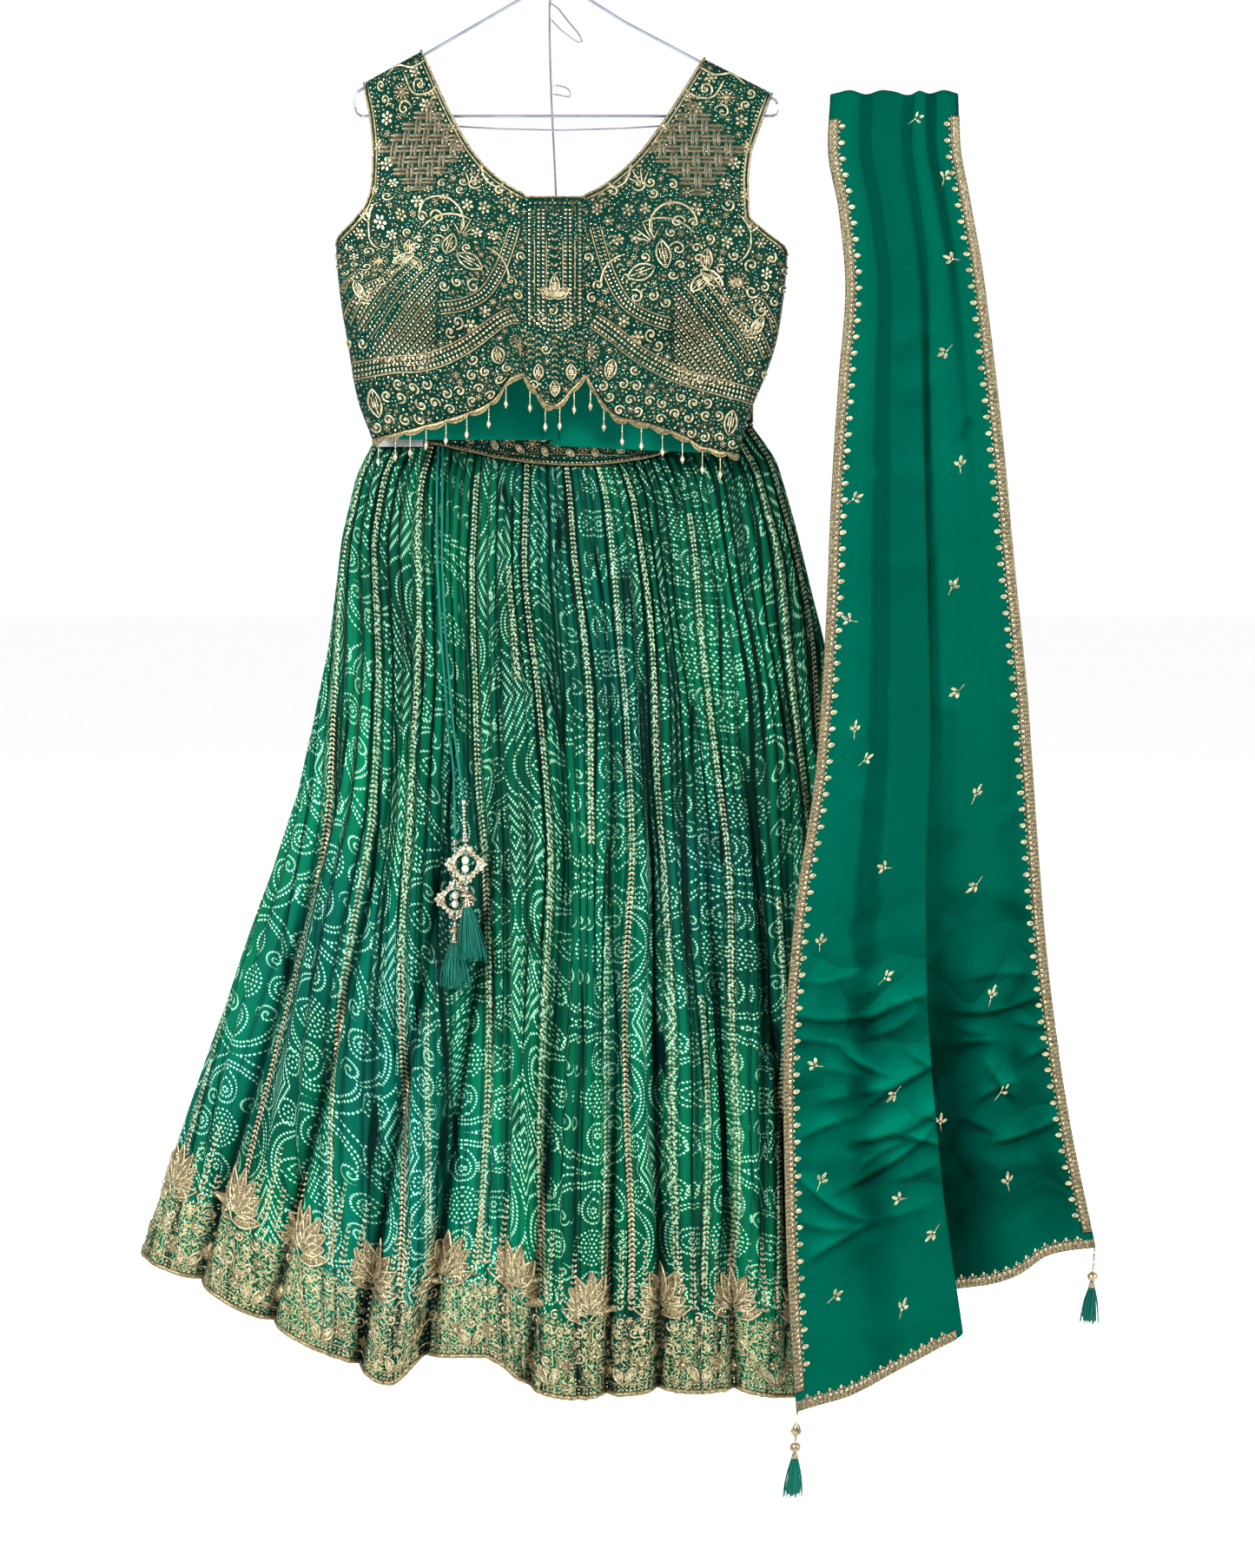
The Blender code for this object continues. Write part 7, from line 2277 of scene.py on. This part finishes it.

# %% [markdown]
# ## The dupatta
# One length of satin lies over a bar and falls in front and behind. Across, the front fall has
# a few soft pleats and one deep fold that turns back under itself. Down, it widens and its lower
# end slants. Each row blends a gathered section at the bar into a loose one at the foot, and the
# skirt beside it pushes it forward. Light creases are added as soft troughs in listed places.
# The lower half was pressed when it was folded away, so sharper folds cross it there: each rises
# slowly to a line and drops quickly behind it. They are listed by the ends of their lines, because
# creases made by a noise look like bubbles.

# %% Dupatta tables
DUPATTA = table("r left right push", [
    (0.00, 291, 423, 0), (0.04, 288, 424, 0), (0.09, 299, 434, 0), (0.15, 306, 447, 0),
    (0.22, 299, 458, 0), (0.31, 291, 470, 2), (0.41, 285, 481, 6), (0.52, 274, 494, 14),
    (0.64, 250, 504, 24.8), (0.76, 239, 516, 32.2), (0.88, 241, 536, 55.0), (1.00, 250, 565, 68)])
DRAPE = table("c top_x low_x top_y low_y", [
    (0.000, 0.00, 0.000, 1, 4), (0.055, 0.05, 0.055, 3, 7), (0.160, 0.15, 0.165, 7, 13),
    (0.280, 0.28, 0.300, 1, 4), (0.400, 0.41, 0.440, 7, 15), (0.480, 0.50, 0.535, 5, 19),
    (0.500, 0.52, 0.548, 4, 17), (0.520, 0.54, 0.535, 3, 12), (0.560, 0.57, 0.460, 1, 4),
    (0.600, 0.60, 0.400, 0, -3), (0.620, 0.62, 0.390, 0, -6), (0.640, 0.64, 0.400, 1, -9),
    (0.700, 0.70, 0.560, 6, -7), (0.780, 0.78, 0.760, 2, 3), (0.880, 0.89, 0.880, 7, 0),
    (1.000, 1.00, 1.000, 2, 6)])
FALL_LENGTH = table("c z", [
    (0.00, 1346), (0.24, 1323), (0.44, 1285), (0.52, 1270), (0.62, 1240), (0.72, 1234),
    (0.84, 1205), (1.00, 1197)])
ROD_Y, ROD_Z = -45.0, -209.0
ROD_TO_CLOTH = 8.0
BACK_TOP_SHARE = 0.83         # the back fall's share of the width at the bar
BACK_LONG_SHARE = 0.86        # and of the front fall's length
DUPATTA_WALL = 1.5
LACE_WALL = 1.2
print("stole:", FALL_LENGTH["z"].max(), "mm long at its left edge")


# %% [markdown]
# The tables become rows of points: c runs across the cloth and r down it. The creases and the
# pressed folds are heights that are added to how far a row stands to the front.

# %% Rows, creases and pressed folds
def fall_row(c, r, low_share):
    """Places across the cloth at one depth: x, and how far it stands to the front."""
    width = read(DUPATTA, "right", r) - read(DUPATTA, "left", r)
    share = (1 - low_share) * read(DRAPE, "top_x", c) + low_share * read(DRAPE, "low_x", c)
    stand = (1 - low_share) * read(DRAPE, "top_y", c) + low_share * read(DRAPE, "low_y", c)
    return read(DUPATTA, "left", r) + width * share, stand


def pushed(x, r):
    """How far the skirt beside it pushes the cloth forward, most at the left edge."""
    left = read(DUPATTA, "left", r)
    share = ramp((x - left) / (read(DUPATTA, "right", r) - left))
    return read(DUPATTA, "push", r) * (1 - share) ** 1.2


def creases(c, r, rows):
    """Soft troughs and ridges: each is a bell across a slanted line that fades at its ends."""
    total = np.zeros(np.broadcast(c, r).shape)
    for at_c, at_r, slant, wide, reach, height in rows:
        off, along = (r - at_r) - slant * (c - at_c), c - at_c
        size = height * (2.0 if height > 0 else 1.4)
        total = total + size * bell(off, wide) * np.exp(-(along / reach) ** 4)
    return total


PRESS_HEIGHT, PRESS_RISE, PRESS_DROP = 2.6, 14.0, 3.6    # mm


def pressed(x, z, rows):
    """Pressed folds: each rises slowly from above to a slightly bowed line and drops quickly below.

    Its height is a power of e of minus the distance from the line, faded at the line's two ends.
    """
    total = np.zeros(np.broadcast(x, z).shape)
    for k, (x0, z0, x1, z1, size) in enumerate(rows):
        length = math.hypot(x1 - x0, z1 - z0)
        way_x, way_z = (x1 - x0) / length, (z1 - z0) / length
        share = 2 * ((x - x0) * way_x + (z - z0) * way_z) / length - 1
        bow = (0.05 if k % 2 else -0.06) * length * (1 - share ** 2).clip(-1, 1)
        off = (z - z0) * way_x - (x - x0) * way_z - bow
        fall = np.where(off > 0, PRESS_RISE, PRESS_DROP)
        total = total + PRESS_HEIGHT * size * np.exp(-np.abs(off) / fall) * np.exp(-share ** 4)
    return total


# %% [markdown]
# The lines of the pressed folds and the places of the creases are short lists that were set
# fold by fold, as an even spread would look made up.

# %% Where folds and creases lie
PRESSED = [                   # both ends of each line (x, z) and its size
    (249, -1153, 344, -1151, 1.0), (322, -1163, 386, -1133, 1.0), (333, -1176, 377, -1151, 0.7),
    (251, -1178, 302, -1186, 0.8), (297, -1186, 344, -1215, 1.0), (325, -1248, 410, -1199, 1.3),
    (321, -1234, 381, -1210, 0.8), (257, -1278, 313, -1257, 1.0), (311, -1283, 401, -1246, 1.2),
    (345, -1272, 406, -1289, 1.1), (301, -1327, 392, -1267, 1.3), (316, -1311, 362, -1280, 0.8),
    (256, -1318, 323, -1360, 1.2), (262, -1399, 332, -1363, 1.2), (369, -1192, 405, -1209, 0.8),
    (374, -1256, 410, -1263, 0.7), (257, -1359, 307, -1365, 0.7), (278, -1208, 322, -1219, 0.6),
    (351, -1320, 395, -1305, 0.7), (273, -1242, 312, -1238, 0.6), (418, -1153, 503, -1139, 1.1),
    (414, -1189, 459, -1184, 0.9), (452, -1206, 480, -1243, 1.2), (442, -1244, 479, -1226, 1.0),
    (457, -1287, 527, -1265, 1.2), (414, -1262, 458, -1277, 1.0), (420, -1169, 449, -1175, 0.6),
    (491, -1204, 527, -1188, 1.0), (482, -1164, 521, -1169, 0.7), (458, -1320, 502, -1310, 0.6),
    (258, -1120, 317, -1111, 0.6), (434, -1120, 492, -1115, 0.6), (341, -1359, 390, -1344, 0.5),
    (262, -880, 330, -874, 0.4), (300, -930, 352, -944, 0.4), (352, -470, 398, -452, 0.6),
    (360, -520, 402, -498, 0.6), (350, -600, 392, -612, 0.5), (340, -700, 390, -690, 0.4),
    (262, -700, 300, -712, 0.4)]
FRONT_CREASES = [             # place (c, r), slant, width, reach, height
    (0.22, 0.375, 0.02, 0.006, 0.20, -1.8), (0.78, 0.385, -0.03, 0.007, 0.20, -1.6),
    (0.30, 0.56, 0.05, 0.009, 0.18, -2.0), (0.82, 0.52, 0.06, 0.008, 0.14, 1.8),
    (0.20, 0.66, -0.10, 0.010, 0.16, -2.6), (0.34, 0.70, 0.12, 0.012, 0.14, 2.4),
    (0.12, 0.74, 0.10, 0.009, 0.10, -2.2), (0.26, 0.78, -0.14, 0.012, 0.16, -3.0),
    (0.38, 0.83, 0.10, 0.010, 0.10, 2.6), (0.16, 0.87, 0.16, 0.011, 0.14, 2.4),
    (0.30, 0.90, -0.10, 0.010, 0.16, -2.4), (0.84, 0.70, 0.12, 0.012, 0.12, -2.6),
    (0.76, 0.78, -0.16, 0.010, 0.12, 2.2), (0.90, 0.84, 0.10, 0.010, 0.08, -2.2),
    (0.80, 0.90, -0.12, 0.012, 0.12, -2.6), (0.86, 0.62, -0.08, 0.008, 0.10, 1.8),
    (0.14, 0.50, 0.08, 0.007, 0.10, 1.5), (0.44, 0.47, -0.06, 0.008, 0.08, -1.4),
    (0.20, 0.29, 0.10, 0.007, 0.10, 1.2), (0.84, 0.28, -0.10, 0.007, 0.10, -1.4),
    (0.36, 0.965, 0.06, 0.012, 0.12, 2.2)]
BACK_CREASES = [
    (0.30, 0.36, 0.03, 0.010, 0.30, -1.0), (0.70, 0.50, -0.05, 0.012, 0.25, 1.2),
    (0.25, 0.66, 0.08, 0.012, 0.20, -1.3), (0.60, 0.78, -0.08, 0.012, 0.25, 1.2),
    (0.80, 0.88, 0.06, 0.012, 0.16, -1.2)]


print("pressed folds:", len(PRESSED), "creases:", len(FRONT_CREASES) + len(BACK_CREASES))

# %% [markdown]
# Both falls start on top of the bar, where the rows turn round it, and then hang. Simulated cloth
# would find its own way over the bar, but its pleats would not come where these do.

# %% Dupatta falls
def front_fall(across, down):
    """The front fall, from the rod's top over its front and down."""
    c = across
    rows = []
    for angle in np.linspace(88, 0, 9):
        x, stand = fall_row(c, 0.0, 0.0)
        turn = math.radians(angle)
        rows.append(np.stack([x, ROD_Y - (ROD_TO_CLOTH + stand) * math.cos(turn),
                              ROD_Z + (ROD_TO_CLOTH + stand * 0.7) * math.sin(turn)], -1))
    for r in down:
        x, stand = fall_row(c, r, r ** 0.8)
        z = ROD_Z + ROD_TO_CLOTH - r * read(FALL_LENGTH, "z", c)
        stand = stand + (creases(c, r, FRONT_CREASES) + pressed(x, z, PRESSED)) * min(1.0, 12 * r)
        rows.append(np.stack([x, ROD_Y - ROD_TO_CLOTH - stand - pushed(x, r), z], -1))
    return np.array(rows)


def back_fall(across, down):
    """The back fall, which hangs behind the front one and ends higher."""
    c = across
    rows = []
    for angle in np.linspace(92, 180, 7):
        x, stand = fall_row(c * BACK_TOP_SHARE, 0.0, 0.0)
        turn = math.radians(angle)
        rows.append(np.stack([x, ROD_Y - (ROD_TO_CLOTH + 0.4 * stand) * math.cos(turn),
                              ROD_Z + (ROD_TO_CLOTH + 0.4 * stand) * math.sin(turn)], -1))
    for r in down:
        s = r * BACK_LONG_SHARE
        width = read(DUPATTA, "right", s) - read(DUPATTA, "left", s)
        spread = min(1.0, 5 * r)
        far = (1 - spread) * BACK_TOP_SHARE + spread * 0.97
        x = read(DUPATTA, "left", s) + width * (0.03 * spread + (far - 0.03 * spread) * c)
        wave = 2.2 * np.sin(2 * math.pi * 3 * c + 0.7) * min(1, 4 * r) + creases(c, r, BACK_CREASES)
        z = ROD_Z + ROD_TO_CLOTH - s * read(FALL_LENGTH, "z", c)
        rows.append(np.stack([x, ROD_Y + ROD_TO_CLOTH - pushed(x, s) + wave, z], -1))
    return np.array(rows)


def fall_inward(points, face):
    """Directions into the cloth from the outer face of a fall."""
    normal = grid_normals(points)
    edge = normal[-1, 0, 1] if face == "front" else -normal[-1, 0, 1]
    normal = normal * (-1.0 if edge < 0 else 1.0)
    normal[0] = (0, 0, -1)
    return normal


FALL_C = np.linspace(0, 1, 131)
FALL_R = np.concatenate([np.linspace(0.012, 0.64, 80), np.linspace(0.642, 0.9, 128),
                         np.linspace(0.904, 1, 22)])    # closest where the pressed folds are
front_points = front_fall(FALL_C, FALL_R)
front_into = fall_inward(front_points, "front")
BACK_C = np.linspace(0, 1, 61)
BACK_R = np.linspace(0.02, 1, 90)
back_points = back_fall(BACK_C, BACK_R)
back_into = fall_inward(back_points, "back")


# %% [markdown]
# The satin's finish needs the cloth's flat coordinates and its two marks. The marks are worked out
# from the same points, so that light and dark lie on the folds even where they are too shallow
# for the lamps to show. Both falls are kept as readable surfaces, for the lace and the sprigs.

# %% Satin marks and both falls
def flat_uv(points):
    """Flat coordinates in metres from the lengths along the rows and down the columns."""
    across = np.cumsum(np.linalg.norm(np.diff(points, axis=1, prepend=points[:, :1]), axis=2), axis=1)
    down = np.cumsum(np.linalg.norm(np.diff(points, axis=0, prepend=points[:1]), axis=2), axis=0)
    return np.tile((np.stack([across, down], -1) * MM).reshape(-1, 2), (2, 1))


def painted_light_marks(points, outward):
    """Valley: painted shade, by how far each place lies behind the mean of its row's neighbours, at most
    0.6.

    The front fall also gets painted shade behind its deep fold and on a broad band of its upper folds,
    and it is darker on its right and at its foot. Where a pressed fold drops it gets painted shade, and
    where one rises a painted highlight, in proportion to the slope.
    """
    y = points[..., 1] * outward
    padded = np.pad(y, ((0, 0), (8, 8)), mode="edge")
    mean = sum(padded[:, k:k + y.shape[1]] for k in range(17)) / 17
    c, r = np.linspace(0, 1, y.shape[1])[None], np.linspace(0, 1, y.shape[0])[:, None]
    # painted shade where the cloth lies behind its neighbours
    painted_shade = np.clip((mean - y) / np.interp(r, (0, 0.4, 1), (0.9, 2.0, 6.0)), 0, 0.6)
    lit = np.zeros(y.shape)
    if outward < 0:
        # painted shade behind the deep fold and on the upper folds; darker on the right and at the foot
        painted_shade = np.maximum(painted_shade, 0.88 * bell(c - 0.70, 0.045) * ramp((r - 0.35) / 0.3))
        painted_shade = painted_shade + 0.17 * ramp((c - 0.68) / 0.06) + 0.1 * ramp((r - 0.86) / 0.05)
        painted_shade = np.maximum(painted_shade, 0.35 * bell(c - 0.42, 0.16) * ramp((0.5 - r) / 0.2))
        x, _, z = np.moveaxis(points, -1, 0)
        slope = np.gradient(pressed(x, z, PRESSED), axis=0) / np.gradient(z, axis=0)
        # painted shade where a pressed fold drops, a painted highlight where it rises
        painted_shade = np.clip(painted_shade + np.clip(slope * 1.9, 0, 0.72), 0, 0.9)
        lit = ramp(-slope * 5.5)
    return {"valley": np.tile(painted_shade.ravel(), 2), "lit": np.tile(lit.ravel(), 2)}


dupatta_front, dupatta_back = (
    piece(f"dupatta_{face}_satin", shell(points, points + into * DUPATTA_WALL), SATIN,
          flat_uv(points), painted_light_marks(points, outward), stands_for=[f"dupatta_{face}"])
    for face, points, into, outward in (("front", front_points, front_into, -1),
                                        ("back", back_points, back_into, 1)))
FALL_FRONT = Surface(FALL_C, np.concatenate([np.linspace(-0.01, 0.01, 9), FALL_R]), front_points,
                     (0, -1, 0))
FALL_BACK = Surface(BACK_C, np.concatenate([np.linspace(-0.012, 0.01, 7), BACK_R]), back_points,
                    (0, 1, 0))


# %% [markdown]
# The lace is a narrow braided band with a row of small gold leaves on its inner side. It is sewn
# along both long edges and both ends. The band is a strip of the cloth's own surface, lifted off
# by its thickness.

# %% Lace bands
def strip(surface, a, b, lift, thick):
    """A band on a surface over two rows of places, as a closed wall of its own thickness."""
    out, normal = surface.at(a, b, lift + thick)
    return shell(out, out - normal * thick)


def edge_band(surface, side, first, last, count, width):
    """A band of even width down a long edge: the edge's place and a place that much further in."""
    r = np.linspace(first, last, count)
    near = np.zeros(count) if side == "left" else np.ones(count)
    step_in = surface.at(0.04 if side == "left" else 0.96, r)[0] - surface.at(near, r)[0]
    step = 0.04 * width / np.maximum(np.linalg.norm(step_in, axis=1), 1e-6)
    far = near + (step if side == "left" else -step)
    share = np.linspace(0, 1, 5)
    a = near[:, None] * (1 - share) + far[:, None] * share
    return a, np.repeat(r[:, None], 5, 1)


lace_bands = []               # name, surface, rows of places, plain piece
for name, surface, side, first, last, plain in (
        ("left", FALL_FRONT, "left", 0.02, 0.986, "lace_left"),
        ("right", FALL_FRONT, "right", 0.02, 0.986, "lace_right"),
        ("back_left", FALL_BACK, "left", 0.03, 0.984, "back_lace_left"),
        ("back_right", FALL_BACK, "right", 0.03, 0.984, "back_lace_right")):
    lace_bands.append((name, surface, edge_band(surface, side, first, last, 260, 10.0), plain))
for name, surface, first, last, plain in (("end_left", FALL_FRONT, 0.0, 0.47, "lace_end_left"),
                                          ("end_right", FALL_FRONT, 0.665, 1.0, "lace_end_right"),
                                          ("back_end", FALL_BACK, 0.0, 1.0, "back_lace_end")):
    places = np.meshgrid(np.linspace(first, last, 90), np.linspace(0.9925, 1.0, 5), indexing="ij")
    lace_bands.append((name, surface, places, plain))
lace_pieces = [piece(f"dupatta_lace_{name}_band", strip(surface, *places, GAP, LACE_WALL), DULL_THREAD,
                     stands_for=[f"dupatta_{plain}"])
               for name, surface, places, plain in lace_bands]

# %% [markdown]
# On the band lie two rows of sequins, and inward from it stand the lace's small leaves, one on each
# scallop of a fine cord. The field of the stole carries single sprigs of three leaves, placed as
# they lie on the photographed one and loosely alike behind.

# %% Lace leaves and sprigs
LACE_LIFT = GAP + LACE_WALL + SINK
SPRIG_SIZE = 17.0
SPRIGS = [                    # places (c, r)
    (0.67, 0.022), (0.83, 0.074), (0.80, 0.142), (0.73, 0.217), (0.76, 0.316), (0.13, 0.316),
    (0.72, 0.416), (0.13, 0.410), (0.73, 0.503), (0.17, 0.497), (0.223, 0.522), (0.77, 0.596),
    (0.346, 0.615), (0.77, 0.671), (0.115, 0.658), (0.354, 0.702), (0.79, 0.770), (0.123, 0.751),
    (0.377, 0.795), (0.692, 0.863), (0.79, 0.851), (0.123, 0.838), (0.369, 0.876), (0.45, 0.913),
    (0.777, 0.925), (0.146, 0.925), (0.338, 0.957)]
BACK_SPRIGS = [(0.2 + 0.27 * (k % 3) + 0.05 * ((k * 7) % 3), 0.07 + 0.052 * k) for k in range(17)]


def edge_place(surface, side, first, last):
    """Places flat marks (mm in from a long edge, mm along it); and the edge's length."""
    r = np.linspace(first, last, 300)
    near = 0.0 if side == "left" else 1.0
    step = 0.04 if side == "left" else -0.04
    edge = surface.at(np.full(300, near), r)[0]
    along = walked(edge)
    per = step / np.linalg.norm(surface.at(np.full(300, near + step), r)[0] - edge, axis=1)

    def place(flat, lift):
        b = np.interp(flat[:, 1], along, r)
        return surface.at(near + flat[:, 0] * np.interp(flat[:, 1], along, per), b, lift)
    return along[-1], place


def end_place(surface, first, last):
    """Places flat marks (mm up from the lower end, mm along it); and the end's length."""
    c = np.linspace(first, last, 200)
    edge = surface.at(c, np.full(200, surface.b[-1]))[0]
    along = walked(edge)
    per = 0.05 / np.linalg.norm(surface.at(c, np.full(200, surface.b[-1] - 0.05))[0] - edge, axis=1)

    def place(flat, lift):
        a = np.interp(flat[:, 1], along, c)
        return surface.at(a, surface.b[-1] - flat[:, 0] * np.interp(a, c, per), lift)
    return along[-1], place


def lace_drawing(length, high=9.4, pitch=17.0, leaf_size=9.5):
    """Sequin rows on the band, and a leaf with a sequin on every scallop; X goes inward."""
    d = Drawing(-2, 0, 24, length, 5)
    d.row("stone", [(7.4, 0), (7.4, length / 2), (7.4, length)], 5.5, 3.0, 2.6, 0.9, base=LACE_LIFT)
    for x, turn in ((1.6, 0.8), (3.4, -0.8), (5.4, 0.8)):
        d.row("thread", [(x, 0), (x, length / 2), (x, length)], 4.4, 3.8, 1.7, 0.9, turn, base=LACE_LIFT)
    for y in np.arange(pitch / 2, length - pitch / 2 + 1, pitch):
        d.ovals("bright", high + leaf_size * 0.46, y, leaf_size, leaf_size * 0.62, 0.0, 1.8, 8, 0.2)
        for sign in (1, -1):
            d.ovals("bright", high + 1.2, y + sign * leaf_size * 0.52, leaf_size * 0.62,
                    leaf_size * 0.28, sign * 0.9, 1.4, 6, 0.3)
        d.sequins(high + leaf_size * 0.36, y, 3.2, 2.6)
    return d


lace_jobs = {"front": [], "back": []}
for face, surface, first in (("front", FALL_FRONT, 0.02), ("back", FALL_BACK, 0.03)):
    for side in ("left", "right"):
        length, place = edge_place(surface, side, first, 0.984)
        lace_jobs[face].append((lace_drawing(length), place))
    for low, high in (((0.02, 0.47), (0.68, 0.98)) if face == "front" else ((0.02, 0.98),)):
        length, place = end_place(surface, low, high)
        lace_jobs[face].append((lace_drawing(length, 8.6, 12.0, 6.0), place))


# %% [markdown]
# A sprig is drawn round a spot of its own. One scale across and one down serve for all of it,
# because the cloth hardly widens over so small a motif.

# %% Sprigs of the stole
def sprig_place(surface, c, r):
    """Places a sprig drawn in millimetres round the spot (c, r)."""
    spot = surface.at(np.array([c, c + 0.02, c]), np.array([r, r, r + 0.02]))[0]
    wide, high = (np.linalg.norm(spot[k] - spot[0]) / 0.02 for k in (1, 2))

    def place(flat, lift):
        return surface.at(c + flat[:, 0] / wide, r - flat[:, 1] / high, lift)
    return place


for face, surface, spots in (("front", FALL_FRONT, SPRIGS), ("back", FALL_BACK, BACK_SPRIGS)):
    for k, (c, r) in enumerate(spots):
        d = Drawing(-12, -12, 12, 12, 2)
        sprig(d, 0.0, 0.0, SPRIG_SIZE, (0.3, 0.9, 2.6, 3.6, 1.4)[k % 5], "bright")
        lace_jobs[face].append((d, sprig_place(surface, c, r)))
lace_stitches = {face: sew(f"dupatta_{face}_stitch", jobs) for face, jobs in lace_jobs.items()}

# %% [markdown]
# Each corner of the stole carries a tassel: dark brass beads on a fine cord, and under them a sheaf
# of green threads like the drawstring's, but smaller. The two left corners have a diamond bead and
# a ring bead, the two right ones a string of small beads first. One turned profile serves for each.

# %% Corner tassels
CORNER_LEFT = ((0.0, 1.0), (-10.0, 1.0), (-11.0, 1.8), (-14.0, 3.4), (-19.0, 6.2), (-23.0, 3.4),
               (-26.0, 1.3), (-30.0, 1.0), (-31.0, 2.6), (-33.0, 5.2), (-35.5, 5.8), (-38.0, 5.0),
               (-39.6, 2.8), (-41.0, 2.0), (-42.5, 3.2), (-46.0, 3.8))
CORNER_RIGHT = ((0.0, 0.7), (-3.0, 1.5), (-5.0, 0.7), (-8.0, 1.5), (-10.0, 0.7), (-13.0, 1.5),
                (-15.0, 0.7), (-18.0, 1.5), (-20.0, 0.7), (-24.0, 1.2), (-26.0, 2.8), (-28.0, 5.2),
                (-30.5, 5.8), (-33.0, 4.6), (-34.6, 2.8), (-35.5, 2.2), (-37.0, 3.2), (-41.0, 3.8))
CORNER_SIDES = ((0, CORNER_LEFT, 42.0), (-1, CORNER_RIGHT, 40.0))    # column, beads, thread length
corner_pieces = []
for n, (grid, into, leans) in enumerate(((front_points, front_into, (-0.06, -0.08)),
                                         (back_points, back_into, (0.05, 0.05)))):
    for k, ((col, shape, length), lean) in enumerate(zip(CORNER_SIDES, leans), 2 * n + 1):
        spot = grid[-1, col] + into[-1, col] * DUPATTA_WALL / 2 + (-1.2 if col else 1.2, 0, -GAP)
        foot = spot + np.array([lean, 0.0, -1.0]) * (-shape[-1][0] - 1.5)
        threads = threads_shape(foot, 3.0, length, 11.0, 30, (lean, 0.0), 60 + k)
        plain = [f"dupatta_tassel_{k}"]
        corner_pieces += [
            piece(f"dupatta_tassel_{k}_beads", turned(shape, spot, 14, (lean, 0.0)), BRASS,
                  stands_for=plain),
            piece(f"dupatta_tassel_{k}_threads", threads, CORD_THREAD, stands_for=plain)]

# %% [markdown]
# The hanger's wires, the stem with its clip bar and the bar under the stole already have the right
# shape, so they stay and only get a better finish. One small curl of wire at the stem was too fine
# for the plain model, so it is a tube of its own along a listed path.

# %% Wires and clips
STEEL_NODES = ("hanger_hook hanger_neck hanger_arm_left hanger_arm_right hanger_bar hanger_bar_lower "
               "stem_wire stem_loop clip_bar dupatta_rod dupatta_wall_plate").split()
for finish, names in ((STEEL, STEEL_NODES), (CLIP_PLASTIC, ["clip_left", "clip_right"])):
    for name in names:
        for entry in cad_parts[name].material_slots:
            entry.material = finish
CURL = [(-2.2, 20.0, -178.7), (3.2, 17.6, -178.9), (11.9, 17.2, -180.5), (18.3, 17.4, -185.0),
        (17.3, 17.8, -190.8), (8.9, 18.0, -189.5), (1.6, 18.2, -188.2), (-2.0, 20.0, -185.0)]
piece("stem_curl_wire", tube(route(CURL, 25), 1.0, 8), STEEL)

# %% [markdown]
# Each sheet of cloth says how it was cut before it was gathered or hung, so that the model can be
# compared with real cloth. The cut is read off the sheet's own flat coordinates: their width, their
# length, and the area that they cover on one of the two faces.

# %% State the cut of every sheet
def cut_of(sheet):
    """Width, length and area of a sheet's flat coordinates, for one of its faces."""
    layer = sheet.data.uv_layers["cloth"]
    flat = np.zeros(2 * len(sheet.data.loops))
    layer.data.foreach_get("uv", flat)
    corner = flat.reshape(-1, 3, 2)
    first, second = corner[:, 1] - corner[:, 0], corner[:, 2] - corner[:, 0]
    area = np.abs(first[:, 0] * second[:, 1] - first[:, 1] * second[:, 0]).sum() / 4
    size = np.ptp(corner.reshape(-1, 2), axis=0)
    return tuple(round(float(s), 3) for s in size), round(float(area), 4)


def state(sheet, trims=()):
    """Prints a sheet's cut, from its flat coordinates; the pieces sewn to it, trims, are not used."""
    flat, area = cut_of(sheet)
    print(f"{sheet.name}: cut {flat[0]} x {flat[1]} m, {area} m2")


for sheet in skirt_sheets:
    face = "front" if "_front_" in sheet.name else "back"
    piping = [hem_piping] if face == "front" else []
    trims = [*skirt_stitches[face], *piping] if "_1_" in sheet.name else []
    state(sheet, trims)
for sheet in waist_sheets:
    trims = [waist_piping, *band_stitches] if "front" in sheet.name else []
    state(sheet, trims)
CHOLI_TRIMS = {"choli_front_left_cloth": [*hem_trims["left"], *bindings[:2]],
               "choli_front_right_cloth": [*hem_trims["right"], bindings[2]],
               "choli_front_centre_cloth": [*hem_trims["centre"], *choli_stitches["front"]],
               "choli_back_left_cloth": [placket, *choli_stitches["back"]]}
for sheet in choli_sheets:
    state(sheet, CHOLI_TRIMS.get(sheet.name, []))
lace = {"front": [p for p in lace_pieces if "back" not in p.name],
        "back": [p for p in lace_pieces if "back" in p.name]}
state(dupatta_front,
      lace["front"] + lace_stitches["front"] + corner_pieces[:4])
state(dupatta_back, lace["back"] + lace_stitches["back"] + corner_pieces[4:])

# %% [markdown]
# Last, the plain pieces that still show are printed.

# %% Plain pieces that still show
for name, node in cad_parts.items():
    if not node.hide_render:
        print("plain piece that shows:", name)
